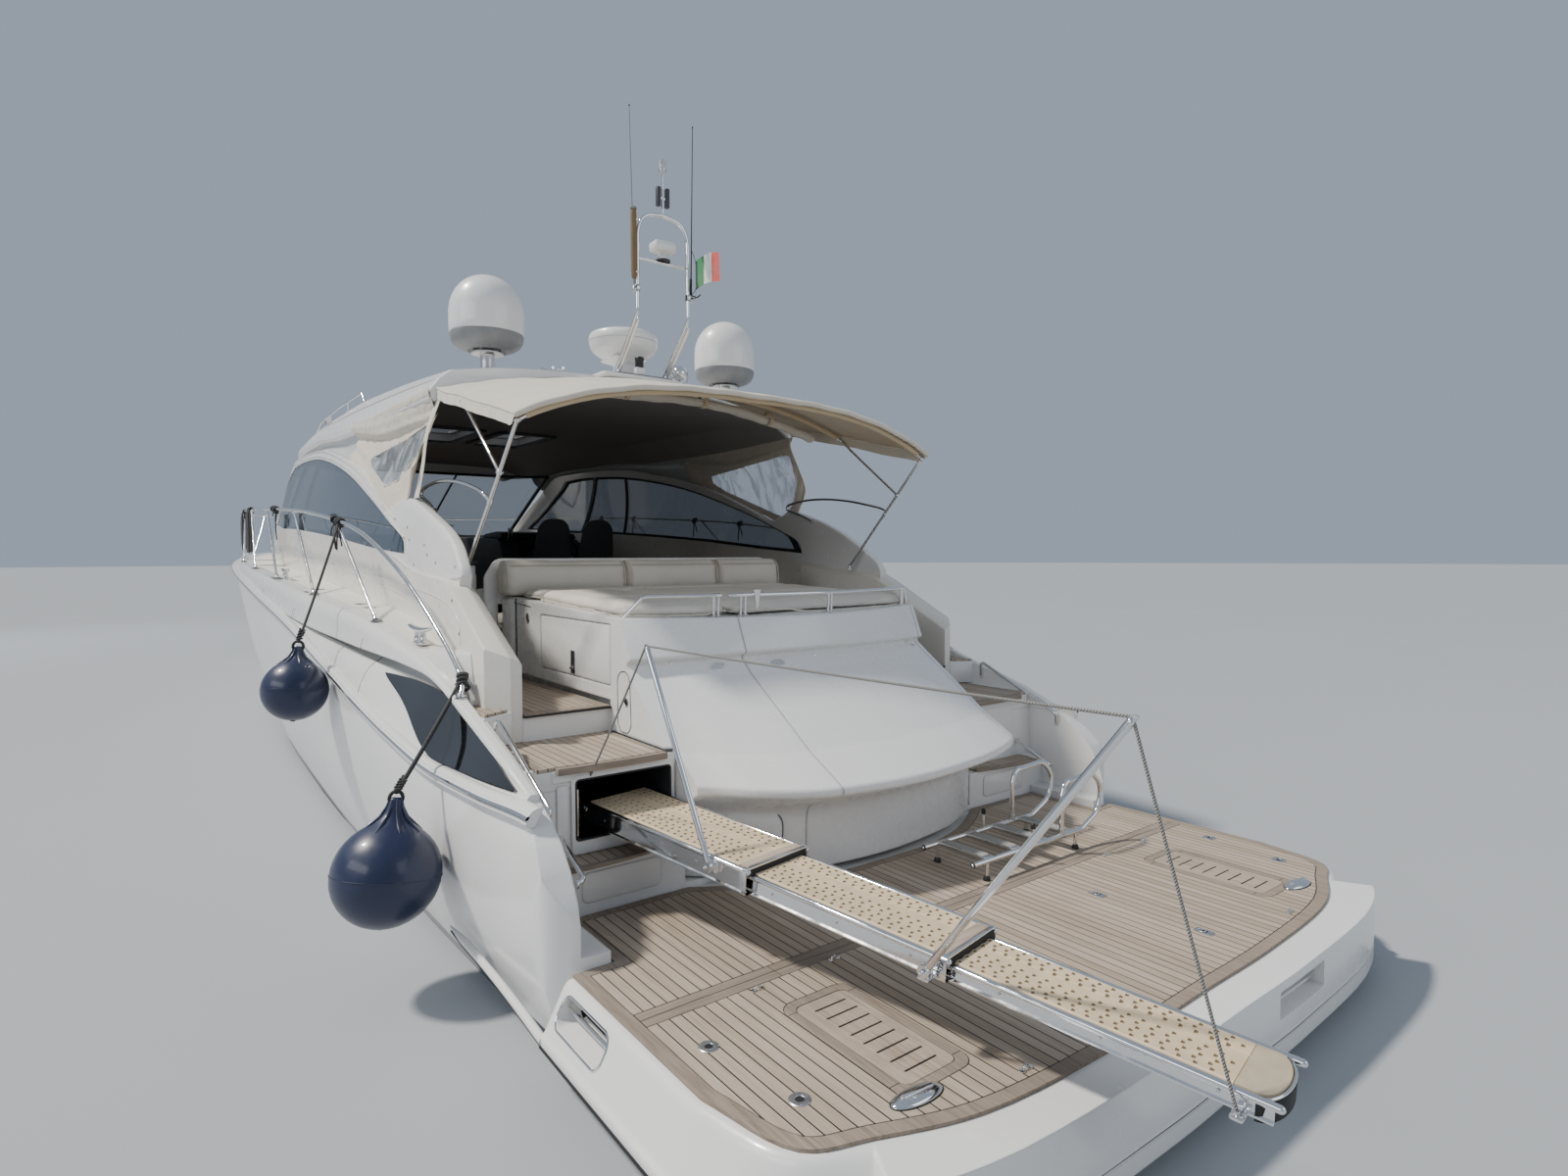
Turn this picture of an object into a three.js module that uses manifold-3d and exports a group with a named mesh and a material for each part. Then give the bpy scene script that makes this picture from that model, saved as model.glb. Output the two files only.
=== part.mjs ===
// Hardtop motor yacht, about 20 m, with passerelle, bathing platform and canvas bimini.
// Millimetres. X forward, Y to port, Z up. The origin is on the waterline, amidships on the centreline.
import * as THREE from "three";
import { mergeVertices } from "three/addons/utils/BufferGeometryUtils.js";
import Module from "manifold-3d";

const wasm = await Module();
wasm.setup();

// ---------------------------------------------------------------- driving dimensions
const GAP = 0.5; // clearance between pieces that touch
const TEAK_Z = 450; // top of the platform's teak
const PLATFORM = { aft: -10200, fwd: -7745, half: 2250, neck: 1895, neckX: -8290, top: 436, bottom: 100 };
const STEP1_Z = 700, STEP2_Z = 1180, SOLE_Z = 1340; // undersides of the teak treads and of the sole
const TEAK_T = 20; // tread thickness
const STEP1_X = -7735, STEP2_X = -7620, LANDING_X = -6930; // risers
const WELL_Y = 1800; // half width of the cockpit
const GARAGE_Y = 1190, SUNPAD_Y = 1245; // transom moulding, below and above the second step
const SEAM_Y = 560; // the slanted seam between fixed part and lid, at the top
const LID_HINGE = [-5652, 0, 2035]; // at the front top edge of the lid's cushion
const PASS_PIVOT = [-7420, 1470, 960];
const PASS_HEADING = (10.5 * Math.PI) / 180, PASS_SLOPE = (3.3 * Math.PI) / 180;
const DOME = { x: -4560, y: 1185, z: 3990, r: 300 };
const PROP = { x: -8000, y: 850, z: -830, r: 370 };
const SHAFT_ANGLE = (9 * Math.PI) / 180;

// Sections of hull and deck. Columns: x, keel z, chine y, chine z, mid y, mid z, rub y, rub z, deck edge y, deck z, trunk y, trunk z, crown z
const SECTIONS = [
  [-9300, -600, 2000, -30, 2150, 450, 2220, 1080, 0, 0, 0, 0, 0],
  [-8275, -640, 2050, -30, 2180, 400, 1985, 470, 0, 0, 0, 0, 0],
  [-8120, -650, 2060, -30, 2190, 420, 2070, 860, 0, 0, 0, 0, 0],
  [-7970, -660, 2070, -30, 2200, 480, 2130, 1075, 2085, 1100, 1905, 1100, 1100],
  [-7500, -680, 2090, -30, 2240, 500, 2200, 1080, 2100, 1240, 1900, 1240, 1240],
  [-6950, -710, 2110, -30, 2280, 500, 2255, 1085, 2110, 1400, 1900, 1400, 1400],
  [-6100, -750, 2140, -25, 2330, 560, 2345, 1200, 2190, 1660, 1900, 1660, 1660],
  [-5000, -800, 2160, -15, 2380, 650, 2430, 1410, 2300, 1845, 1900, 1845, 1845],
  [-3350, -860, 2180, 10, 2420, 800, 2490, 1660, 2400, 1950, 1900, 1950, 1950],
  [-1000, -920, 2170, 70, 2420, 950, 2510, 1860, 2450, 2060, 1900, 2060, 2060],
  [1000, -950, 2090, 150, 2360, 1060, 2490, 2000, 2440, 2140, 1900, 2140, 2140],
  [3000, -950, 1920, 290, 2200, 1200, 2400, 2110, 2360, 2210, 1830, 2210, 2210],
  [3700, -940, 1830, 350, 2110, 1250, 2345, 2140, 2300, 2230, 1700, 2560, 2620],
  [5000, -860, 1600, 500, 1890, 1360, 2180, 2200, 2140, 2275, 1450, 2520, 2600],
  [6800, -560, 1130, 860, 1430, 1590, 1760, 2270, 1720, 2330, 950, 2400, 2470],
  [8200, -40, 690, 1230, 930, 1810, 1240, 2325, 1200, 2375, 500, 2385, 2410],
  [9200, 560, 340, 1560, 500, 2010, 720, 2365, 680, 2410, 260, 2412, 2418],
  [9800, 1200, 130, 1850, 200, 2170, 330, 2390, 300, 2430, 120, 2431, 2433],
  [10060, 1700, 40, 2050, 50, 2240, 70, 2400, 60, 2440, 30, 2440, 2441],
];

// Side walls of the deckhouse. Columns: x, y at foot, y at middle, z at middle, y at top, z at top (the foot stands on the deck)
const HOUSE = [
  [-6930, 1900, 1885, 1660, 1870, 1690],
  [-6100, 1925, 1905, 2000, 1880, 2020],
  [-5790, 1935, 1910, 2120, 1870, 2150],
  [-5400, 1945, 1930, 2200, 1890, 2610],
  [-5000, 1960, 1955, 2300, 1880, 2800],
  [-4600, 1975, 1990, 2300, 1880, 2890],
  [-3350, 2000, 2040, 2350, 1900, 3080],
  [-2200, 2010, 2055, 2400, 1880, 3350],
  [-1000, 2010, 2060, 2480, 1860, 3470],
  [1000, 1990, 2030, 2560, 1840, 3540],
  [2000, 1940, 1960, 2600, 1840, 3210],
  [3000, 1880, 1880, 2640, 1850, 2820],
  [3400, 1850, 1850, 2600, 1840, 2660],
];

// ---------------------------------------------------------------- helpers
const root = new THREE.Group();
const V = (x, y, z) => new THREE.Vector3(x, y, z);

function solid(geometry) {
  const g = geometry.clone();
  for (const k of Object.keys(g.attributes)) if (k !== "position") g.deleteAttribute(k);
  const m = mergeVertices(g, 1e-3);
  const s = new wasm.Manifold(
    new wasm.Mesh({ numProp: 3, vertProperties: new Float32Array(m.attributes.position.array), triVerts: new Uint32Array(m.index.array) }),
  );
  if (s.volume() < 0) throw new Error("inside out");
  return s;
}
function geometryOf(s) {
  const m = s.getMesh();
  const pos = new Float32Array(m.numVert * 3);
  for (let i = 0; i < m.numVert; i++) pos.set(m.vertProperties.subarray(i * m.numProp, i * m.numProp + 3), i * 3);
  const g = new THREE.BufferGeometry();
  g.setAttribute("position", new THREE.BufferAttribute(pos, 3));
  g.setIndex(new THREE.BufferAttribute(new Uint32Array(m.triVerts), 1));
  return g;
}
const lerp = (a, b, t) => a + (b - a) * t;
// value of a table's column at x, in straight lines between its rows
function at(table, x, col) {
  if (x <= table[0][0]) return table[0][col];
  for (let i = 1; i < table.length; i++)
    if (x <= table[i][0]) return lerp(table[i - 1][col], table[i][col], (x - table[i - 1][0]) / (table[i][0] - table[i - 1][0]));
  return table[table.length - 1][col];
}
// closed body through rings of points; every ring has the same count; the end rings are capped
function loft(rings) {
  const n = rings[0].length, pos = [], idx = [];
  for (const r of rings) for (const p of r) pos.push(p[0], p[1], p[2]);
  for (let k = 0; k + 1 < rings.length; k++)
    for (let i = 0; i < n; i++) {
      const a = k * n + i, b = k * n + ((i + 1) % n), c = a + n, d = b + n;
      idx.push(a, b, d, a, d, c);
    }
  const cap = (ring, base, flip) => {
    // project the ring on its own best plane
    const o = V(...ring[0]);
    let nrm = V(0, 0, 0);
    for (let i = 0; i < n; i++) {
      const p = V(...ring[i]), q = V(...ring[(i + 1) % n]);
      nrm.add(p.clone().sub(o).cross(q.clone().sub(o)));
    }
    nrm.normalize();
    const u = Math.abs(nrm.z) < 0.9 ? V(0, 0, 1).cross(nrm).normalize() : V(1, 0, 0).cross(nrm).normalize();
    const v = nrm.clone().cross(u);
    const flat = ring.map((p) => { const d = V(...p).sub(o); return new THREE.Vector2(d.dot(u), d.dot(v)); });
    for (const t of THREE.ShapeUtils.triangulateShape(flat, [])) {
      const [a, b, c] = t;
      if (flip) idx.push(base + a, base + c, base + b);
      else idx.push(base + a, base + b, base + c);
    }
  };
  cap(rings[0], 0, true);
  cap(rings[rings.length - 1], (rings.length - 1) * n, false);
  const g = new THREE.BufferGeometry();
  g.setAttribute("position", new THREE.Float32BufferAttribute(pos, 3));
  g.setIndex(idx);
  const test = (geo) => {
    let vol = 0; const P = geo.attributes.position, I = geo.index;
    for (let i = 0; i < I.count; i += 3) {
      const a = new THREE.Vector3().fromBufferAttribute(P, I.getX(i)), b = new THREE.Vector3().fromBufferAttribute(P, I.getX(i + 1)), c = new THREE.Vector3().fromBufferAttribute(P, I.getX(i + 2));
      vol += a.dot(b.cross(c));
    }
    return vol;
  };
  if (test(g) < 0) { const I = g.index.array; for (let i = 0; i < I.length; i += 3) { const t = I[i + 1]; I[i + 1] = I[i + 2]; I[i + 2] = t; } }
  return solid(g);
}
const box = (x0, x1, y0, y1, z0, z1) =>
  solid(new THREE.BoxGeometry(x1 - x0, y1 - y0, z1 - z0).translate((x0 + x1) / 2, (y0 + y1) / 2, (z0 + z1) / 2));
// outline in X and Z, from y0 to y1
const prismY = (pts, y0, y1) => loft([pts.map(([x, z]) => [x, y0, z]), pts.map(([x, z]) => [x, y1, z])]);
// outline in X and Y, from z0 to z1
const prismZ = (pts, z0, z1) => loft([pts.map(([x, y]) => [x, y, z0]), pts.map(([x, y]) => [x, y, z1])]);
// outline in Y and Z, from x0 to x1
const prismX = (pts, x0, x1) => loft([pts.map(([y, z]) => [x0, y, z]), pts.map(([y, z]) => [x1, y, z])]);
// straight round bar between two points
function bar(a, b, r, sides = 8) {
  const A = V(...a), B = V(...b), d = B.clone().sub(A), g = new THREE.CylinderGeometry(r, r, d.length(), sides);
  g.applyQuaternion(new THREE.Quaternion().setFromUnitVectors(V(0, 1, 0), d.normalize()));
  const c = A.add(B).multiplyScalar(0.5);
  return solid(g.translate(c.x, c.y, c.z));
}
// round tube through points
function tube(points, r, sides = 6, steps = 0) {
  const curve = new THREE.CatmullRomCurve3(points.map((p) => V(...p)), false, "centripetal");
  const shape = new THREE.Shape();
  for (let i = 0; i < sides; i++) {
    const a = (2 * Math.PI * i) / sides;
    if (i) shape.lineTo(r * Math.cos(a), r * Math.sin(a)); else shape.moveTo(r * Math.cos(a), r * Math.sin(a));
  }
  return solid(new THREE.ExtrudeGeometry(shape, { steps: steps || points.length * 2, bevelEnabled: false, extrudePath: curve }));
}
// round tube in straight runs, mitred at its corners
function run(points, r, sides = 8) {
  const P = points.map((p) => V(...p)), n = P.length, dirs = [];
  for (let i = 0; i + 1 < n; i++) dirs.push(P[i + 1].clone().sub(P[i]).normalize());
  let u = Math.abs(dirs[0].z) < 0.9 ? V(0, 0, 1).cross(dirs[0]).normalize() : V(1, 0, 0).cross(dirs[0]).normalize();
  const rings = [];
  let ring = null;
  for (let i = 0; i < n; i++) {
    const d = i === 0 ? dirs[0] : dirs[i - 1], plane = i === 0 ? dirs[0] : i === n - 1 ? dirs[n - 2] : dirs[i - 1].clone().add(dirs[i]).normalize();
    if (!ring) {
      const v = d.clone().cross(u);
      ring = [...Array(sides)].map((_, k) => { const a = (2 * Math.PI * k) / sides; return P[0].clone().addScaledVector(u, r * Math.cos(a)).addScaledVector(v, r * Math.sin(a)); });
    } else
      // slide each point along the run until it meets the mitre plane
      ring = ring.map((q) => q.clone().addScaledVector(d, P[i].clone().sub(q).dot(plane) / d.dot(plane)));
    rings.push(ring.map((q) => [q.x, q.y, q.z]));
  }
  return loft(rings);
}
const join = (...list) => list.reduce((a, b) => a.add(b));
const cut = (a, ...list) => list.reduce((s, b) => s.subtract(b), a);
const mirrorY = (s) => s.mirror([0, 1, 0]);
function lathe(profile, segments, x, y, z) {
  const g = new THREE.LatheGeometry(profile.map(([r, h]) => new THREE.Vector2(r, h)), segments);
  return solid(g.rotateX(Math.PI / 2).translate(x, y, z));
}
function put(parent, name, s, colour, roughness, metalness) {
  const mesh = new THREE.Mesh(geometryOf(s), new THREE.MeshStandardMaterial({ color: colour, roughness, metalness }));
  mesh.name = name;
  parent.add(mesh);
  return mesh;
}
const GEL = [0xf2f0ea, 0.25, 0], STEEL = [0xc9ccd0, 0.15, 1], TEAK = [0xa08d76, 0.7, 0], CANVAS = [0xd8cbb0, 0.9, 0],
  CREAM = [0xded6c6, 0.8, 0], GLASS = [0x2a3540, 0.05, 0.1], NAVY = [0x16203a, 0.4, 0], DARK = [0x22262b, 0.6, 0], BRONZE = [0xa88a4a, 0.35, 1], WOOD = [0x8a5a34, 0.35, 0];

// ---------------------------------------------------------------- hull and deck
// ring of the hull at a row: flat top at the rub line
function hullRing([x, kz, cy, cz, my, mz, ry, rz]) {
  const kw = Math.min(80, cy * 0.3), ch = Math.min(60, cy * 0.4), m = Math.min(mz, rz - 20);
  return [[x, -ry, rz], [x, -my, m], [x, -cy, cz], [x, -cy + ch, cz - 45], [x, -kw, kz], [x, kw, kz], [x, cy - ch, cz - 45], [x, cy, cz], [x, my, m], [x, ry, rz]];
}
let hull = loft(SECTIONS.map(hullRing));
const trunkFoot = (ty, dy) => Math.min(ty + 60, (ty + dy) / 2);
const deckRows = SECTIONS.filter((r) => r[8] > 0);
let deck = loft(deckRows.map(([x, , , , , , ry, rz, dy, dz, ty, tz, cz]) => [
  [x, -ry, rz + GAP], [x, ry, rz + GAP], [x, dy, dz], [x, trunkFoot(ty, dy), dz], [x, ty, tz], [x, ty * 0.5, lerp(tz, cz, 0.8)], [x, -ty * 0.5, lerp(tz, cz, 0.8)], [x, -ty, tz], [x, -trunkFoot(ty, dy), dz], [x, -dy, dz],
]));

// spaces taken out of hull and deck
const sternFree = join(
  box(-9400, PLATFORM.neckX + 5, -2600, 2600, PLATFORM.bottom - GAP, 3000), // above the platform
  box(-8400, STEP1_X, -1905, 1905, PLATFORM.bottom - GAP, 3000), // platform between the wings
);
const stairFree = (s) => {
  const y0 = Math.min(s * 1190, s * 1905), y1 = Math.max(s * 1190, s * 1905);
  const z0 = Math.min(s * 1190, s * 2000), z1 = Math.max(s * 1190, s * 2000);
  return join(box(STEP1_X - 1, STEP2_X, y0, y1, STEP1_Z, 3000), box(STEP2_X - 1, LANDING_X, z0, z1, STEP2_Z, 3000), box(-7000, -6750, s > 0 ? 1790 : -2010, s > 0 ? 2010 : -1790, SOLE_Z, 3000));
};
const wellFree = join(box(LANDING_X - 1, 3350, -WELL_Y, WELL_Y, SOLE_Z, 3000));
const garageFree = join(box(-8400, -5280, -GARAGE_Y - GAP, GARAGE_Y + GAP, TEAK_Z + 20, 3000));
const passTunnel = box(STEP2_X - 10, -5900, 1200, 1800, 740, 1130);
const engineBay = box(-5150, -2500, -1450, 1450, -300, 1400);
hull = cut(hull, sternFree, stairFree(1), stairFree(-1), wellFree, garageFree, passTunnel, engineBay);
deck = cut(deck, sternFree, stairFree(1), stairFree(-1), wellFree, garageFree, passTunnel, engineBay);
// foredeck hatch opening
const HATCH = { x0: 5350, x1: 5990, half: 320 };
const hatchFree = box(HATCH.x0, HATCH.x1, -HATCH.half, HATCH.half, 2250, 3000);
deck = cut(deck, hatchFree);
hull = cut(hull, box(HATCH.x0, HATCH.x1, -HATCH.half, HATCH.half, 1800, 3000));
put(root, "hull", hull, ...GEL);
put(root, "deck_moulding", deck, ...GEL);

// rub rails: half-round section swept along the rub line
for (const [name, s] of [["rub_rail_port", 1], ["rub_rail_starboard", -1]]) {
  const rows = SECTIONS.filter((r) => r[0] >= -7970 && r[0] <= 9800);
  put(root, name, loft(rows.map(([x, , , , my, mz, ry, rz, dy, dz]) => {
    const k = (dz - rz) > 1 ? Math.max(-1.2, Math.min(1.2, (ry - dy) / (dz - rz))) : 1; // slope of the deck side above the line
    const q = (ry - my) / (rz - mz); // slope of the topside below it
    return [[x, s * (ry - q * 45 - 14), rz - 45], [x, s * (ry - q * 45 + 34), rz - 40], [x, s * (ry + 46), rz - 12], [x, s * (ry + 46), rz + 12], [x, s * (ry - k * 30 + 34), rz + 38], [x, s * (ry - k * 30 - 14), rz + 32]];
  })).subtract(hull.translate([0, 2 * s, 0])).subtract(hull.translate([0, s, 1])).subtract(deck.translate([0, 2 * s, 0])).subtract(deck.translate([0, 0, 1])).subtract(deck.translate([0, 0, -1])).decompose().sort((a, b) => b.volume() - a.volume())[0], ...GEL);
}

// ---------------------------------------------------------------- swim platform
const P = PLATFORM;
function platformOutline(inset) {
  const h = P.half - inset, a = P.aft + inset, pts = [];
  const half = [[P.fwd - inset * 0, P.neck - 5], [P.neckX, P.neck - 5], [P.neckX, h], [-9350, h], [-9750, h - 110], [-10010 + inset, h - 330], [a + 60, h - 700], [a, 600]];
  for (const [x, y] of half) pts.push([x, y]);
  for (const [x, y] of half.slice().reverse()) pts.push([x, -y]);
  return pts;
}
const platform = loft([platformOutline(170).map(([x, y]) => [x, y, P.bottom]), platformOutline(0).map(([x, y]) => [x, y, 230]), platformOutline(8).map(([x, y]) => [x, y, 300]), platformOutline(60).map(([x, y]) => [x, y, P.top])]);
put(root, "swim_platform", platform, ...GEL);
const teakOut = platformOutline(130).map(([x, y]) => [x, y]);
const garageFoot = [[-7700, 1240], [-7760, 1150], [-7960, 800], [-8070, 400], [-8085, 0]]; // foot of the transom moulding on the platform, half
const footOutline = (o) => [...garageFoot.map(([x, y]) => [x - o, y + (y ? o * 0.5 : 0)]), ...garageFoot.slice(0, -1).reverse().map(([x, y]) => [x - o, -y - o * 0.5]), [-5200, -1500], [-5200, 1500]];
put(root, "platform_teak", cut(prismZ(teakOut, P.top + GAP, TEAK_Z), prismZ(footOutline(6), 0, 900)), ...TEAK);

// ---------------------------------------------------------------- transom moulding and garage lid
// Plan curves of the transom, half breadths with x of: foot wall, lip, recess, upper panel. Columns: y, foot x, lip x, recess x, panel x
const TRANSOM = [
  [1245, -7560, -7620, -7300, -7300],
  [1130, -7700, -7700, -7330, -7310],
  [950, -7850, -8060, -7370, -7320],
  [600, -8010, -8330, -7400, -7330],
  [0, -8080, -8420, -7420, -7340],
];
const TRANSOM_STBD = [[-600, -8010, -8340, -7400, -7330], [-950, -7880, -8240, -7370, -7320], [-1130, -7770, -8150, -7340, -7310], [-1245, -7640, -7950, -7300, -7300]];
const transomRing = ([y, fx, lx, rx, px]) => [[-5300, y, TEAK_Z + 30], [fx, y, TEAK_Z + 30], [fx - 10, y, 880], [lx, y, 985], [lx, y, 1010], [lerp(lx, rx, 0.45), y, 1330], [lerp(lx, rx, 0.85), y, 1560], [rx, y, 1625], [px - 30, y, 1680], [px + 30, y, 1900], [-5300, y, 1960]];
const transomInner = ([y, fx, lx, rx, px]) => [[-5420, y, TEAK_Z + 29], [fx + 60, y, TEAK_Z + 29], [fx + 60, y, 900], [lx + 110, y, 1010], [lx + 120, y, 1030], [lerp(lx, rx, 0.45) + 70, y, 1300], [lerp(lx, rx, 0.85) + 60, y, 1520], [rx + 60, y, 1600], [px + 60, y, 1640], [px + 100, y, 1830], [-5420, y, 1885]];
const transomRows = [...TRANSOM, ...TRANSOM_STBD];
const transomBody = loft(transomRows.map(transomRing));
const transomHollow = loft(transomRows.map((r) => transomInner([r[0] * (1120 / 1245), r[1], r[2], r[3], r[4]])));
let shell = cut(transomBody, transomHollow);
// below the second step the moulding is narrower at its sides
shell = cut(shell, box(-7640, -5200, GARAGE_Y - GAP, 1400, 0, STEP2_Z + TEAK_T + GAP), box(-7640, -5200, -1400, -GARAGE_Y + GAP, 0, STEP2_Z + TEAK_T + GAP));
shell = cut(shell, box(-6935, -5200, GARAGE_Y - GAP, 1400, 0, SOLE_Z + TEAK_T + 30), box(-6935, -5200, -1400, -GARAGE_Y + GAP, 0, SOLE_Z + TEAK_T + 30));
shell = cut(shell, box(-8500, STEP2_X + 5, 1180, 1400, 0, 1215), box(-8500, STEP2_X + 5, -1400, -1180, 0, 740));
// the lid: everything to starboard of the slanted seam and aft of the hinge line, less the starboard side wall
const seamPrism = (gap) => prismX([[SEAM_Y - gap, 0], [SEAM_Y - gap, 3000], [-1180 + 0 + gap, 3000], [-1180 + gap, 0]], -9000, -5650 - gap);
const lid = shell.intersect(seamPrism(3));
const fixedShell = cut(shell, seamPrism(-3));
// locker in the port side of the moulding, behind a flap hinged along its top edge
const LOCKER = { x0: -6940, x1: -5810, z0: 1475, z1: 1860 };
const lockerHole = box(LOCKER.x0, LOCKER.x1, 1000, 1300, LOCKER.z0, LOCKER.z1);
const lockerDoor = box(LOCKER.x0 + 6, LOCKER.x1 - 6, SUNPAD_Y - 18, SUNPAD_Y - 0.5, LOCKER.z0 + 6, LOCKER.z1 - 6);
const lockerLiner = cut(box(LOCKER.x0 - 30, LOCKER.x1 + 30, 780, 1130, LOCKER.z0 - 30, LOCKER.z1 + 30), box(LOCKER.x0, LOCKER.x1, 810, 1200, LOCKER.z0, LOCKER.z1));
const fixedAll = cut(join(fixedShell, lockerLiner), lockerHole);
// rails along the aft edge of the sunpad, standing on the moulding and on the lid
const railZ = 2045, railX = -7262, footZ = 1880;
const fixedRail = join(run([[-7252, 1226, footZ], [railX, 1180, railZ], [railX, 620, railZ]], 12, 6), bar([railX, 660, railZ], [-7255, 660, footZ], 9, 6), bar([railX, 1000, railZ], [-7255, 1000, footZ], 9, 6));
const lidRail = join(run([[railX, 500, railZ], [railX, -1090, railZ], [-7254, -1160, footZ]], 12, 6), bar([railX, 460, railZ], [-7255, 460, footZ], 9, 6), bar([railX, -100, railZ], [-7255, -100, footZ], 9, 6), bar([railX, -700, railZ], [-7255, -700, footZ], 9, 6));
put(root, "transom_moulding", join(fixedAll.decompose().sort((a, b) => b.volume() - a.volume())[0], fixedRail), ...GEL);
put(root, "locker_door", lockerDoor, ...GEL);
put(root, "garage_lid", join(lid.decompose().sort((a, b) => b.volume() - a.volume())[0], lidRail), ...GEL);

// sunpad cushions on the fixed part and on the lid; top slopes gently up forward
const padTop = (x, h) => 1900 + ((x + 7270) / 1970) * 60 + h;
const pad = (y0, y1, x0, x1) => prismY([[x0, padTop(x0, 2)], [x1, padTop(x1, 2)], [x1, padTop(x1, 80)], [x0 + 20, padTop(x0, 80)], [x0, padTop(x0, 60)]], y0, y1);
put(root, "sunpad_cushion_fixed", join(pad(SEAM_Y + 4, 1215, -7240, -5655), pad(-1215, 1215, -5640, -5330), pad(SEAM_Y + 4, 1215, -5660, -5630), pad(-1215, -1190, -7240, -5630)), ...CREAM);
put(root, "sunpad_cushion_lid", pad(-1180, SEAM_Y - 4, -7240, -5664), ...CREAM);
// ---------------------------------------------------------------- cockpit
const boltX = -5290;
put(root, "backrest_bolster", prismY([[boltX, 1962], [boltX + 240, 1962], [boltX + 240, 2190], [boltX + 190, 2270], [boltX + 60, 2280], [boltX - 20, 2210], [boltX - 30, 2050]], -1330, 1330), ...CREAM);
// seat base behind the bolster and its sole, the aft sofa facing forward
put(root, "cockpit_sofa", join(box(-5270, -5050, -1330, 1240, SOLE_Z + TEAK_T + GAP, 1960), box(-5060, -4500, -1330, 1240, SOLE_Z + TEAK_T + GAP, 1800)), ...CREAM);
put(root, "cockpit_sole", join(box(LANDING_X - 30, -3400, -WELL_Y + 3, WELL_Y - 3, SOLE_Z + GAP, SOLE_Z + TEAK_T)).subtract(box(-7100, -5260, -GARAGE_Y - 60, GARAGE_Y + 60, 1000, 1500)), ...TEAK);
put(root, "saloon_floor", box(-3398, 3300, -WELL_Y + 3, WELL_Y - 3, SOLE_Z + GAP, SOLE_Z + TEAK_T), ...WOOD);
for (const [name, s] of [["stair_teak_port", 1], ["stair_teak_starboard", -1]]) {
  const Y = (v) => s * v;
  const box2 = (x0, x1, a, b, z0, z1) => box(x0, x1, Math.min(Y(a), Y(b)), Math.max(Y(a), Y(b)), z0, z1);
  // tread 1, tread 2 and the side step, carried by one upright behind them
  put(root, name, join(
    box2(STEP2_X - 190, STEP2_X - GAP, 1260, 1890, STEP1_Z + GAP, STEP1_Z + TEAK_T),
    box2(STEP2_X - 8, STEP2_X - GAP, 1830, 1890, STEP1_Z + GAP, STEP2_Z + TEAK_T),
    box2(STEP2_X - 60, LANDING_X - 2, 1262, 1890, STEP2_Z + GAP, STEP2_Z + TEAK_T),
    box2(STEP2_X + 5, LANDING_X - 2, 1262, 1990, STEP2_Z + GAP, STEP2_Z + TEAK_T),
  ), ...TEAK);
}
put(root, "wetbar_unit", box(-4250, -3300, 1180, WELL_Y - 4, SOLE_Z + TEAK_T + GAP, 2240), ...GEL);

// ---------------------------------------------------------------- passerelle
const dir = V(-Math.cos(PASS_HEADING) * Math.cos(PASS_SLOPE), -Math.sin(PASS_HEADING) * Math.cos(PASS_SLOPE), -Math.sin(PASS_SLOPE));
const side = V(Math.sin(PASS_HEADING), -Math.cos(PASS_HEADING), 0); // to the passerelle's right, seen from the boat
const up = side.clone().cross(dir).normalize();
if (up.z < 0) up.negate();
// a pose matrix: local x along the passerelle (outboard), local y to port, local z up
const passFrame = new THREE.Matrix4().makeBasis(dir, side.clone().negate(), up);
{ const y = side.clone().negate(); const x = dir.clone(); const z = x.clone().cross(y); if (z.z < 0) passFrame.makeBasis(x, y.negate(), z.negate()); }
const local = (s) => {
  const e = passFrame.elements;
  return s.transform([e[0], e[1], e[2], 0, e[4], e[5], e[6], 0, e[8], e[9], e[10], 0, PASS_PIVOT[0], PASS_PIVOT[1], PASS_PIVOT[2], 1]);
};
const yP = passFrame.elements[5] > 0 ? 1 : -1; // which local y is port
const lbar = (a, b, r, n) => bar([a[0], a[1] * yP, a[2]], [b[0], b[1] * yP, b[2]], r, n);
// Columns: name, start, end, half width, level of the tread, web depth
const STAGES = [
  ["passerelle_stage_1", 40, 1270, 213, 0, 118],
  ["passerelle_stage_2", 870, 2280, 187, -28, 92],
  ["passerelle_stage_3", 1950, 3360, 162, -56, 66],
];
const PASS = STAGES.map(([name, s0, s1, h, z, d]) => {
  const top = box(s0, s1, -h + 16, h - 16, z - 18, z);
  const webs = join(box(s0, s1, h - 16, h - 2, z - d, z - 4), box(s0, s1, -h + 2, -h + 16, z - d, z - 4));
  const tubes = join(bar([s0, h - 13, z - 13], [s1, h - 13, z - 13], 13, 8), bar([s0, -h + 13, z - 13], [s1, -h + 13, z - 13], 13, 8));
  return [name, join(top, webs, tubes)];
});
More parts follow.
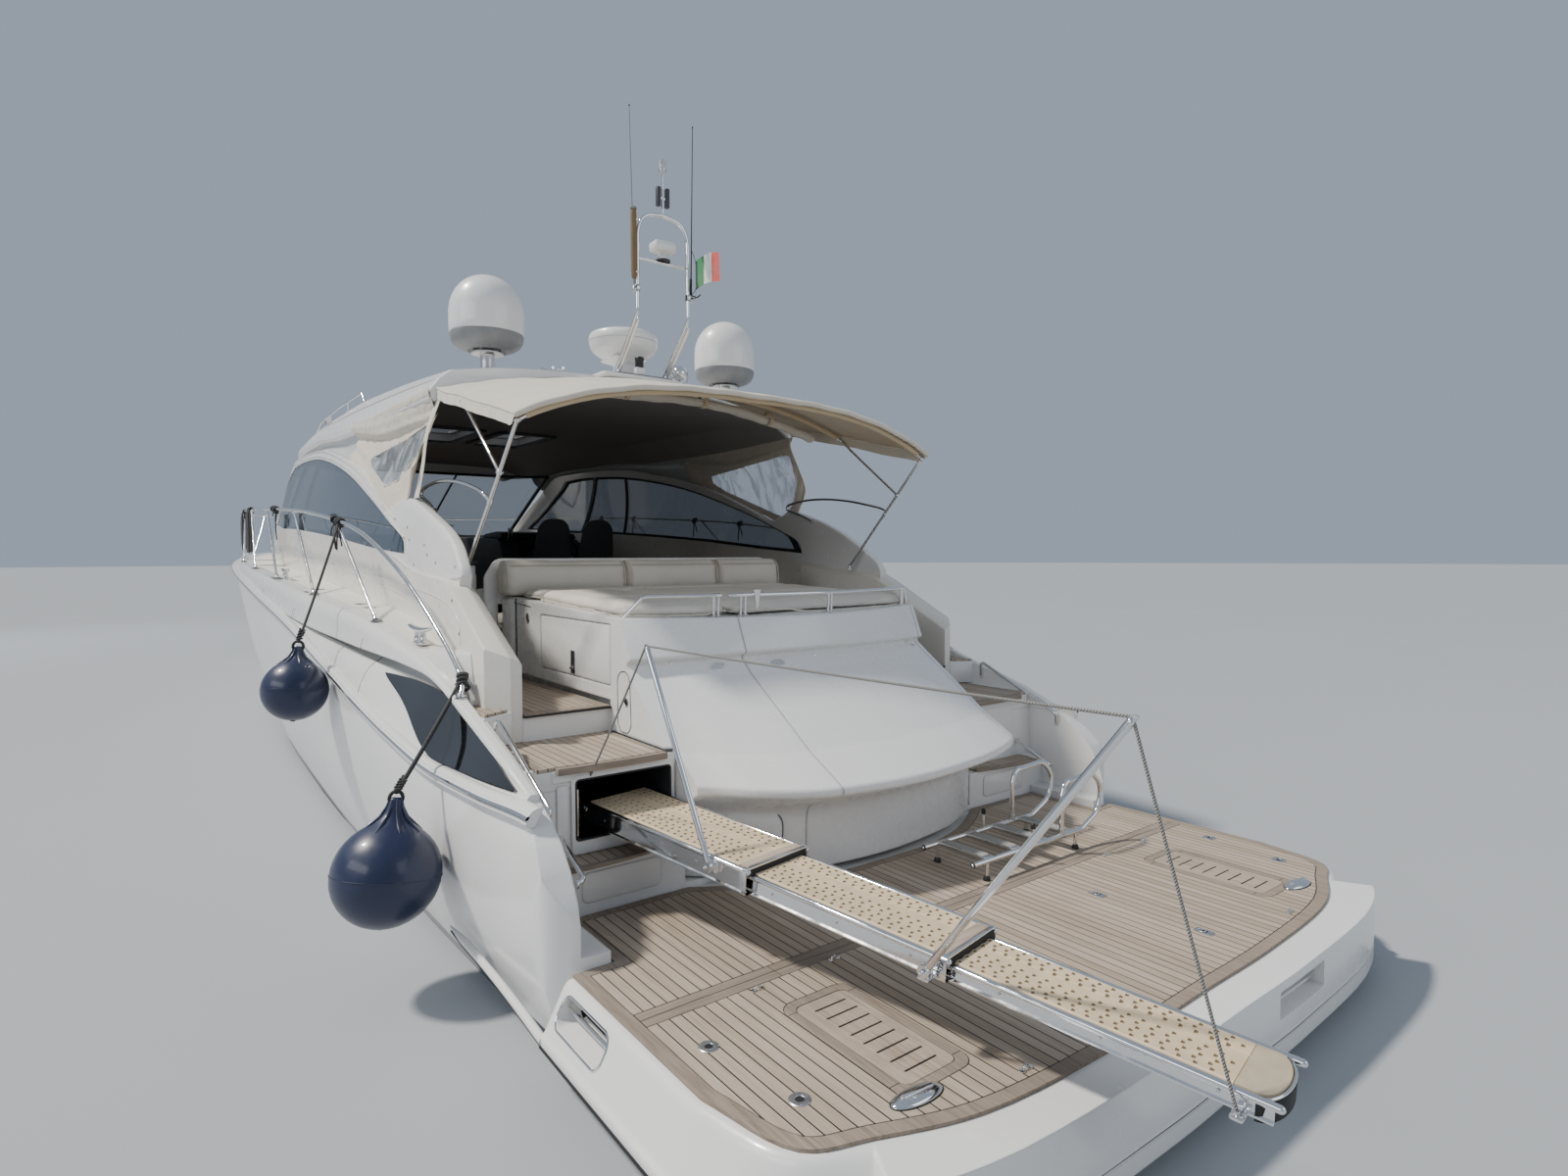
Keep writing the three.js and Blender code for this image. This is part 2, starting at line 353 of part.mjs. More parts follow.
// end lugs and clevis of the first stage
let st1 = join(PASS[0][1], box(-18, 60, 120, 150, -70, -20), box(-18, 60, -150, -120, -70, -20), box(40, 70, -200, 200, -60, -10));
st1 = join(st1, lbar([-6, -170, -45], [-6, 170, -45], 10, 8));
const bracketFoot = (s, h, z) => box(s - 25, s + 25, h - 4, h + 34, z - 60, z - 20);
st1 = join(st1, yP > 0 ? bracketFoot(1050, 213, 0) : mirrorY(bracketFoot(1050, 213, 0)));
let st2 = PASS[1][1];
const arm2 = join(box(2196, 2244, 184, 262, -90, -50), box(2196, 2244, 226, 262, -90, -40));
st2 = join(st2, yP > 0 ? arm2 : mirrorY(arm2));
let st3 = PASS[2][1];
const tip = join(box(3330, 3362, -160, 160, -118, -60), box(3235, 3275, 158, 222, -120, -88));
st3 = join(st3, yP > 0 ? tip : mirrorY(tip));
// stanchions stand on the port side of stages one and two
st1 = join(st1, lbar([1050, 236, -40], [560, 236, 900], 15, 8));
st2 = join(st2, lbar([2220, 246, -70], [2890, 246, 985], 15, 8));
put(root, "passerelle_stage_1", local(st1), ...STEEL);
put(root, "passerelle_stage_2", local(st2), ...STEEL);
put(root, "passerelle_stage_3", local(st3), ...STEEL);
// knuckle: turns about the upright pin and carries the first stage's cross pin in two ears
const kx = PASS_PIVOT[0], ky = PASS_PIVOT[1], kz = PASS_PIVOT[2];
const knuckle = local(join(
  cut(box(-60, 22, 176, 194, -90, -20), solid(new THREE.CylinderGeometry(13, 13, 60, 12).translate(-6, 185, -45))),
  cut(box(-60, 22, -194, -176, -90, -20), solid(new THREE.CylinderGeometry(13, 13, 60, 12).translate(-6, -185, -45))),
  box(-60, -44, -194, 194, -150, -60), box(-60, 40, -60, 60, -170, -140)));
put(root, "passerelle_knuckle", knuckle, ...STEEL);
// housing: frame round the mouth, floor rail and pedestal inside the tunnel
put(root, "passerelle_housing", join(
  cut(box(STEP2_X - 14, STEP2_X - 2, 1196, 1806, 725, 1146), box(STEP2_X - 20, STEP2_X + 6, 1180, 1785, 752, 1118)),
  box(STEP2_X - 6, -5950, 1790, 1797, 745, 1120), box(STEP2_X - 6, -5950, 1203, 1797, 742, 750),
  box(kx - 110, kx + 130, ky - 70, ky + 70, 745, kz - 182)), ...DARK);

// ---------------------------------------------------------------- bathing ladder, lying athwart the platform
const L = { x0: -8330, x1: -8700, y0: -80, y1: -1130, z: 560 };
let ladder = join(bar([L.x0, L.y0, L.z], [L.x0, L.y1, L.z], 16), bar([L.x1, L.y0, L.z], [L.x1, L.y1, L.z], 16));
for (let i = 0; i < 4; i++) ladder = join(ladder, box(L.x1, L.x0, L.y0 - 150 - 250 * i - 35, L.y0 - 150 - 250 * i + 35, L.z - 10, L.z + 12));
for (const x of [L.x0, L.x1]) ladder = join(ladder, run([[x, L.y1 + 20, L.z], [x, -1290, 640], [x, -1330, 830], [x, -1180, 900], [x, -930, 880], [x, -900, L.z]], 14, 8), bar([x, -200, L.z], [x, -200, TEAK_Z + 1], 12), bar([x, -1050, L.z], [x, -1050, TEAK_Z + 1], 12));
put(root, "bathing_ladder", ladder, ...STEEL);

// ---------------------------------------------------------------- deckhouse
const deckAt = (x) => at(SECTIONS, x, 9);
const houseX = [...new Set([...HOUSE.map((r) => r[0]), ...SECTIONS.map((r) => r[0]).filter((x) => x > -6930 && x < 3400)])].sort((a, b) => a - b);
function houseWall(s, thick, inset, rows) {
  return loft(rows.map((x) => {
    const fy = at(HOUSE, x, 1), my = at(HOUSE, x, 2), mz = at(HOUSE, x, 3), ty = at(HOUSE, x, 4), tz = at(HOUSE, x, 5), z0 = deckAt(x) + GAP * 2;
    const o = inset, i = inset + thick;
    const dTop = Math.min(45, (tz - mz) * 0.3);
    return [[x, s * (fy - i), z0], [x, s * (fy - o), z0], [x, s * (my - o), mz], [x, s * (ty - o + 0), tz - dTop], [x, s * (ty - o - 20), tz], [x, s * (ty - i - 20 + Math.min(20, thick * 0.3)), tz], [x, s * (my - i), mz]];
  }));
}
// side windows, outline in X and Z: arch from the aft tip to the windscreen pillar
const SIDE_WINDOW = [[-4500, 2290], [-4150, 2560], [-3600, 2790], [-2900, 2980], [-2100, 3180], [-1200, 3320], [-300, 3395], [700, 3420], [1080, 3330], [1900, 2990], [2650, 2705], [1000, 2600], [-1000, 2510], [-3000, 2390]];
const shrink = (pts, d) => {
  // move every edge of the outline inwards by d
  const n = pts.length, out = [];
  for (let i = 0; i < n; i++) {
    const a = pts[(i + n - 1) % n], b = pts[i], c = pts[(i + 1) % n];
    const u = new THREE.Vector2(b[0] - a[0], b[1] - a[1]).normalize(), v = new THREE.Vector2(c[0] - b[0], c[1] - b[1]).normalize();
    const n1 = new THREE.Vector2(u.y, -u.x), n2 = new THREE.Vector2(v.y, -v.x), m = n1.clone().add(n2).normalize(), k = Math.min(2.5 * d, d / Math.max(0.3, m.dot(n1)));
    out.push([b[0] + m.x * k, b[1] + m.y * k]);
  }
  return out;
};
const winHole = prismY(SIDE_WINDOW, -2600, 2600);
const wallThick = 75;
const wallP = cut(houseWall(1, wallThick, 0, houseX), winHole), wallS = cut(houseWall(-1, wallThick, 0, houseX), winHole);
// front cowl and dash shelf that join the two sides under the windscreen
const COWL = [[-1770, 3405], [-1300, 3650], [-700, 3680], [0, 3690], [700, 3680], [1300, 3650], [1770, 3405]]; // y, x of the shelf's front edge
const cowl = prismZ([...COWL.map(([y, x]) => [x, y]), [3200, 1770], [3200, -1770]], 2330, 2625);
const cowlWings = join(box(3240, 3420, 1500, 1830, 2330, 2620), box(3240, 3420, -1830, -1500, 2330, 2620));
let house = join(wallP, wallS, cowl, cowlWings);
house = cut(house, loft(deckRows.filter((r) => r[0] >= 3000 && r[0] <= 5000).map(([x, , , , , , ry, rz, dy, dz, ty, tz, cz]) => [
  [x, -ry, rz - 300], [x, ry, rz - 300], [x, dy, dz + 1], [x, trunkFoot(ty, dy), dz + 1], [x, ty + 1, tz + 1], [x, ty * 0.5, lerp(tz, cz, 0.8) + 1], [x, -ty * 0.5, lerp(tz, cz, 0.8) + 1], [x, -ty - 1, tz + 1], [x, -trunkFoot(ty, dy), dz + 1], [x, -dy, dz + 1]])));
put(root, "deckhouse", house, ...GEL);
// glass: inside the wall's thickness
const paneHole = prismY(shrink(SIDE_WINDOW, 1.2), -2600, 2600);
const glassRows = houseX.filter((x) => x >= -5000 && x <= 3000);
put(root, "side_window_port", houseWall(1, 14, 22, glassRows).intersect(paneHole), ...GLASS);
put(root, "side_window_starboard", houseWall(-1, 14, 22, glassRows).intersect(paneHole), ...GLASS);
// windscreen: a bent sheet from the cowl to the hardtop. Columns: y at foot, x at foot, y at top, x at top
const SCREEN = [[-1740, 3350], [-1250, 3610], [0, 3660], [1250, 3610], [1740, 3350]].map(([y, x]) => [y, x, y * 0.97, 1640 + (x - 3660) * 0.97]);
put(root, "windscreen", loft(SCREEN.map(([fy, fx, ty, tx]) => [[fx - 14, fy, 2628], [fx, fy, 2628], [tx + 14, ty, 3520], [tx, ty, 3520]])), ...GLASS);

// hardtop: crowned shell. Columns: x, half width at edge, z at edge, half width at shoulder, z at shoulder, z at crown
const ROOF = [
  [-4950, 1760, 3480, 1600, 3720, 3830],
  [-3600, 1830, 3470, 1660, 3790, 3890],
  [-2000, 1860, 3500, 1700, 3840, 3930],
  [-500, 1860, 3590, 1700, 3850, 3940],
  [800, 1830, 3600, 1650, 3820, 3920],
  [1500, 1760, 3570, 1560, 3740, 3850],
  [1950, 1500, 3540, 1300, 3600, 3700],
];
const roofRing = ([x, ey, ez, sy, sz, cz]) => [
  [x, -ey, ez], [x, -ey + 60, ez - 18], [x, -sy + 70, sz - 120], [x, -sy * 0.5, cz - 115], [x, sy * 0.5, cz - 115], [x, sy - 70, sz - 120], [x, ey - 60, ez - 18], [x, ey, ez],
  [x, ey - 10, ez + 70], [x, sy, sz], [x, sy * 0.5, lerp(sz, cz, 0.85)], [x, -sy * 0.5, lerp(sz, cz, 0.85)], [x, -sy, sz], [x, -ey + 10, ez + 70],
];
let roof = loft(ROOF.map(roofRing));
// front header closing the shell down to the windscreen's head
roof = join(roof, prismX([[-1500, 3530], [1500, 3530], [1500, 3600], [1200, 3700], [-1200, 3700], [-1500, 3600]], 1720, 1940));
// room for the heads of the walls and of the windscreen
roof = cut(roof, houseWall(1, wallThick + 12, -6, houseX.filter((x) => x >= -5000)), houseWall(-1, wallThick + 12, -6, houseX.filter((x) => x >= -5000)),
  loft(SCREEN.map(([fy, fx, ty, tx]) => [[fx - 30, fy, 2600], [fx + 16, fy, 2600], [tx + 40, ty, 3535], [tx - 20, ty, 3535]])));
put(root, "hardtop", roof.decompose().sort((a, b) => b.volume() - a.volume())[0], ...GEL);
// ---------------------------------------------------------------- canvas
// side curtains close the triangle between the roof's edge and the house side
for (const [name, s] of [["side_curtain_port", 1], ["side_curtain_starboard", -1]]) {
  put(root, name, loft([[-4930, 2835, 3455], [-4560, 2925, 3450], [-3350, 3110, 3440], [-2350, 3345, 3452]].map(([x, z0, z1]) => [[x, s * 1805, z0], [x, s * 1825, z0], [x, s * (x < -3000 ? 1740 : 1790), z1], [x, s * (x < -3000 ? 1720 : 1770), z1]])), ...CANVAS);
}
// bimini: columns x, half width, z at edge, z at centre
const BIMINI = [[-6780, 1755, 3050, 3360], [-6600, 1760, 3120, 3440], [-6100, 1760, 3270, 3580], [-5500, 1740, 3430, 3700], [-4965, 1700, 3560, 3800]];
const biminiTop = (x, k) => lerp(at(BIMINI, x, 2), at(BIMINI, x, 3), 1 - k * k);
put(root, "bimini_canopy", loft(BIMINI.map(([x, h, ez, cz]) => {
  const top = [-1, -0.8, -0.45, 0, 0.45, 0.8, 1].map((k) => [x, k * h, lerp(ez, cz, 1 - k * k)]);
  return [...top.map(([a, b, c]) => [a, b, c + 6]).reverse(), ...top.map(([a, b, c]) => [a, b, c - 8])];
})), ...CANVAS);
// frame: two bows under the canopy, aft legs, second legs, curved grab rails
const bow = (x, low) => [-1, -0.8, -0.45, 0, 0.45, 0.8, 1].map((k) => [x, k * 1735, biminiTop(x, k) - 38 - (Math.abs(k) === 1 ? low : 0)]);
const FOOT = [-5790, 1757, 2160];
let frame = join(run(bow(-6730, 10), 14, 6), run(bow(-5700, 0), 14, 6));
for (const s of [1, -1]) {
  frame = join(frame,
    run([[-6730, s * 1735, biminiTop(-6730, 1) - 44], [-6370, s * 1745, 2750], [FOOT[0], s * FOOT[1], FOOT[2] + 12]], 14, 8),
    bar([-5700, s * 1735, biminiTop(-5700, 1) - 38], [-6370, s * 1745, 2750], 12, 6),
    run([[-6220, s * 1752, 2612], [-6050, s * 1765, 2760], [-5800, s * 1775, 2850], [-5500, s * 1780, 2870], [-5280, s * 1785, 2830]], 13, 6));
}
put(root, "bimini_frame", frame, ...STEEL);

// ---------------------------------------------------------------- roof gear
const roofTop = (x, y) => { const sy = at(ROOF, x, 3), sz = at(ROOF, x, 4), cz = at(ROOF, x, 5), m = lerp(sz, cz, 0.85), k = Math.abs(y) / sy; return k < 0.5 ? m : lerp(m, sz, (k - 0.5) / 0.5); };
for (const [name, s] of [["satellite_dome_port", 1], ["satellite_dome_starboard", -1]]) {
  const z0 = roofTop(DOME.x + 150, DOME.y - 150) + 4, r = DOME.r, b = DOME.z;
  put(root, name, lathe([[0, z0], [150, z0], [150, z0 + 12], [62, z0 + 22], [62, b - 30], [170, b - 25], [r * 0.82, b], [r, b + 70], [r, b + 330], [r * 0.92, b + 470], [r * 0.66, b + 575], [r * 0.3, b + 615], [0, b + 620]], 16, DOME.x, s * DOME.y, 0), ...GEL);
}
const mz = roofTop(-4550, 0) + 4;
put(root, "radar_dome", join(lathe([[0, mz], [150, mz], [110, mz + 60], [90, mz + 180], [200, mz + 200], [298, mz + 270], [312, mz + 350], [295, mz + 425], [220, mz + 445], [0, mz + 450]], 16, -4700, 0, 0)), ...GEL);
{ // raked goalpost mast on its foot plate
  const z0 = roofTop(-4950, 0) + 3, t = [];
  for (const s of [1, -1]) t.push(run([[-4960, s * 225, z0 + 8], [-5430, s * 240, 4290], [-5430, s * 236, 4980], [-5430, s * 190, 5070], [-5430, s * 100, 5105], [-5430, 0, 5110]], 16, 6), bar([-5040, s * 225, z0 + 8], [-5425, s * 238, 4210], 14, 6));
  for (const s of [1, -1]) t.push(run([[-5430, s * 266, 4480], [-5430, s * 268, 4560], [-5425, s * 300, 5940]], 6, 6), box(-5460, -5400, s > 0 ? 236 : -290, s > 0 ? 290 : -236, 4440, 4500)); // whip aerials in their clamps
  put(root, "mast_frame", join(...t, box(-5110, -4895 - 20, -260, 260, z0, z0 + 16), bar([-5430, 236, 4720], [-5430, -236, 4720], 13, 6), bar([-5430, 0, 5100], [-5430, 0, 5480], 11, 6), box(-5500, -5360, -95, 95, 4790, 4880), box(-5450, -5410, -25, 25, 4725, 4795), solid(new THREE.CylinderGeometry(32, 32, 60, 10).rotateX(Math.PI / 2).translate(-5430, 0, 5500))), ...STEEL);
}
put(root, "courtesy_flag", prismY([[-5470, 4540], [-5660, 4560], [-5840, 4520], [-5840, 4760], [-5660, 4800], [-5470, 4800]], -300, -294), ...CANVAS);

// ---------------------------------------------------------------- guard rails. Columns: x, height above the deck
const STANCHIONS = [-5250, -3450, -1500, 500, 2500, 4400, 6100, 7500, 8600]; // each leans forward
const LEAN = (x) => (x > 5000 ? 700 : x > 0 ? 1000 : 1180);
for (const [name, s] of [["guard_rail_port", 1], ["guard_rail_starboard", -1]]) {
  const dy = (x) => at(SECTIONS, x, 8) - 55, dz = (x) => at(SECTIONS, x, 9);
  const top = [[-6660, 1545], [-6466, 1700], [-5997, 1988], [-5640, 2168], [-5279, 2310], [-4853, 2440], [-4322, 2542], [-2969, 2684], [-1500, 2772], [50, 2846], [2200, 2920], [3900, 2965], [6000, 3020], [8200, 3070], [9300, 3100], [9950, 3120]];
  const pts = top.map(([x, z]) => [x, s * Math.max(60, at(SECTIONS, x, 8) - 75 - (z - at(SECTIONS, x, 9)) * 0.04), z]);
  let rail = run(pts, 16, 6);
  for (const x of STANCHIONS) {
    const xt = x + LEAN(x), k = pts.findIndex((p) => p[0] > xt), a = pts[Math.max(0, k - 1)], b = pts[k < 0 ? pts.length - 1 : k], t = (xt - a[0]) / (b[0] - a[0] || 1);
    const head = a.map((v, i) => lerp(v, b[i], Math.min(1, t)));
    rail = join(rail, bar([x, s * Math.max(90, dy(x)), dz(x) + 18], head, 13, 6), box(x - 40, x + 40, s * Math.max(90, dy(x)) - 32, s * Math.max(90, dy(x)) + 32, dz(x) + 14, dz(x) + 24));
  }
  rail = join(rail, bar([9950, s * 60, 3120], [9860, s * 70, 2450], 13, 6), bar([-6660, pts[0][1], 1545], [-6742, s * 2056, 1490], 16, 6));
  put(root, name, rail, ...STEEL);
}
// anchor on the bow roller and windlass
put(root, "anchor", join(box(9900, 10170, -25, 25, 2250, 2300), prismY([[10060, 2080], [10180, 2060], [10190, 2280], [10120, 2300]], -150, 150), bar([9900, 0, 2275], [10150, 0, 2150], 22, 8)).subtract(loft(SECTIONS.slice(-3).map((r) => { const [x, , , , , , ry, rz, dy, dz] = r; return [[x, -ry - 30, 1000], [x, ry + 30, 1000], [x, dy + 30, dz + 4], [x, -dy - 30, dz + 4]]; }))), ...STEEL);
// foredeck hatch lid with its frame flush in the coachroof
const hatchTilt = Math.atan2(2470 - 2600, 1800);
const crown5 = (x) => lerp(lerp(2520, 2600, 0.8), lerp(2400, 2470, 0.8), (x - 5000) / 1800);
put(root, "foredeck_hatch", loft([HATCH.x0 + 8, HATCH.x1 - 8].map((x) => [[x, -HATCH.half + 8, crown5(x) - 30], [x, HATCH.half - 8, crown5(x) - 30], [x, HATCH.half - 8, crown5(x) + 14], [x, -HATCH.half + 8, crown5(x) + 14]])), ...GLASS);

// ---------------------------------------------------------------- interior seen through the open back and the glass
put(root, "helm_console", prismY([[-250, SOLE_Z + TEAK_T + GAP], [3190, SOLE_Z + TEAK_T + GAP], [3190, 2560], [2700, 2600], [-50, 2470], [-150, 2250]], -1650, -450), ...DARK);
const WHEEL = { x: -290, y: -1270, z: 2330 };
{ // wheel tilted towards the seat
  const ring = [];
  for (let i = 0; i < 16; i++) { const a = (i * Math.PI) / 8; ring.push([0, 190 * Math.cos(a), 190 * Math.sin(a)]); }
  const torus = new THREE.TorusGeometry(190, 16, 6, 20).rotateY(Math.PI / 2);
  let w = join(solid(torus), bar([0, -185, 0], [0, 185, 0], 11, 6), bar([0, 0, 0], [0, 0, -185], 11, 6), solid(new THREE.CylinderGeometry(45, 45, 30, 12).rotateZ(Math.PI / 2)));
  w = join(w, bar([0, 0, 0], [180, 0, 0], 22, 8));
  const m = new THREE.Matrix4().makeRotationY(-0.45).setPosition(WHEEL.x, WHEEL.y, WHEEL.z).elements;
  put(root, "steering_wheel", w.transform([...m]), ...DARK);
}
for (const [name, y] of [["helm_seat_port", -650], ["helm_seat_starboard", -1250]])
  put(root, name, join(box(-1220, -980, y - 130, y + 130, SOLE_Z + TEAK_T + GAP, 1660), prismY([[-1370, 1950], [-1350, 1660], [-780, 1660], [-760, 1800], [-1170, 1840], [-1280, 2150], [-1360, 2780], [-1460, 2780], [-1470, 2720]], y - 250, y + 250)), ...DARK);
put(root, "dinette_sofa", join(box(-1900, 900, 1150, WELL_Y - 70, SOLE_Z + TEAK_T + GAP, 1800), box(-1900, 900, 1560, WELL_Y - 70, 1790, 2190), box(-1900, -1300, 300, 1200, SOLE_Z + TEAK_T + GAP, 1800), box(300, 900, 300, 1200, SOLE_Z + TEAK_T + GAP, 1800)), ...CREAM);
// ---------------------------------------------------------------- running gear and engines
const up9 = Math.tan(SHAFT_ANGLE);
for (const [tag, s] of [["port", 1], ["starboard", -1]]) {
  const y = s * PROP.y, hullZ = (x) => lerp(at(SECTIONS, x, 1), at(SECTIONS, x, 3) - 45, (PROP.y - 80) / (at(SECTIONS, x, 2) - 140));
  // shaft from the bottom to the propeller, with its strut
  const xs = -6500, zs = PROP.z + (xs - PROP.x) * up9;
  let shaft = join(bar([-5200, y, PROP.z + (-5200 - PROP.x) * up9], [PROP.x + 60, y, PROP.z + 60 * up9], 32, 8), box(-7700, -7560, y - 14, y + 14, PROP.z + 45, -200), bar([-7760, y, PROP.z + 240 * up9], [-7500, y, PROP.z + 500 * up9], 55, 10));
  shaft = cut(shaft, hull);
  // a clear skin under the bottom
  shaft = shaft.decompose().sort((a, b) => b.volume() - a.volume())[0];
  put(root, "shaft_" + tag, shaft.subtract(hull.translate([0, 0, -1])), ...BRONZE);
  const hub = solid(new THREE.CylinderGeometry(62, 48, 200, 12).rotateZ(Math.PI / 2));
  let prop = hub;
  for (let i = 0; i < 4; i++) {
    const blade = solid(new THREE.CylinderGeometry(150, 150, 16, 12).scale(1, 1, 1.0).rotateX(0)); // round plate, turned to pitch below
    const m = new THREE.Matrix4().makeRotationX((i * Math.PI) / 2 + (s > 0 ? 0.3 : 0.8)).multiply(new THREE.Matrix4().makeTranslation(0, 0, 190)).multiply(new THREE.Matrix4().makeRotationZ(Math.PI / 2 - s * 0.9));
    prop = join(prop, blade.transform([...m.elements]));
  }
  const pm = new THREE.Matrix4().makeRotationY(-SHAFT_ANGLE).setPosition(PROP.x - 60, y, PROP.z - 60 * up9).elements;
  put(root, "propeller_" + tag, prop.transform([...pm]), ...BRONZE);
  const rx = -8720;
  put(root, "rudder_" + tag, join(loft([[-1260, 150], [-490, 250]].map(([z, l]) => [[rx - l, y, z], [rx - l * 0.2, y - 20, z], [rx + l * 0.5, y - 26, z], [rx + l * 0.72, y, z], [rx + l * 0.5, y + 26, z], [rx - l * 0.2, y + 20, z]])), bar([rx, y, -500], [rx, y, hullZ(rx) - 22], 24, 10)), ...BRONZE);
  put(root, "engine_" + tag, box(-4950, -3050, s > 0 ? 420 : -1300, s > 0 ? 1300 : -420, -280, 780), ...DARK);
}

// ---------------------------------------------------------------- fenders on their lanyards, port side. Columns: name, x, y, z, radius, x, y and z of the rail above
for (const [name, x, y, z, r, tx, ty, tz] of [["fender_forward", -4810, 2680, 1325, 218, -4200, 2300, 2540], ["fender_aft", -7045, 2572, 633, 270, -6700, 2112, 1550]])
  put(root, name, join(solid(new THREE.SphereGeometry(r, 16, 10).rotateX(Math.PI / 2).translate(x, y, z)), bar([x, y, z + r - 15], [x, y, z + r + 55], 45, 10), run([[x, y, z + r + 40], [tx, ty, tz]], 7, 5)), ...NAVY);

export default root;
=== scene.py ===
"""Hardtop motor yacht: high-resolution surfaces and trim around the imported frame. Metres, X forward, Y to port, Z up, origin on the waterline."""
import json
import math
import bpy
import bmesh
import numpy as np
from mathutils import Matrix, Vector


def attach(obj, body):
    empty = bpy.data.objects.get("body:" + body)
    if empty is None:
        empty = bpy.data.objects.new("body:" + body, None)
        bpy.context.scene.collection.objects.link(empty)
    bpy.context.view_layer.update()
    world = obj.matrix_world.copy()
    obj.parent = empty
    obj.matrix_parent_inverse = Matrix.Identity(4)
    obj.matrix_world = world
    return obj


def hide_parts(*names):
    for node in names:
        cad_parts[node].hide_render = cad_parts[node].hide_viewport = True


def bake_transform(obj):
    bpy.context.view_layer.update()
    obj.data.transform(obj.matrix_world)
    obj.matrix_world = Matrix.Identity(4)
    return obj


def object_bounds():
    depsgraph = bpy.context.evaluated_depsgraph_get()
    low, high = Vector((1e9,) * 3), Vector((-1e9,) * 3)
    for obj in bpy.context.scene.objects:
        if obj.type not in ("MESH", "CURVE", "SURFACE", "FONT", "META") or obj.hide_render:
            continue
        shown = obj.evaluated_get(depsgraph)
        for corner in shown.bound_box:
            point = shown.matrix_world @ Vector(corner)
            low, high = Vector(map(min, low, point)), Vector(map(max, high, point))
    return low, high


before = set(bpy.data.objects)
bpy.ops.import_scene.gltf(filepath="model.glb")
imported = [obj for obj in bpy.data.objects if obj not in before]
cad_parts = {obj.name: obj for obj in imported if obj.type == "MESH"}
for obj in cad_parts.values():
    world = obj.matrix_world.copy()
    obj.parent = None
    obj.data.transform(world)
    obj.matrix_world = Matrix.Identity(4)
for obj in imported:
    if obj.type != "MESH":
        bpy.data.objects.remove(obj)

CAD_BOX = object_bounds()
scene = bpy.context.scene
sin, cos, pi = math.sin, math.cos, math.pi


# ------------------------------------------------------------------ camera (solved from the photograph's straight lines)
cam_data = bpy.data.cameras.new("camera")
cam = bpy.data.objects.new("camera", cam_data)
scene.collection.objects.link(cam)
cam_data.sensor_fit = "HORIZONTAL"
cam_data.sensor_width = 36.0
cam_data.lens = 19.485
cam_data.clip_end = 400
right, down, fwd = Vector((-0.6076, -0.7943, -0.0022)), Vector((-0.0300, 0.0257, -0.9992)), Vector((0.7937, -0.6070, -0.0394))
rot = Matrix((right, -down, -fwd)).transposed()
cam.matrix_world = Matrix.Translation((-11.75387, 3.57087, 2.28832)) @ rot.to_4x4()
scene.camera = cam


# ------------------------------------------------------------------ numbers and curves
def lerp(a, b, t):
    return a + (b - a) * t


def smooth(t):
    t = np.clip(t, 0.0, 1.0)
    return t * t * (3 - 2 * t)


class Curve:
    """Monotone cubic through the given points."""

    def __init__(self, xs, ys):
        self.x, self.y = np.asarray(xs, float), np.asarray(ys, float)
        h, d = np.diff(self.x), np.diff(self.y) / np.diff(self.x)
        m = np.zeros(len(self.x))
        m[0], m[-1] = d[0], d[-1]
        for i in range(1, len(m) - 1):
            if d[i - 1] * d[i] > 0:
                w1, w2 = 2 * h[i] + h[i - 1], h[i] + 2 * h[i - 1]
                m[i] = (w1 + w2) / (w1 / d[i - 1] + w2 / d[i])
        self.m, self.h = m, h

    def __call__(self, x):
        x = np.clip(x, self.x[0], self.x[-1])
        i = np.clip(np.searchsorted(self.x, x) - 1, 0, len(self.h) - 1)
        t = (x - self.x[i]) / self.h[i]
        t2, t3 = t * t, t * t * t
        return (2 * t3 - 3 * t2 + 1) * self.y[i] + (t3 - 2 * t2 + t) * self.h[i] * self.m[i] + (3 * t2 - 2 * t3) * self.y[i + 1] + (t3 - t2) * self.h[i] * self.m[i + 1]


def table(rows, scale=0.001):
    """One smooth curve for each column of a table whose first column is x."""
    a = np.array(rows, float) * scale
    return [Curve(a[:, 0], a[:, k]) for k in range(a.shape[1])]


def arr(*a):
    return np.array(a, float)


def unit(v):
    v = np.asarray(v, float)
    n = np.linalg.norm(v)
    return v / n if n > 1e-12 else v


def crom(pts, n=6, closed=False):
    """Points along a smooth curve through pts, n to a span."""
    P = [np.asarray(p, float) for p in pts]
    if closed:
        P = [P[-1]] + P + [P[0], P[1]]
    else:
        P = [2 * P[0] - P[1]] + P + [2 * P[-1] - P[-2]]
    out = []
    for i in range(1, len(P) - 2):
        p0, p1, p2, p3 = P[i - 1], P[i], P[i + 1], P[i + 2]
        t0 = 0.0
        t1 = t0 + max(1e-6, np.linalg.norm(p1 - p0) ** 0.5)
        t2 = t1 + max(1e-6, np.linalg.norm(p2 - p1) ** 0.5)
        t3 = t2 + max(1e-6, np.linalg.norm(p3 - p2) ** 0.5)
        for k in range(n):
            t = t1 + (t2 - t1) * k / n
            a1 = (t1 - t) / (t1 - t0) * p0 + (t - t0) / (t1 - t0) * p1
            a2 = (t2 - t) / (t2 - t1) * p1 + (t - t1) / (t2 - t1) * p2
            a3 = (t3 - t) / (t3 - t2) * p2 + (t - t2) / (t3 - t2) * p3
            b1 = (t2 - t) / (t2 - t0) * a1 + (t - t0) / (t2 - t0) * a2
            b2 = (t3 - t) / (t3 - t1) * a2 + (t - t1) / (t3 - t1) * a3
            out.append((t2 - t) / (t2 - t1) * b1 + (t - t1) / (t2 - t1) * b2)
    if not closed:
        out.append(P[-2])
    return np.array(out)


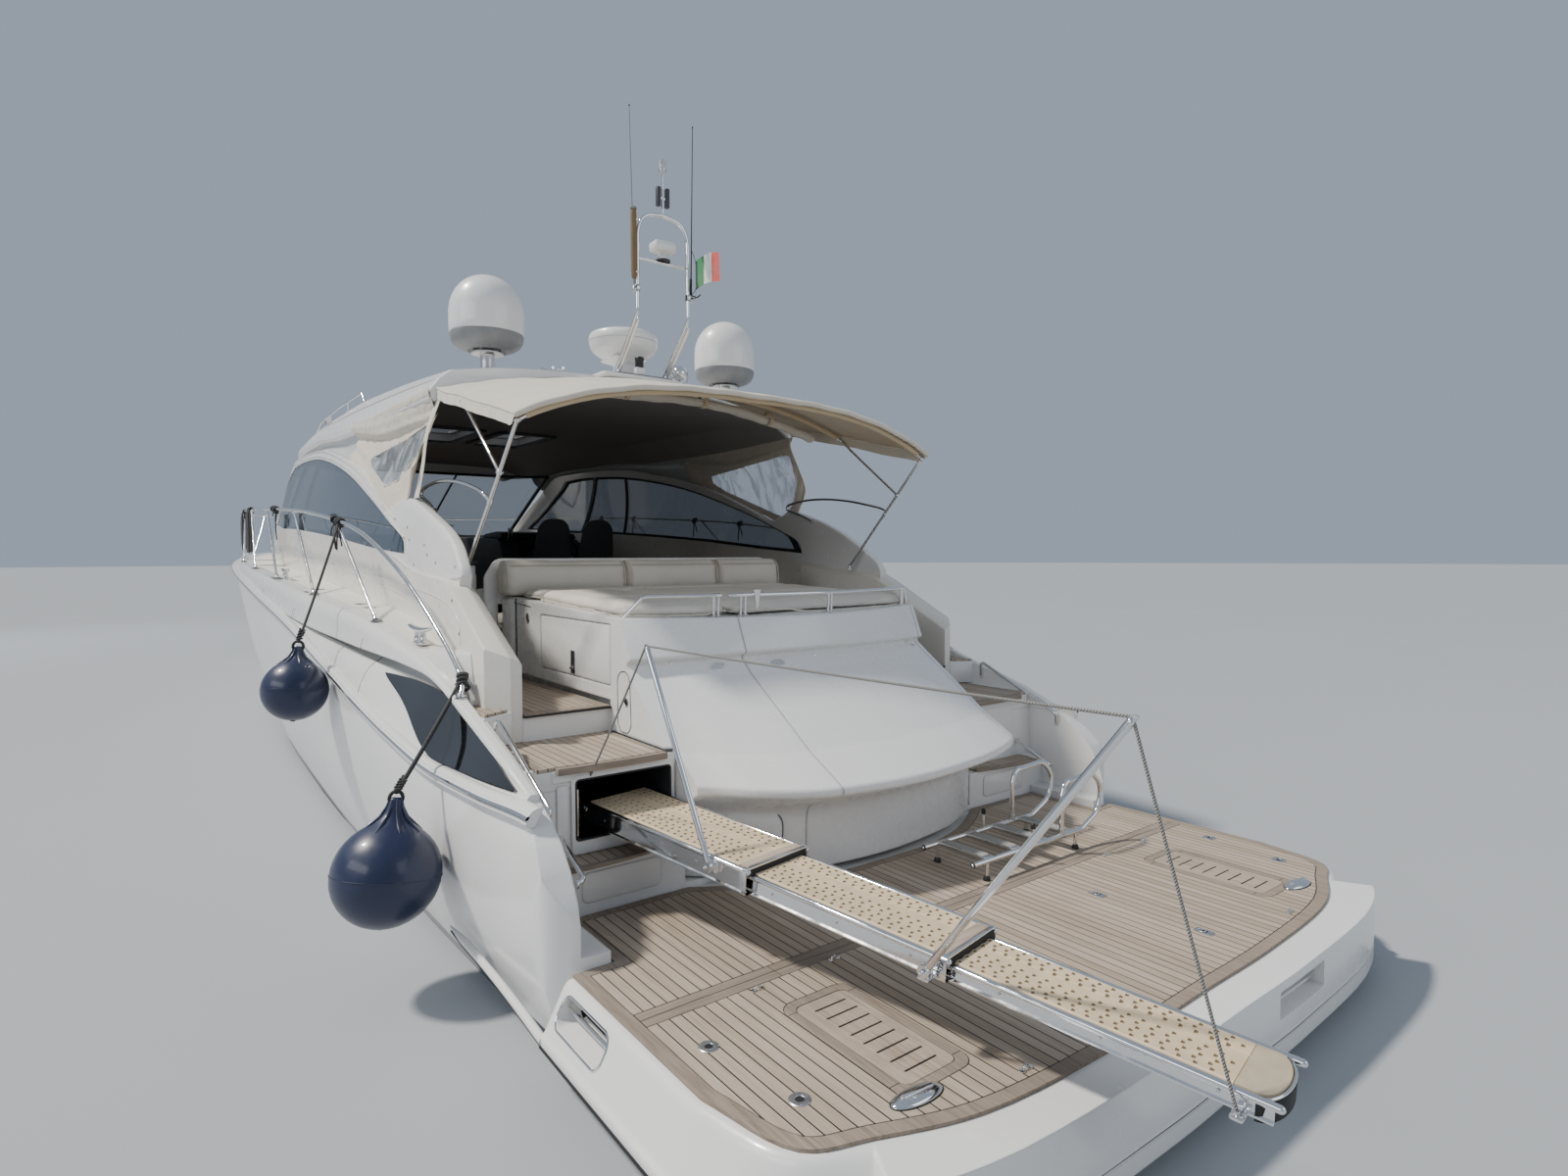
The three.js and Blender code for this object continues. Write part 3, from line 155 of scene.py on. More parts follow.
def fillet(pts, r, n=6, closed=True):
    """Round the corners of a polyline (2-D or 3-D). r is a number or one for each point."""
    P = [np.asarray(p, float) for p in pts]
    N = len(P)
    rs = [r] * N if np.isscalar(r) else list(r)
    out = []
    for i in range(N):
        if not closed and i in (0, N - 1):
            out.append(P[i])
            continue
        a, p, b = P[i - 1], P[i], P[(i + 1) % N]
        u, v = a - p, b - p
        lu, lv = np.linalg.norm(u), np.linalg.norm(v)
        if lu < 1e-9 or lv < 1e-9 or rs[i] <= 0:
            out.append(p)
            continue
        u, v = u / lu, v / lv
        c = np.clip(np.dot(u, v), -1, 1)
        ang = math.acos(c)
        if ang > pi - 0.02 or ang < 0.02:  # nearly straight: same count of points, spread along it
            t = 0.2 * min(rs[i], 0.4 * lu, 0.4 * lv)
            for k in range(n + 1):
                f = 2 * k / n - 1
                out.append(p + (u * -f if f < 0 else v * f) * t)
            continue
        t = min(rs[i] / math.tan(ang / 2), 0.48 * lu, 0.48 * lv)
        rr = t * math.tan(ang / 2)
        w = unit(u + v)
        cen = p + w * (rr / sin(ang / 2))
        s, e = unit(p + u * t - cen), unit(p + v * t - cen)
        om = math.acos(np.clip(np.dot(s, e), -1, 1))
        for k in range(n + 1):
            f = k / n
            q = (sin((1 - f) * om) * s + sin(f * om) * e) / sin(om) if om > 1e-6 else s
            out.append(cen + q * rr)
    return np.array(out)


def resample(P, n):
    P = np.asarray(P, float)
    d = np.r_[0, np.cumsum(np.linalg.norm(np.diff(P, axis=0), axis=1))]
    t = np.linspace(0, d[-1], n)
    return np.stack([np.interp(t, d, P[:, k]) for k in range(P.shape[1])], 1)


def inset2(poly, d):
    """Move every edge of a closed 2-D outline inwards (counter-clockwise outline) by d."""
    P = np.asarray(poly, float)
    a, b = np.roll(P, 1, 0), np.roll(P, -1, 0)
    u, v = P - a, b - P
    u /= np.maximum(np.linalg.norm(u, axis=1, keepdims=True), 1e-9)
    v /= np.maximum(np.linalg.norm(v, axis=1, keepdims=True), 1e-9)
    n1, n2 = np.stack([-u[:, 1], u[:, 0]], 1), np.stack([-v[:, 1], v[:, 0]], 1)
    m = n1 + n2
    m /= np.maximum(np.linalg.norm(m, axis=1, keepdims=True), 1e-9)
    k = d / np.maximum(0.35, (m * n1).sum(1))
    return P + m * k[:, None]


def ccw(poly):
    P = np.asarray(poly, float)
    area = (P[:, 0] * np.roll(P[:, 1], -1) - np.roll(P[:, 0], -1) * P[:, 1]).sum()
    return P if area > 0 else P[::-1]


# ------------------------------------------------------------------ shapes: each gives (vertices, faces)
def loft(rings, closed=True, cap0=True, cap1=True):
    R = np.asarray(rings, float)
    k, n = R.shape[:2]
    F = []
    m = n if closed else n - 1
    for a in range(k - 1):
        for i in range(m):
            j = (i + 1) % n
            F.append((a * n + i, a * n + j, (a + 1) * n + j, (a + 1) * n + i))
    if closed and cap0:
        F.append(tuple(range(n))[::-1])
    if closed and cap1:
        F.append(tuple((k - 1) * n + i for i in range(n)))
    return R.reshape(-1, 3), F


def grid(P):
    return loft(P, closed=False)


def shell(P, t, close_u=False):
    """A sheet given as a grid of points, thickened inwards by t (a closed body)."""
    P = np.asarray(P, float)
    du = np.gradient(P, axis=0)
    dv = np.gradient(P, axis=1)
    nrm = np.cross(du, dv)
    nrm /= np.maximum(np.linalg.norm(nrm, axis=2, keepdims=True), 1e-12)
    Q = P - nrm * t
    k, n = P.shape[:2]
    V = np.concatenate([P.reshape(-1, 3), Q.reshape(-1, 3)])
    o = k * n
    F = []
    for a in range(k - 1):
        for i in range(n - 1):
            q = (a * n + i, a * n + i + 1, (a + 1) * n + i + 1, (a + 1) * n + i)
            F.append(q)
            F.append(tuple(o + x for x in q[::-1]))
    for i in range(n - 1):
        F.append((i + 1, i, o + i, o + i + 1))
        b = (k - 1) * n
        F.append((b + i, b + i + 1, o + b + i + 1, o + b + i))
    for a in range(k - 1):
        F.append((a * n, (a + 1) * n, o + (a + 1) * n, o + a * n))
        c = n - 1
        F.append(((a + 1) * n + c, a * n + c, o + a * n + c, o + (a + 1) * n + c))
    return V, F


def tube(pts, r, n=12, closed=False, dome=False, flat=None):
    """Round tube along points. r is a number or one for each point. flat=(a, b) squashes the section."""
    P = np.asarray(pts, float)
    N = len(P)
    R = np.full(N, r, float) if np.isscalar(r) else np.asarray(r, float)
    T = np.zeros_like(P)
    if closed:
        T = np.roll(P, -1, 0) - np.roll(P, 1, 0)
    else:
        T[1:-1] = P[2:] - P[:-2]
        T[0], T[-1] = P[1] - P[0], P[-1] - P[-2]
        for i in range(1, N - 1):  # mitre by the bisector of the unit directions
            T[i] = unit(P[i] - P[i - 1]) + unit(P[i + 1] - P[i])
    T = np.array([unit(t) for t in T])
    u = unit(np.cross(T[0], [0, 0, 1] if abs(T[0][2]) < 0.9 else [1, 0, 0]))
    rings, ang = [], np.arange(n) * 2 * pi / n
    for i in range(N):
        u = unit(u - T[i] * np.dot(u, T[i]))
        v = np.cross(T[i], u)
        fa, fb = flat if flat else (1, 1)
        rings.append(P[i] + R[i] * (fa * np.cos(ang)[:, None] * u + fb * np.sin(ang)[:, None] * v))
    if dome and not closed:
        def capring(ring, c, d, rad):
            return [c + d * rad * sin(a) + (ring - c) * cos(a) for a in (pi / 2 * 0.34, pi / 2 * 0.67, pi / 2 * 0.93)]
        rings = capring(rings[0], P[0], -T[0], R[0])[::-1] + rings + capring(rings[-1], P[-1], T[-1], R[-1])
    if closed:
        rings.append(rings[0])
        V, F = loft(rings[:-1], cap0=False, cap1=False)
        k = N
        F += [((k - 1) * n + i, (k - 1) * n + (i + 1) % n, (i + 1) % n, i) for i in range(n)]
        return V, F
    return loft(rings)


def pipe(pts, r, bend=0.06, n=12, seg=6, dome=False):
    return tube(fillet(pts, bend, seg, closed=False), r, n, dome=dome)


def slab(outline, a, b, axis="z", r=0.004, seg=2, both=True):
    """Outline extruded from a to b along an axis, its rims rounded by r."""
    P = ccw(outline)
    lo, hi = min(a, b), max(a, b)
    r = min(r, (hi - lo) * 0.49)
    levels = []
    if r > 0:
        for k in range(seg + 1):
            t = pi / 2 * k / seg
            levels.append((lo + r * (1 - sin(t)), r * (1 - cos(t))))
        levels = [(z, d) for z, d in levels][::-1]
        levels = sorted(levels, key=lambda q: q[0])
        if not both:
            levels = [(lo, 0)]
        top = []
        for k in range(seg + 1):
            t = pi / 2 * k / seg
            top.append((hi - r * (1 - sin(t)), r * (1 - cos(t))))
        levels += sorted(top, key=lambda q: q[0])
    else:
        levels = [(lo, 0), (hi, 0)]
    rings = []
    for z, d in levels:
        Q = inset2(P, d) if d > 0 else P
        h = np.full(len(Q), z)
        if axis == "z":
            rings.append(np.stack([Q[:, 0], Q[:, 1], h], 1))
        elif axis == "y":
            rings.append(np.stack([Q[:, 0], h, Q[:, 1]], 1))
        else:
            rings.append(np.stack([h, Q[:, 0], Q[:, 1]], 1))
    return loft(rings)


def rrect(x0, x1, y0, y1, r, n=4):
    return fillet([(x0, y0), (x1, y0), (x1, y1), (x0, y1)], min(r, 0.49 * abs(x1 - x0), 0.49 * abs(y1 - y0)), n)


def rbox(x0, x1, y0, y1, z0, z1, r=0.01, rc=None, seg=2, axis="z"):
    rc = r if rc is None else rc
    if axis == "z":
        return slab(rrect(x0, x1, y0, y1, rc), z0, z1, "z", r, seg)
    if axis == "y":
        return slab(rrect(x0, x1, z0, z1, rc), y0, y1, "y", r, seg)
    return slab(rrect(y0, y1, z0, z1, rc), x0, x1, "x", r, seg)


def lathe(profile, n=32, at=(0, 0, 0), axis=(0, 0, 1)):
    """Profile of (radius, height) turned about an axis through at."""
    P = np.asarray(profile, float)
    ang = np.arange(n) * 2 * pi / n
    ax = unit(axis)
    u = unit(np.cross(ax, [1, 0, 0] if abs(ax[0]) < 0.9 else [0, 1, 0]))
    v = np.cross(ax, u)
    rings = [np.asarray(at) + ax * h + max(rr, 1e-5) * (np.cos(ang)[:, None] * u + np.sin(ang)[:, None] * v) for rr, h in P]
    return loft(rings)


def disc(at, axis, r, h, bevel=0.002, n=24):
    """A round button of height h standing on at."""
    b = min(bevel, h * 0.45, r * 0.45)
    return lathe([(0, 0), (r, 0), (r, h - b), (r - b * 0.3, h - b * 0.3), (r - b, h), (0, h)], n, at, axis)


def ball(at, r, n=24, m=14, sz=1.0):
    prof = [(r * sin(pi * k / m), -r * sz * cos(pi * k / m)) for k in range(m + 1)]
    return lathe(prof, n, at)


def moved(shape, M):
    V, F = shape
    M = np.array(M, float)
    return V @ M[:3, :3].T + M[:3, 3], F


def mirrored(shape):
    V, F = shape
    V = np.array(V, float)
    V[:, 1] *= -1
    return V, [f[::-1] for f in F]


def place(shape, at, x=(1, 0, 0), z=(0, 0, 1)):
    """Shape made about the origin, put at a point with its own X and Z turned to these directions."""
    z = unit(z)
    x = unit(np.asarray(x, float) - z * np.dot(x, z))
    y = np.cross(z, x)
    V, F = shape
    return np.asarray(V) @ np.array([x, y, z]) + np.asarray(at, float), F


class Part:
    """Shapes with their materials, gathered in one object."""

    def __init__(self, name, body="yacht", replaces=(), slot=None, sharp=32):
        self.name, self.body, self.rep, self.slot, self.sharp = name, body, replaces, slot, sharp
        self.V, self.F, self.M, self.mats, self.n = [], [], [], [], 0

    def add(self, shape, mat, flip=None):
        V, F = shape
        V = np.asarray(V, float)
        if mat not in self.mats:
            self.mats.append(mat)
        k = self.mats.index(mat)
        self.V.append(V)
        self.F += [tuple(int(i) + self.n for i in f) for f in F]
        self.M += [k] * len(F)
        self.n += len(V)
        return self

    def both(self, shape, mat):
        self.add(shape, mat)
        return self.add(mirrored(shape), mat)

    def done(self, recalc=True):
        me = bpy.data.meshes.new(self.name)
        me.from_pydata(np.concatenate(self.V).tolist(), [], self.F)
        for m in self.mats:
            me.materials.append(m)
        me.polygons.foreach_set("material_index", self.M)
        if recalc:
            bm = bmesh.new()
            bm.from_mesh(me)
            bmesh.ops.recalc_face_normals(bm, faces=bm.faces)
            bm.to_mesh(me)
            bm.free()
        me.shade_smooth()
        me.set_sharp_from_angle(angle=math.radians(self.sharp))
        me.update()
        o = bpy.data.objects.new(self.name, me)
        scene.collection.objects.link(o)
        if self.body:
            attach(o, self.body)
        if self.rep:
            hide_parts(*self.rep)
        self.obj = o
        return o


def tmp_obj(name, shape):
    me = bpy.data.meshes.new(name)
    me.from_pydata(np.asarray(shape[0]).tolist(), [], [tuple(f) for f in shape[1]])
    bm = bmesh.new()
    bm.from_mesh(me)
    bmesh.ops.recalc_face_normals(bm, faces=bm.faces)
    bm.to_mesh(me)
    bm.free()
    o = bpy.data.objects.new(name, me)
    scene.collection.objects.link(o)
    return o


def boolean(shape, cutters, op="DIFFERENCE"):
    """Exact boolean of a closed shape with several closed cutters; gives (vertices, faces)."""
    o = tmp_obj("boolean_a", shape)
    tmp = [o]
    for c in cutters:
        b = tmp_obj("boolean_b", c)
        tmp.append(b)
        m = o.modifiers.new("b", "BOOLEAN")
        m.operation, m.solver, m.object = op, "EXACT", b
    dg = bpy.context.evaluated_depsgraph_get()
    me = bpy.data.meshes.new_from_object(o.evaluated_get(dg))
    V = np.array([v.co for v in me.vertices], float).reshape(-1, 3)
    F = [tuple(p.vertices) for p in me.polygons]
    bpy.data.meshes.remove(me)
    for t in tmp:
        d = t.data
        bpy.data.objects.remove(t)
        bpy.data.meshes.remove(d)
    return V, F


def cbox(x0, x1, y0, y1, z0, z1):
    return loft([[(x0, y0, z0), (x1, y0, z0), (x1, y1, z0), (x0, y1, z0)], [(x0, y0, z1), (x1, y0, z1), (x1, y1, z1), (x0, y1, z1)]])


# ------------------------------------------------------------------ materials
class Nodes:
    """Short hand for building a node tree."""

    def __init__(self, name):
        self.mat = bpy.data.materials.new(name)
        self.mat.use_nodes = True
        self.t = self.mat.node_tree
        self.b = self.t.nodes["Principled BSDF"]
        self.co = self.new("ShaderNodeTexCoord").outputs["Object"]

    def new(self, kind, **props):
        n = self.t.nodes.new(kind)
        for k, v in props.items():
            setattr(n, k, v)
        return n

    def put(self, sock, v):
        if hasattr(v, "is_output") or isinstance(v, bpy.types.NodeSocket):
            self.t.links.new(v, sock)
        elif v is not None:
            sock.default_value = v

    def math(self, op, a, b=None, clamp=False):
        n = self.new("ShaderNodeMath", operation=op, use_clamp=clamp)
        self.put(n.inputs[0], a)
        if b is not None:
            self.put(n.inputs[1], b)
        return n.outputs[0]

    def mapped(self, scale=(1, 1, 1), rot=(0, 0, 0), loc=(0, 0, 0)):
        n = self.new("ShaderNodeMapping")
        n.inputs["Scale"].default_value = scale
        n.inputs["Rotation"].default_value = rot
        n.inputs["Location"].default_value = loc
        self.t.links.new(self.co, n.inputs["Vector"])
        return n.outputs[0]

    def noise(self, scale, detail=2.0, rough=0.5, vec=None, dist=0.0):
        n = self.new("ShaderNodeTexNoise")
        n.inputs["Scale"].default_value = scale
        n.inputs["Detail"].default_value = detail
        n.inputs["Roughness"].default_value = rough
        n.inputs["Distortion"].default_value = dist
        self.t.links.new(vec if vec is not None else self.co, n.inputs["Vector"])
        return n.outputs["Fac"]

    def voronoi(self, scale, feature="F1", vec=None):
        n = self.new("ShaderNodeTexVoronoi", feature=feature)
        n.inputs["Scale"].default_value = scale
        self.t.links.new(vec if vec is not None else self.co, n.inputs["Vector"])
        return n.outputs["Distance"]

    def ramp(self, fac, stops):
        n = self.new("ShaderNodeValToRGB")
        e = n.color_ramp.elements
        while len(e) > 1:
            e.remove(e[-1])
        e[0].position, e[0].color = stops[0][0], (*stops[0][1], 1) if len(stops[0][1]) == 3 else stops[0][1]
        for p, c in stops[1:]:
            k = e.new(p)
            k.color = (*c, 1) if len(c) == 3 else c
        self.t.links.new(fac, n.inputs[0])
        return n.outputs["Color"]

    def remap(self, v, a, b, c, d):
        n = self.new("ShaderNodeMapRange")
        self.put(n.inputs["Value"], v)
        for k, x in (("From Min", a), ("From Max", b), ("To Min", c), ("To Max", d)):
            n.inputs[k].default_value = x
        return n.outputs[0]

    def mix(self, fac, a, b, mode="MIX"):
        n = self.new("ShaderNodeMix", data_type="RGBA", blend_type=mode)
        self.put(n.inputs[0], fac)
        for s, v in ((n.inputs[6], a), (n.inputs[7], b)):
            if isinstance(v, tuple):
                s.default_value = (*v, 1) if len(v) == 3 else v
            else:
                self.t.links.new(v, s)
        return n.outputs[2]

    def sep(self, vec=None):
        n = self.new("ShaderNodeSeparateXYZ")
        self.t.links.new(vec if vec is not None else self.co, n.inputs[0])
        return n.outputs

    def bump(self, height, strength, distance=0.001, normal=None):
        n = self.new("ShaderNodeBump")
        n.inputs["Strength"].default_value = strength
        n.inputs["Distance"].default_value = distance
        self.t.links.new(height, n.inputs["Height"])
        if normal is not None:
            self.t.links.new(normal, n.inputs["Normal"])
        return n.outputs[0]

    def round_edges(self, radius, samples=4):
        n = self.new("ShaderNodeBevel", samples=samples)
        n.inputs["Radius"].default_value = radius
        return n.outputs[0]

    def set(self, **kw):
        for k, v in kw.items():
            key = {"color": "Base Color", "rough": "Roughness", "metal": "Metallic", "coat": "Coat Weight", "coat_rough": "Coat Roughness", "sheen": "Sheen Weight", "sheen_rough": "Sheen Roughness",
                   "alpha": "Alpha", "normal": "Normal", "spec": "Specular IOR Level", "ior": "IOR", "trans": "Transmission Weight", "sss": "Subsurface Weight", "aniso": "Anisotropic"}.get(k, k)
            s = self.b.inputs[key]
            if isinstance(v, tuple) and len(v) == 3 and key == "Base Color":
                v = (*v, 1)
            self.put(s, v)
        return self.mat


def gelcoat(name, base=(0.80, 0.79, 0.765), rough=0.2, edge=0.012, grime=0.5):
    n = Nodes(name)
    big, mid = n.noise(0.9, 3, 0.55), n.noise(14, 3, 0.6)
    dirt = n.ramp(n.noise(3.1, 6, 0.66, n.mapped((1, 1, 0.45))), [(0.40, (0, 0, 0)), (0.74, (1, 1, 1))])
    c = n.mix(n.remap(big, 0.35, 0.65, 0, 1), tuple(x * 0.975 for x in base), tuple(min(1, x * 1.02) for x in base))
    c = n.mix(n.math("MULTIPLY", dirt, 0.13 * grime), c, (0.62, 0.585, 0.52))
    r = n.remap(mid, 0.3, 0.7, rough - 0.05, rough + 0.09)
    nb = n.round_edges(edge) if edge else None
    return n.set(color=c, rough=r, coat=0.35, coat_rough=0.06, spec=0.5, normal=n.bump(n.noise(55, 2), 0.035, 0.001, nb))


def antifouled(name):
    """White topsides, a dark boot top at the waterline and antifouling below."""
    n = Nodes(name)
    z = n.sep()[2]
    big, mid = n.noise(0.9, 3, 0.55), n.noise(14, 3, 0.6)
    white = n.mix(n.remap(big, 0.35, 0.65, 0, 1), (0.775, 0.765, 0.74), (0.82, 0.81, 0.79))
    streak = n.ramp(n.noise(2.4, 6, 0.7, n.mapped((1.6, 1.6, 0.12))), [(0.50, (0, 0, 0)), (0.78, (1, 1, 1))])
    low = n.remap(z, 0.75, 0.0, 0, 1)
    white = n.mix(n.math("MULTIPLY", n.math("MULTIPLY", streak, low), 0.42), white, (0.50, 0.47, 0.40))
    wl = n.math("ADD", z, n.math("MULTIPLY", n.math("SUBTRACT", n.noise(5, 3), 0.5), 0.006))
    boot = n.mix(n.remap(n.noise(3, 6, 0.7), 0.35, 0.7, 0, 1), (0.012, 0.016, 0.028), (0.045, 0.055, 0.062))
    c = n.mix(n.remap(wl, 0.088, 0.094, 1, 0), white, boot)
    c = n.mix(n.remap(wl, 0.006, -0.012, 0, 1), c, n.mix(n.remap(n.noise(22, 6, 0.75), 0.35, 0.65, 0, 1), (0.010, 0.014, 0.03), (0.03, 0.036, 0.05)))
    r = n.remap(wl, -0.01, 0.02, 0.72, 0.2)
    return n.set(color=c, rough=r, coat=0.3, coat_rough=0.07, normal=n.bump(n.noise(40, 3), 0.05, 0.001, n.round_edges(0.012)))


def teak(name, along="x", pitch=0.05, shift=0.0, caulk=0.0052, tone=1.0, cross=None, edge=0.004):
    """Bleached planks with black caulking between them. cross gives butts every so many metres."""
    n = Nodes(name)
    s = n.sep()
    u, v = (s[0], s[1]) if along == "x" else (s[1], s[0])
    w = n.math("DIVIDE", n.math("ADD", v, shift), pitch)
    fr = n.math("FRACT", w)
    pid = n.math("FLOOR", w)
    d = n.math("MULTIPLY", n.math("SUBTRACT", 0.5, n.math("ABSOLUTE", n.math("SUBTRACT", fr, 0.5))), pitch)
    seam = n.remap(d, caulk / 2 + 0.0006, caulk / 2 - 0.0006, 0, 1)
    if cross:
        stagger = n.math("ADD", n.math("DIVIDE", u, cross), n.math("MULTIPLY", pid, 0.37))
        f2 = n.math("FRACT", stagger)
        d2 = n.math("MULTIPLY", n.math("SUBTRACT", 0.5, n.math("ABSOLUTE", n.math("SUBTRACT", f2, 0.5))), cross)
        seam = n.math("MAXIMUM", seam, n.remap(d2, caulk / 2 + 0.0006, caulk / 2 - 0.0006, 0, 1))
        pid = n.math("ADD", pid, n.math("MULTIPLY", n.math("FLOOR", stagger), 17.31))
    wn = n.new("ShaderNodeTexWhiteNoise", noise_dimensions="1D")
    n.t.links.new(pid, wn.inputs["W"])
    rnd = wn.outputs["Value"]
    sc = (3.5, 60, 60) if along == "x" else (60, 3.5, 60)
    off = n.new("ShaderNodeCombineXYZ")
    n.t.links.new(n.math("MULTIPLY", rnd, 31.0), off.inputs[0])
    add = n.new("ShaderNodeVectorMath", operation="ADD")
    n.t.links.new(n.mapped(sc), add.inputs[0])
    n.t.links.new(off.outputs[0], add.inputs[1])
    grain = n.noise(1.0, 5, 0.62, add.outputs[0], 0.3)
    fine = n.noise(2.6, 3, 0.6, add.outputs[0])
    c = n.ramp(grain, [(0.28, (0.27 * tone, 0.205 * tone, 0.148 * tone)), (0.48, (0.445 * tone, 0.36 * tone, 0.275 * tone)), (0.72, (0.60 * tone, 0.505 * tone, 0.405 * tone))])
    c = n.mix(0.55, c, n.ramp(rnd, [(0.0, (0.385 * tone, 0.305 * tone, 0.225 * tone)), (0.5, (0.49 * tone, 0.40 * tone, 0.31 * tone)), (1.0, (0.585 * tone, 0.495 * tone, 0.40 * tone))]))
    stain = n.ramp(n.noise(2.2, 5, 0.6), [(0.42, (0, 0, 0)), (0.72, (1, 1, 1))])
    c = n.mix(n.math("MULTIPLY", stain, 0.22), c, (0.28 * tone, 0.225 * tone, 0.175 * tone))
    c = n.mix(seam, c, (0.013, 0.012, 0.011))
    h = n.math("SUBTRACT", n.math("MULTIPLY", fine, 0.35), seam)
    return n.set(color=c, rough=n.remap(seam, 0, 1, 0.72, 0.5), spec=0.35, normal=n.bump(h, 0.55, 0.0012, n.round_edges(edge, 3) if edge else None))


def plain_teak(name, tone=0.72, along="x"):
    """Margin boards: one board, no seams."""
    n = Nodes(name)
    sc = (3.5, 60, 60) if along == "x" else (60, 3.5, 60)
    grain = n.noise(1.0, 5, 0.62, n.mapped(sc), 0.3)
    c = n.ramp(grain, [(0.28, (0.23 * tone, 0.175 * tone, 0.13 * tone)), (0.5, (0.39 * tone, 0.315 * tone, 0.245 * tone)), (0.74, (0.52 * tone, 0.435 * tone, 0.35 * tone))])
    c = n.mix(n.remap(n.noise(1.7, 3), 0.35, 0.65, 0.0, 0.45), c, (0.27 * tone, 0.225 * tone, 0.18 * tone))
    return n.set(color=c, rough=0.72, spec=0.35, normal=n.bump(grain, 0.35, 0.0012, n.round_edges(0.004, 3)))


def steel(name, base=(0.80, 0.80, 0.80), rough=0.09, scale=1.0):
    n = Nodes(name)
    smear = n.noise(9, 5, 0.65)
    r = n.remap(smear, 0.3, 0.75, rough * 0.6, rough * 2.0)
    c = n.mix(n.remap(n.noise(30, 4), 0.3, 0.75, 0, 0.25), base, (base[0] * 0.8, base[1] * 0.79, base[2] * 0.76))
    return n.set(color=c, rough=r, metal=1.0, normal=n.bump(n.noise(260 * scale, 2, 0.5, n.mapped((1, 1, 0.2))), 0.02, 0.0004))


def fabric(name, base, weave=0.0016, rough=0.88, sheen=0.25, dirt=0.2, folds=0.0):
    n = Nodes(name)
    wx = n.new("ShaderNodeTexWave", wave_type="BANDS", bands_direction="X")
    wy = n.new("ShaderNodeTexWave", wave_type="BANDS", bands_direction="Y")
    wz = n.new("ShaderNodeTexWave", wave_type="BANDS", bands_direction="Z")
    for w in (wx, wy, wz):
        w.inputs["Scale"].default_value = 0.314 / weave
        n.t.links.new(n.co, w.inputs["Vector"])
    weav = n.math("ADD", n.math("ADD", wx.outputs["Fac"], wy.outputs["Fac"]), wz.outputs["Fac"])
    big = n.noise(1.6, 4, 0.6)
    c = n.mix(n.remap(big, 0.3, 0.7, 0, 1), tuple(x * 0.93 for x in base), tuple(min(1, x * 1.04) for x in base))
    spots = n.ramp(n.noise(5.5, 6, 0.68), [(0.52, (0, 0, 0)), (0.80, (1, 1, 1))])
    c = n.mix(n.math("MULTIPLY", spots, dirt), c, tuple(x * 0.55 for x in base))
    c = n.mix(n.remap(weav, 0.6, 2.4, 0.16, 0.0), c, tuple(x * 0.6 for x in base))
    h = n.math("MULTIPLY", weav, 0.35)
    nb = n.bump(h, 0.35, 0.0007)
    if folds:
        nb = n.bump(n.noise(7, 3, 0.55, n.mapped((1.0, 0.55, 1.0)), 0.9), folds, 0.02, nb)
    return n.set(color=c, rough=rough, sheen=sheen, sheen_rough=0.5, spec=0.2, normal=nb)


def leather(name, base, rough=0.52, scale=240, grain=0.25, creases=0.12):
    n = Nodes(name)
    cell = n.voronoi(scale, "DISTANCE_TO_EDGE")
    pores = n.remap(cell, 0.0, 0.25, 0, 1)
    big = n.noise(2.4, 4, 0.6)
    c = n.mix(n.remap(big, 0.3, 0.7, 0, 1), tuple(x * 0.93 for x in base), tuple(min(1, x * 1.04) for x in base))
    soil = n.ramp(n.noise(6.5, 5, 0.62), [(0.5, (0, 0, 0)), (0.8, (1, 1, 1))])
    c = n.mix(n.math("MULTIPLY", soil, 0.12), c, tuple(x * 0.62 for x in base))
    nb = n.bump(n.noise(9, 4, 0.6, None, 1.2), creases, 0.012)
    return n.set(color=c, rough=n.remap(big, 0.3, 0.7, rough - 0.06, rough + 0.08), spec=0.4, normal=n.bump(pores, grain, 0.0004, nb))


def plastic(name, base, rough=0.4, bump=0.06, scale=220, coat=0.0, edge=0.0):
    n = Nodes(name)
    mid = n.noise(12, 4, 0.6)
    c = n.mix(n.remap(mid, 0.3, 0.7, 0, 1), tuple(x * 0.9 for x in base), tuple(min(1, x * 1.08) for x in base))
    return n.set(color=c, rough=n.remap(mid, 0.3, 0.7, rough - 0.05, rough + 0.07), coat=coat, normal=n.bump(n.noise(scale, 2), bump, 0.0006, n.round_edges(edge, 3) if edge else None))


def glass(name, base, alpha, rough=0.04):
    n = Nodes(name)
    f = n.noise(2.2, 3)
    c = n.mix(n.remap(f, 0.35, 0.65, 0, 1), base, tuple(x * 1.25 for x in base))
    return n.set(color=c, rough=n.remap(n.noise(7, 4), 0.3, 0.7, rough * 0.6, rough * 1.8), alpha=alpha, spec=0.9, coat=0.6, coat_rough=0.02)


def vinyl_clear(name):
    n = Nodes(name)
    fold = n.noise(3.2, 4, 0.6, n.mapped((1.6, 1, 0.5), (0, 0.5, 0)), 1.6)
    a = n.remap(fold, 0.42, 0.62, 0.16, 0.46)
    return n.set(color=(0.74, 0.80, 0.84), rough=0.08, alpha=a, spec=0.9, coat=0.5, normal=n.bump(fold, 0.7, 0.05))


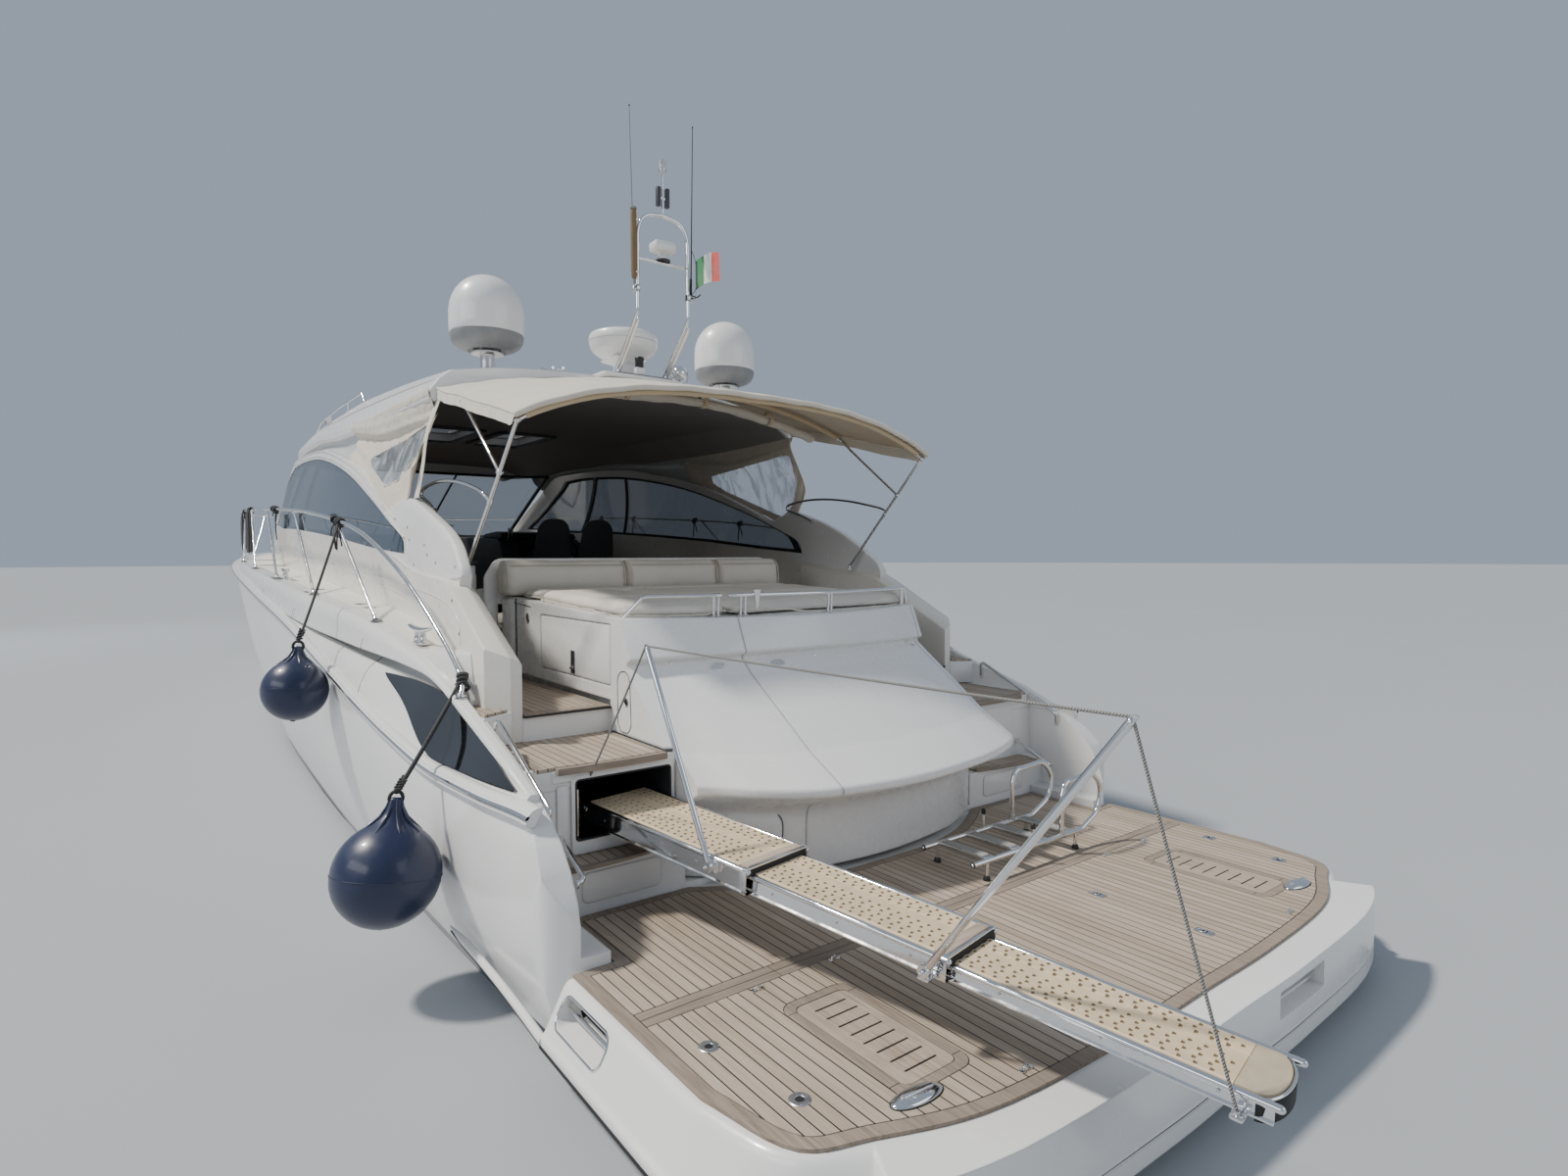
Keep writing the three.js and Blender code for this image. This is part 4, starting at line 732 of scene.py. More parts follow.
def nonskid(name, base=(0.80, 0.77, 0.70)):
    n = Nodes(name)
    d = n.new("ShaderNodeTexVoronoi", feature="F1", distance="MANHATTAN")
    d.inputs["Scale"].default_value = 150
    d.inputs["Randomness"].default_value = 0.0
    n.t.links.new(n.mapped((1, 1, 0.2), (0, 0, pi / 4)), d.inputs["Vector"])
    big = n.noise(1.3, 5, 0.6)
    c = n.mix(n.remap(big, 0.3, 0.7, 0, 1), tuple(x * 0.94 for x in base), base)
    dirt = n.ramp(n.noise(3.7, 6, 0.7), [(0.45, (0, 0, 0)), (0.78, (1, 1, 1))])
    c = n.mix(n.math("MULTIPLY", dirt, 0.18), c, (0.56, 0.51, 0.42))
    return n.set(color=c, rough=0.62, normal=n.bump(d.outputs["Distance"], 0.5, 0.001, n.round_edges(0.01, 3)))


def rope(name, a, b, pitch=0.02, rough=0.85):
    n = Nodes(name)
    w1 = n.new("ShaderNodeTexWave", wave_type="BANDS", bands_direction="DIAGONAL")
    w1.inputs["Scale"].default_value = 0.314 / pitch
    w1.inputs["Distortion"].default_value = 1.5
    n.t.links.new(n.co, w1.inputs["Vector"])
    w2 = n.noise(180, 3)
    c = n.mix(n.remap(w1.outputs["Fac"], 0.35, 0.65, 0, 1), a, b)
    return n.set(color=c, rough=rough, sheen=0.3, normal=n.bump(n.math("ADD", w1.outputs["Fac"], w2), 0.7, 0.002))


GEL = gelcoat("gelcoat", grime=0.15)
TEAK_PALE = plain_teak("teak_hatch", 1.04, "x")
GEL_SOFT = gelcoat("gelcoat_soft", rough=0.26, edge=0.02, grime=0.04)
HULL = antifouled("hull_gelcoat")
# dark grey gelcoat for the faces just under the style line: painted shade in the groove
GEL_GROOVE_PAINTED_SHADE = gelcoat("gelcoat_groove_painted_shade", (0.30, 0.30, 0.285), 0.3, 0.010, 0.8)
NONSKID = nonskid("nonskid_deck")
TEAK_X = teak("teak_platform", "x", 0.0545, 0.02725, 0.0055, 0.90)
TEAK_STEP = teak("teak_steps", "x", 0.052, 0.0, 0.005, 0.88)
TEAK_SOLE = teak("teak_cockpit", "x", 0.052, 0.0, 0.005, 0.84)
TEAK_MARGIN = plain_teak("teak_margin", 0.74, "x")
TEAK_MARGIN_Y = plain_teak("teak_margin_athwart", 0.74, "y")
CAULK = plastic("caulk", (0.012, 0.011, 0.010), 0.55, 0.1, 120)
STEEL = steel("stainless")
STEEL_DULL = steel("stainless_dull", (0.62, 0.62, 0.61), 0.24)
GALV = steel("galvanised", (0.50, 0.51, 0.52), 0.38)
CANVAS = fabric("canvas_cream", (0.74, 0.68, 0.565), 0.0016, folds=0.35)
CANVAS_SKIRT = fabric("canvas_skirt", (0.68, 0.62, 0.52), 0.0016, folds=0.9, dirt=0.3)
# tan canvas: on the canopy's underside it is a painted glow of sun through the canvas; the bow sleeves and roll straps
# are made of it too
CANVAS_TAN_AND_GLOW = fabric("canvas_tan_and_painted_glow", (0.60, 0.47, 0.30), 0.0016, folds=0.3)
PIPING = fabric("canvas_piping", (0.70, 0.65, 0.56), 0.001)
SUNPAD = leather("sunpad_vinyl", (0.70, 0.655, 0.575), 0.58)
CREAM = leather("cream_vinyl", (0.735, 0.685, 0.59), 0.5)
SEAM_DARK = plastic("stitched_seam", (0.20, 0.17, 0.13), 0.8, 0.3, 400)
BLACK_SEAT = leather("dark_leather", (0.022, 0.022, 0.024), 0.42)
BLACK = plastic("black_plastic", (0.016, 0.016, 0.017), 0.45)
RUBBER = plastic("black_rubber", (0.014, 0.014, 0.014), 0.72, 0.2)
DARK_GREY = plastic("dark_grey_moulding", (0.045, 0.047, 0.052), 0.5)
GREY_BAND = plastic("grey_band", (0.23, 0.235, 0.24), 0.45)
GREY_TREAD = plastic("grey_tread", (0.34, 0.33, 0.31), 0.6, 0.3, 300)
WHITE = plastic("white_plastic", (0.78, 0.775, 0.76), 0.32, 0.03, coat=0.2)
RADOME = gelcoat("radome_white", (0.80, 0.795, 0.775), 0.3, 0.0, 0.3)
GLASS = glass("tinted_glass", (0.045, 0.070, 0.098), 0.66)
GLASS_HULL = glass("hull_window_glass", (0.006, 0.007, 0.009), 1.0, 0.03)
GLASS_SCREEN = glass("windscreen_glass", (0.10, 0.13, 0.135), 0.34)
VINYL = vinyl_clear("clear_vinyl")
CHROME_LENS = glass("lamp_lens", (0.55, 0.58, 0.60), 0.75, 0.06)
TREAD = plastic("tan_tread", (0.66, 0.53, 0.35), 0.62, 0.35, 420)
# dark brown for the drain holes in the passerelle treads: painted shade seen through them
TREAD_HOLE_SHADE = plastic("tread_hole_painted_shade", (0.16, 0.11, 0.055), 0.8, 0.2, 300)
NAVY = plastic("navy_pvc", (0.010, 0.017, 0.055), 0.36, 0.12, 60, coat=0.25)
LINE_BLACK = rope("black_line", (0.010, 0.010, 0.011), (0.035, 0.034, 0.033), 0.008)
WIRE = rope("rigging_rope", (0.09, 0.088, 0.082), (0.30, 0.29, 0.26), 0.006, 0.6)
BRONZE = steel("bronze", (0.56, 0.40, 0.17), 0.32)
ENGINE = plastic("engine_paint", (0.33, 0.34, 0.34), 0.4, 0.1, 90)
JOINERY = None


def joinery(name, base=(0.20, 0.10, 0.05), rough=0.25):
    n = Nodes(name)
    g = n.noise(1.0, 5, 0.6, n.mapped((3, 45, 12)), 0.6)
    c = n.ramp(g, [(0.3, tuple(x * 0.55 for x in base)), (0.55, base), (0.78, tuple(min(1, x * 1.5) for x in base))])
    return n.set(color=c, rough=rough, coat=0.4, coat_rough=0.1, normal=n.bump(g, 0.08, 0.0006))


JOINERY = joinery("joinery")
CEILING = leather("ceiling_lining", (0.28, 0.265, 0.245), 0.7)
CARPET = fabric("carpet", (0.34, 0.29, 0.23), 0.003)


def flag_mat():
    n = Nodes("flag_cloth")
    x = n.sep()[0]
    c = n.mix(n.remap(x, -5.5940, -5.5950, 0, 1), (0.02, 0.22, 0.075), (0.76, 0.75, 0.72))
    c = n.mix(n.remap(x, -5.7160, -5.7170, 0, 1), c, (0.62, 0.055, 0.04))
    w = n.noise(420, 2)
    c = n.mix(n.remap(n.noise(8, 4), 0.35, 0.7, 0.0, 0.22), c, (0.30, 0.27, 0.24))
    return n.set(color=c, rough=0.85, sheen=0.2, normal=n.bump(w, 0.3, 0.0006))


FLAG = flag_mat()


# ------------------------------------------------------------------ tables shared with the CAD part (millimetres)
SECTIONS = [
    [-9300, -600, 2000, -30, 2150, 450, 2220, 1076, 2170, 1080, 1905, 1080, 1080], [-7970, -660, 2070, -30, 2200, 480, 2130, 1075, 2085, 1092, 1905, 1092, 1092],
    [-7500, -680, 2090, -30, 2240, 500, 2200, 1080, 2100, 1240, 1900, 1240, 1240], [-6950, -710, 2110, -30, 2280, 500, 2255, 1085, 2110, 1400, 1900, 1400, 1400],
    [-6100, -750, 2140, -25, 2330, 560, 2345, 1200, 2190, 1660, 1900, 1660, 1660], [-5000, -800, 2160, -15, 2380, 650, 2430, 1410, 2300, 1845, 1900, 1845, 1845],
    [-3350, -860, 2180, 10, 2420, 800, 2490, 1660, 2400, 1950, 1900, 1950, 1950], [-1000, -920, 2170, 70, 2420, 950, 2510, 1860, 2450, 2060, 1900, 2060, 2060],
    [1000, -950, 2090, 150, 2360, 1060, 2490, 2000, 2440, 2140, 1900, 2140, 2140], [3000, -950, 1920, 290, 2200, 1200, 2400, 2110, 2360, 2210, 1830, 2210, 2210],
    [3700, -940, 1830, 350, 2110, 1250, 2345, 2140, 2300, 2230, 1700, 2560, 2620], [5000, -860, 1600, 500, 1890, 1360, 2180, 2200, 2140, 2275, 1450, 2520, 2600],
    [6800, -560, 1130, 860, 1430, 1590, 1760, 2270, 1720, 2330, 950, 2400, 2470], [8200, -40, 690, 1230, 930, 1810, 1240, 2325, 1200, 2375, 500, 2385, 2410],
    [9200, 560, 340, 1560, 500, 2010, 720, 2365, 680, 2410, 260, 2412, 2418], [9800, 1200, 130, 1850, 200, 2170, 330, 2390, 300, 2430, 120, 2431, 2433],
    [10060, 1700, 40, 2050, 50, 2240, 70, 2400, 60, 2440, 30, 2440, 2441],
]
XS, KZ, CY, CZ, MY, MZ, RY, RZ, DY, DZ, TY, TZ, TC = table(SECTIONS)
HOUSE = [
    [-6930, 1900, 1885, 1660, 1870, 1690], [-6100, 1925, 1905, 2000, 1880, 2020], [-5790, 1935, 1910, 2120, 1870, 2150], [-5400, 1945, 1930, 2200, 1890, 2610],
    [-5000, 1960, 1955, 2300, 1880, 2800], [-4600, 1975, 1990, 2300, 1880, 2890], [-3350, 2000, 2040, 2350, 1900, 3080], [-2200, 2010, 2055, 2400, 1880, 3350],
    [-1000, 2010, 2060, 2480, 1860, 3470], [1000, 1990, 2030, 2560, 1840, 3540], [2000, 1940, 1960, 2600, 1840, 3210], [3000, 1880, 1880, 2640, 1850, 2820], [3400, 1850, 1850, 2600, 1840, 2660],
]
_, HFY, HMY, HMZ, HTY, HTZ = table(HOUSE)
ROOF = [
    [-4950, 1760, 3480, 1600, 3720, 3830], [-3600, 1830, 3470, 1660, 3790, 3890], [-2000, 1860, 3500, 1700, 3840, 3930], [-500, 1860, 3590, 1700, 3850, 3940],
    [800, 1830, 3600, 1650, 3820, 3920], [1500, 1760, 3570, 1560, 3740, 3850], [1950, 1500, 3540, 1300, 3600, 3700],
]
_, REY, REZ, RSY, RSZ, RCZ = table(ROOF)

TEAK_Z, STEP1_Z, STEP2_Z, SOLE_Z, TEAK_T = 0.450, 0.700, 1.180, 1.340, 0.020
STEP1_X, STEP2_X, LANDING_X = -7.735, -7.620, -6.930
WELL_Y, GARAGE_Y, SUNPAD_Y = 1.800, 1.190, 1.245

# ------------------------------------------------------------------ hull: bottom, chines and topsides up to the rub line
STYLE = Curve([-9.3, -7.97, -7.5, -6.95, -6.25, -5.16, -3.82, -2.6, -1.7, 10.1], [1.079, 1.088, 1.215, 1.365, 1.572, 1.64, 1.70, 1.765, 1.83, 2.45])
RECESS = Curve([-9.3, -7.9, -7.5, -6.9, -6.2, -5.6, -5.2, -3.8, -2.6, -1.6, -0.8, 0.2, 1.6, 10.1], [0, 0, 0.020, 0.040, 0.055, 0.085, 0.105, 0.102, 0.092, 0.078, 0.060, 0.030, 0, 0])


def topside_y(x, z):
    cz, mz, rz = CZ(x), min(MZ(x), RZ(x) - 0.02), RZ(x)
    cy, my, ry = CY(x), MY(x), RY(x)
    t = np.clip((z - cz) / (rz - cz), 0, 1)
    tm = (mz - cz) / (rz - cz)
    a = my - lerp(cy, ry, tm)
    return lerp(cy, ry, t) + a * (t * (1 - t)) / max(0.05, tm * (1 - tm))


def hull_ring(x):
    kz, cz, cy, rz = KZ(x), CZ(x), CY(x), RZ(x)
    kw, ch = min(0.08, 0.3 * cy), min(0.06, 0.4 * cy)
    half = [(0.0, kz - 0.02), (kw * 0.6, kz - 0.012), (kw, kz)]
    for t in (0.2, 0.4, 0.6, 0.8, 1.0):
        half.append((lerp(kw, cy - ch, t), lerp(kz, cz - 0.045, t) - 0.03 * sin(pi * t) * min(1, cy)))
    half += [(cy - 0.012, cz - 0.040), (cy, cz - 0.026), (cy, cz - 0.006), (cy - 0.006 * min(1, cy * 4), cz + 0.004)]
    for t in (0.012, 0.06, 0.14, 0.24, 0.36, 0.48, 0.60, 0.72, 0.83, 0.92, 1.0):
        z = lerp(cz, rz, t)
        half.append((topside_y(x, z), z))
    R = [(x, y, z) for y, z in half]
    L = [(x, -y, z) for y, z in half[1:]][::-1]
    return np.array(R + L)


hx = np.unique(np.r_[np.linspace(-8.6, -7.0, 30), np.linspace(-7.0, 6.0, 66), np.linspace(6.0, 10.06, 44)])
wing_free = moved(slab([(-9.5, 0.0995), (-8.285, 0.0995), (-8.285, 0.44), (-8.275, 0.60), (-8.235, 0.74), (-8.16, 0.86), (-8.06, 0.96), (-7.93, 1.045), (-7.80, 1.10), (-7.80, 3.0), (-9.5, 3.0)], -2.7, 2.7, "y", 0), Matrix.Identity(4))
CUTS = [
    wing_free,
    cbox(-8.4, STEP1_X, -1.905, 1.905, 0.0995, 3), cbox(-8.4, STEP1_X + 0.001, -2.040, 2.040, 0.50, 3),
    cbox(LANDING_X - 0.001, 3.35, -WELL_Y, WELL_Y, SOLE_Z, 3),
    cbox(-8.4, -5.28, -GARAGE_Y - 0.0005, GARAGE_Y + 0.0005, TEAK_Z + 0.02, 3),
    cbox(STEP2_X - 0.01, -5.9, 1.2, 1.797, 0.74, 1.13),
]
# the wings end in a rounded corner, in plan
wing_corner = [(-8.6, 1.86), (-8.2852, 1.93)] + [(-8.285 + 0.20 * (1 - cos(a)), 1.93 + 0.27 * sin(a)) for a in np.linspace(0.1, pi / 2, 12)] + [(-8.085, 2.7), (-8.6, 2.7)]
for f in (lambda q: q, mirrored):
    CUTS.append(f(slab(wing_corner, 0.0995, 3.0, "z", 0)))
for s in (1, -1):
    y0, y1, z1 = sorted((s * 1.19, s * 1.905)), 0, 0
    CUTS.append(cbox(STEP1_X - 0.001, STEP2_X, y0[0], y0[1], STEP1_Z, 3))
    y0 = sorted((s * 1.19, s * 2.040))
    CUTS.append(cbox(STEP1_X - 0.001, STEP2_X + 0.001, y0[0], y0[1], STEP1_Z + 0.02, 3))
    w = sorted((s * 1.19, s * 2.0))
    CUTS.append(cbox(STEP2_X - 0.001, LANDING_X, w[0], w[1], STEP2_Z, 3))
    w = sorted((s * 1.9, s * 2.045))
    CUTS.append(cbox(STEP2_X - 0.001, LANDING_X, w[0], w[1], STEP2_Z + 0.018, 3))
    q = sorted((s * 1.79, s * 2.062))
    CUTS.append(cbox(-7.0, -6.60, q[0], q[1], SOLE_Z, 3))
HATCH_CUT = cbox(5.35, 5.99, -0.32, 0.32, 1.8, 3)

hull_shape = boolean(loft([hull_ring(x) for x in hx]), CUTS + [cbox(5.35, 5.99, -0.32, 0.32, 1.9, 3)])
hull = Part("hull_skin", replaces=("hull",), slot="hull_gelcoat", sharp=28)
hull.add(hull_shape, HULL)
hull.done()


# ------------------------------------------------------------------ deck, bulwark, coachroof
def side_profile(x):
    """From the rub line up to the deck edge: recess under the style line, rounded bulwark above. (y, z) pairs."""
    ry, rz, dy, dz = RY(x), RZ(x), DY(x), DZ(x)
    sz = min(max(STYLE(x), rz + 0.004), dz - 0.012)
    rd = RECESS(x) * smooth((sz - rz - 0.02) / 0.12)
    base = lambda z: lerp(ry, dy, (z - rz) / max(1e-6, dz - rz))
    out = [(ry, rz + 0.0005)]
    narrow = float(smooth((x + 6.25) / 0.75) * (1 - 0.45 * smooth((x + 2.7) / 0.9)))
    for t, fb, fn in ((0.12, 0.15, 0.0), (0.3, 0.55, 0.03), (0.5, 0.85, 0.10), (0.66, 0.95, 0.26), (0.78, 1.0, 0.58), (0.87, 1.0, 0.92), (0.93, 1.0, 1.0), (0.975, 0.96, 0.90), (1.0, 0.7, 0.55)):
        f = lerp(fb, fn, narrow)
        z = lerp(rz, sz, t)
        out.append((base(z) - rd * f, z))
    rb = min(0.05, (dz - sz) * 0.9, 0.35 * dy)
    for t, f in ((0.03, 0.75), (0.12, 1.0), (0.4, 1.0)):
        z = lerp(sz, dz, t)
        out.append((base(z) + 0.006 * f * min(1, rd * 60), z))
    return out, rb


def deck_ring(x):
    dy, dz, ty, tz, cz = DY(x), DZ(x), TY(x), TZ(x), TC(x)
    half, rb = side_profile(x)
    # rounded bulwark edge
    q0 = half[-1]
    for a in (0.35, 0.7, 1.05, 1.4):
        half.append((lerp(q0[0], dy - rb * 0.6, 1 - cos(a)), lerp(q0[1], dz + 0.004, sin(a))))
    inner = min(ty + 0.06, (ty + dy) / 2)
    half.append((lerp(dy, inner, 0.28), dz + 0.006))
    half.append((lerp(dy, inner, 0.34), dz))
    half.append((lerp(dy, inner, 0.7), dz + 0.001))
    half.append((inner, dz + 0.002))
    rise = tz - dz
    if rise > 0.01:
        k = min(0.06, rise * 0.4)
        half += [(lerp(inner, ty, 0.12), dz + k * 0.4), (lerp(inner, ty, 0.3), dz + k), (lerp(inner, ty, 0.8), tz - k * 1.2), (lerp(inner, ty, 0.97) - k * 0.1, tz - k * 0.45), (ty - k * 0.55, tz + (cz - tz) * 0.05), (ty - k * 1.4, tz + (cz - tz) * 0.14)]
    else:
        half += [(lerp(inner, ty, t), dz + 0.002 + (tz - dz) * t) for t in (0.15, 0.3, 0.5, 0.7, 0.85, 1.0)]
    y0, z0 = half[-1]
    top = cz
    for k in (0.8, 0.6, 0.4, 0.2, 0.0):
        half.append((y0 * k, top - (top - z0) * (k * k)))
    R = [(x, y, z) for y, z in half]
    L = [(x, -y, z) for y, z in half[:-1]][::-1]
    return np.array(R + L)


dx = np.unique(np.r_[np.linspace(-8.35, -6.0, 50), np.linspace(-6.0, 2.9, 60), np.linspace(2.9, 3.8, 16), np.linspace(3.8, 10.06, 60)])
deck_cuts = CUTS + [HATCH_CUT, cbox(-8.6, 3.35, -1.797, 1.797, 1.13, 3)]
V, F = boolean(loft([deck_ring(x) for x in dx]), deck_cuts)
deck = Part("deck_skin", replaces=("deck_moulding",), slot="gelcoat", sharp=30)
V = np.asarray(V)


def up_face(f):
    p = V[list(f)]
    n = np.zeros(3)
    for i in range(len(p)):
        a, b = p[i], p[(i + 1) % len(p)]
        n += np.cross(a, b)
    n = unit(n)
    return abs(n[2]), p.mean(0)


shade_f = []
gel_f, deck_f, hx0 = [], [], None
for f in F:
    nz, c = up_face(f)
    x, y, z = c
    ay = abs(y)
    walk = nz > 0.9 and z > DZ(x) - 0.02 and ay < lerp(DY(x), min(TY(x) + 0.06, (TY(x) + DY(x)) / 2), 0.33) and (-6.0 < x < 9.3)
    if walk and x > 3.7 and ay > TY(x) - 0.05 and ay < TY(x) + 0.03:
        walk = False
    # faces in the groove under the style line get the dark grey gelcoat: painted shade
    under_style = -6.6 < x < 0.9 and STYLE(x) - 0.26 * (STYLE(x) - RZ(x)) < z < STYLE(x) + 0.004 and ay > DY(x) - 0.16 and nz > 0.12
    (deck_f if walk else shade_f if under_style else gel_f).append(f)
deck.add((V, gel_f), GEL)
n0 = deck.n
deck.F += [tuple(f) for f in deck_f]
deck.mats.append(NONSKID)
deck.M += [1] * len(deck_f)
deck.F += [tuple(f) for f in shade_f]
deck.mats.append(GEL_GROOVE_PAINTED_SHADE)
deck.M += [2] * len(shade_f)
deck.done()


# ------------------------------------------------------------------ rub rails: a moulded half round with a stainless strip, and a smaller bead below
def rub_shape(x, prof):
    ry, rz, my, mz, dy, dz = RY(x), RZ(x), MY(x), min(MZ(x), RZ(x) - 0.02), DY(x), DZ(x)
    q = (ry - topside_y(x, rz - 0.045)) / 0.045
    k = np.clip((ry - dy) / max(0.02, dz - rz), -1.0, 1.0)
    pts = []
    for o, h in prof:
        lean = q * min(0, h) - k * max(0, h) * 0.8
        pts.append((x, ry + o + lean, rz + h))
    return pts


RUB = [(-0.014, -0.046), (0.004, -0.047), (0.020, -0.044), (0.032, -0.036), (0.036, -0.026), (0.030, -0.021), (0.034, -0.015), (0.043, -0.009), (0.0455, 0), (0.043, 0.009), (0.036, 0.014), (0.038, 0.022), (0.032, 0.031), (0.018, 0.038), (0.002, 0.040), (-0.014, 0.036)]
rx = np.unique(np.r_[np.linspace(-7.97, -6, 26), np.linspace(-6, 6, 60), np.linspace(6, 9.8, 50)])
rub = Part("rub_rail_port_moulding", replaces=("rub_rail_port",), slot="gelcoat", sharp=40)
rub_s = Part("rub_rail_starboard_moulding", replaces=("rub_rail_starboard",), slot="gelcoat", sharp=40)
rail_shape = loft([rub_shape(x, RUB) for x in rx])
STRIP = [(0.030, -0.0085), (0.0445, -0.0085), (0.0478, -0.004), (0.0485, 0), (0.0478, 0.004), (0.0445, 0.0085), (0.030, 0.0085)]
strip = loft([rub_shape(x, STRIP) for x in rx])
for p, f in ((rub, lambda s: s), (rub_s, mirrored)):
    p.add(f(rail_shape), GEL)
    p.add(f(strip), STEEL)
    for x in np.arange(-7.8, 9.6, 0.42):  # screw heads in the strip
        y, z = RY(x) + 0.0482, RZ(x)
        p.add(f(disc((x, y, z), (0, 1, 0), 0.0045, 0.0012, 0.0006, 10)), STEEL_DULL)
    p.done()

# ------------------------------------------------------------------ quarter window in the recess of the topside, both sides
qx = np.linspace(-7.70, -5.73, 44)
q_top = Curve([-7.70, -7.20, -6.72, -6.55, -6.38, -6.09, -5.73], [1.136, 1.282, 1.420, 1.462, 1.488, 1.506, 1.512])
q_bot = Curve([-7.70, -7.28, -6.92, -6.74, -6.62, -6.15, -5.73], [1.132, 1.128, 1.130, 1.138, 1.165, 1.352, 1.506])


def recess_y(x, z):
    prof, _ = side_profile(x)
    pr = np.array(prof)
    return np.interp(z, pr[:, 1], pr[:, 0])


for tag, f in (("port", lambda s: s), ("starboard", mirrored)):
    g = Part("quarter_window_" + tag, slot="tinted_glass", sharp=40)
    rows = []
    for x in qx:
        a, b = q_bot(x), max(q_top(x), q_bot(x) + 0.004)
        rows.append([(x, recess_y(x, lerp(a, b, t)) + 0.005, lerp(a, b, t)) for t in np.linspace(0, 1, 9)])
    g.add(f(shell(rows, 0.012)), GLASS_HULL)
    edge = [r[-1] for r in rows] + [r[0] for r in rows[::-1]]
    g.add(f(tube(resample(np.array(edge + [edge[0]]), 120)[:-1], 0.0045, 6, closed=True)), BLACK)
    g.done()


# ------------------------------------------------------------------ swim platform
P_AFT, P_NX, P_HALF, P_NECK = -10.200, -8.290, 2.250, 1.890


def platform_outline(inset=0.0, n=8):
    h, a = P_HALF - inset, P_AFT + inset
    half = [(-7.745, P_NECK), (P_NX, P_NECK), (P_NX, h), (-9.35, h), (-9.75, h - 0.11), (-10.01 + inset, h - 0.33), (a + 0.06, h - 0.70), (a, 0.60), (a, 0.0)]
    cur = crom(half[3:], 6)
    pts = [half[0], half[1], half[2]] + [tuple(p) for p in cur]
    pts = pts + [(x, -y) for x, y in pts[::-1][1:]]
    return np.array(pts)


platform = Part("swim_platform_moulding", replaces=("swim_platform",), slot="gelcoat", sharp=35)
levels = [(0.60, 0.100), (0.30, 0.104), (0.16, 0.118), (0.09, 0.138), (0.05, 0.160), (0.030, 0.180), (0.012, 0.188), (0.003, 0.195), (0.0, 0.206), (0.0, 0.220), (0.004, 0.230), (0.016, 0.236), (0.026, 0.240),
          (0.036, 0.258), (0.052, 0.288), (0.070, 0.322), (0.087, 0.354), (0.101, 0.382), (0.111, 0.401), (0.120, 0.416), (0.130, 0.427), (0.142, 0.4335), (0.156, 0.436), (0.19, 0.436)]
rings = []
for d, z in levels:
    o = platform_outline(0)
    q = platform_outline(d)
    q[:, 0] = np.where(np.abs(o[:, 1]) <= P_NECK + 1e-6, o[:, 0], q[:, 0])
    q[:, 1] = np.where(np.abs(o[:, 1]) <= P_NECK + 1e-6, o[:, 1], q[:, 1])
    rings.append([(x, y, z) for x, y in q])
slots = []
for s in (1, -1):
    a, b = sorted((s * 2.06, s * 2.4))
    slots.append(rbox(-8.76, -8.34, a, b, 0.282, 0.398, 0.02, 0.045, 2, "y"))
slots.append(rbox(-10.4, -10.085, -0.79, -0.31, 0.272, 0.392, 0.01, 0.012, 2, "x"))
pshape = boolean(loft(rings), slots)
PV = np.asarray(pshape[0])
white_f, slot_shade_f = [], []
for f in pshape[1]:
    c = PV[list(f)].mean(0)
    # the deepest faces of the fairlead slot are black: painted shade
    hole = (-8.755 < c[0] < -8.345 and 0.29 < c[2] < 0.39 and 2.055 < abs(c[1]) < 2.12)
    (slot_shade_f if hole else white_f).append(f)
platform.add((PV, white_f), GEL)
platform.F += [tuple(f) for f in slot_shade_f]
platform.mats.append(RUBBER)
platform.M += [1] * len(slot_shade_f)
# dark strip under the bead, carried forward along the topsides with the bead
side = [p for p in platform_outline(0.012) if abs(abs(p[1]) - P_NECK) > 1e-6]
platform.add(tube([(x, y, 0.184) for x, y in side], 0.013, 8), RUBBER)
for s in (1, -1):
    fw = [(P_NX - 0.02, 2.236, 0.212), (-8.0, 2.232, 0.226), (-7.7, 2.238, 0.248), (-7.4, 2.252, 0.272), (-7.1, 2.272, 0.296)]
    pl = crom([(x, s * y, z) for x, y, z in fw], 6)
    platform.add(tube(pl, np.r_[np.full(len(pl) - 4, 0.020), 0.018, 0.014, 0.009, 0.004], 10), GEL)
    platform.add(tube(pl - np.array([0, 0, 0.024]), np.r_[np.full(len(pl) - 4, 0.012), 0.011, 0.009, 0.006, 0.003], 8), RUBBER)
platform.done()

# ---- teak on the platform: planks with the margin boards round them
TEAK_OUT = platform_outline(0.158)
foot_half = [(-7.700, 1.240), (-7.760, 1.150), (-7.960, 0.800), (-8.070, 0.400), (-8.085, 0.0)]


def foot_outline(o):
    f = crom([(x - o, y + (o * 0.55 if y else 0)) for x, y in foot_half], 6)
    return [tuple(p) for p in f] + [(x, -y) for x, y in f[::-1][1:]] + [(-5.2, -1.7), (-5.2, 1.7)]


def wing_outline(o, s):
    return [(-7.0, s * (1.905 - o))] + [(-8.285 - o, s * (1.905 - o))] + [(-8.285 - o * cos(a) + 0.20 * (1 - cos(a)), s * (1.93 + (0.27 + o) * sin(a))) for a in np.linspace(0.0, 1.35, 10)] + [(-8.0, s * 2.6), (-7.0, s * 2.6)]


def teak_body(out, z0, z1, o=0.0, extra=(), r=0.0):
    """Deck outline less the foot of the transom moulding and of the wings, kept back by o."""
    return boolean(slab(out, z0, z1, "z", r), [slab(foot_outline(0.010 + o), 0, 0.9, "z", 0), slab(wing_outline(0.006 + o, 1), 0, 0.9, "z", 0), slab(wing_outline(0.006 + o, -1), 0, 0.9, "z", 0)] + list(extra))


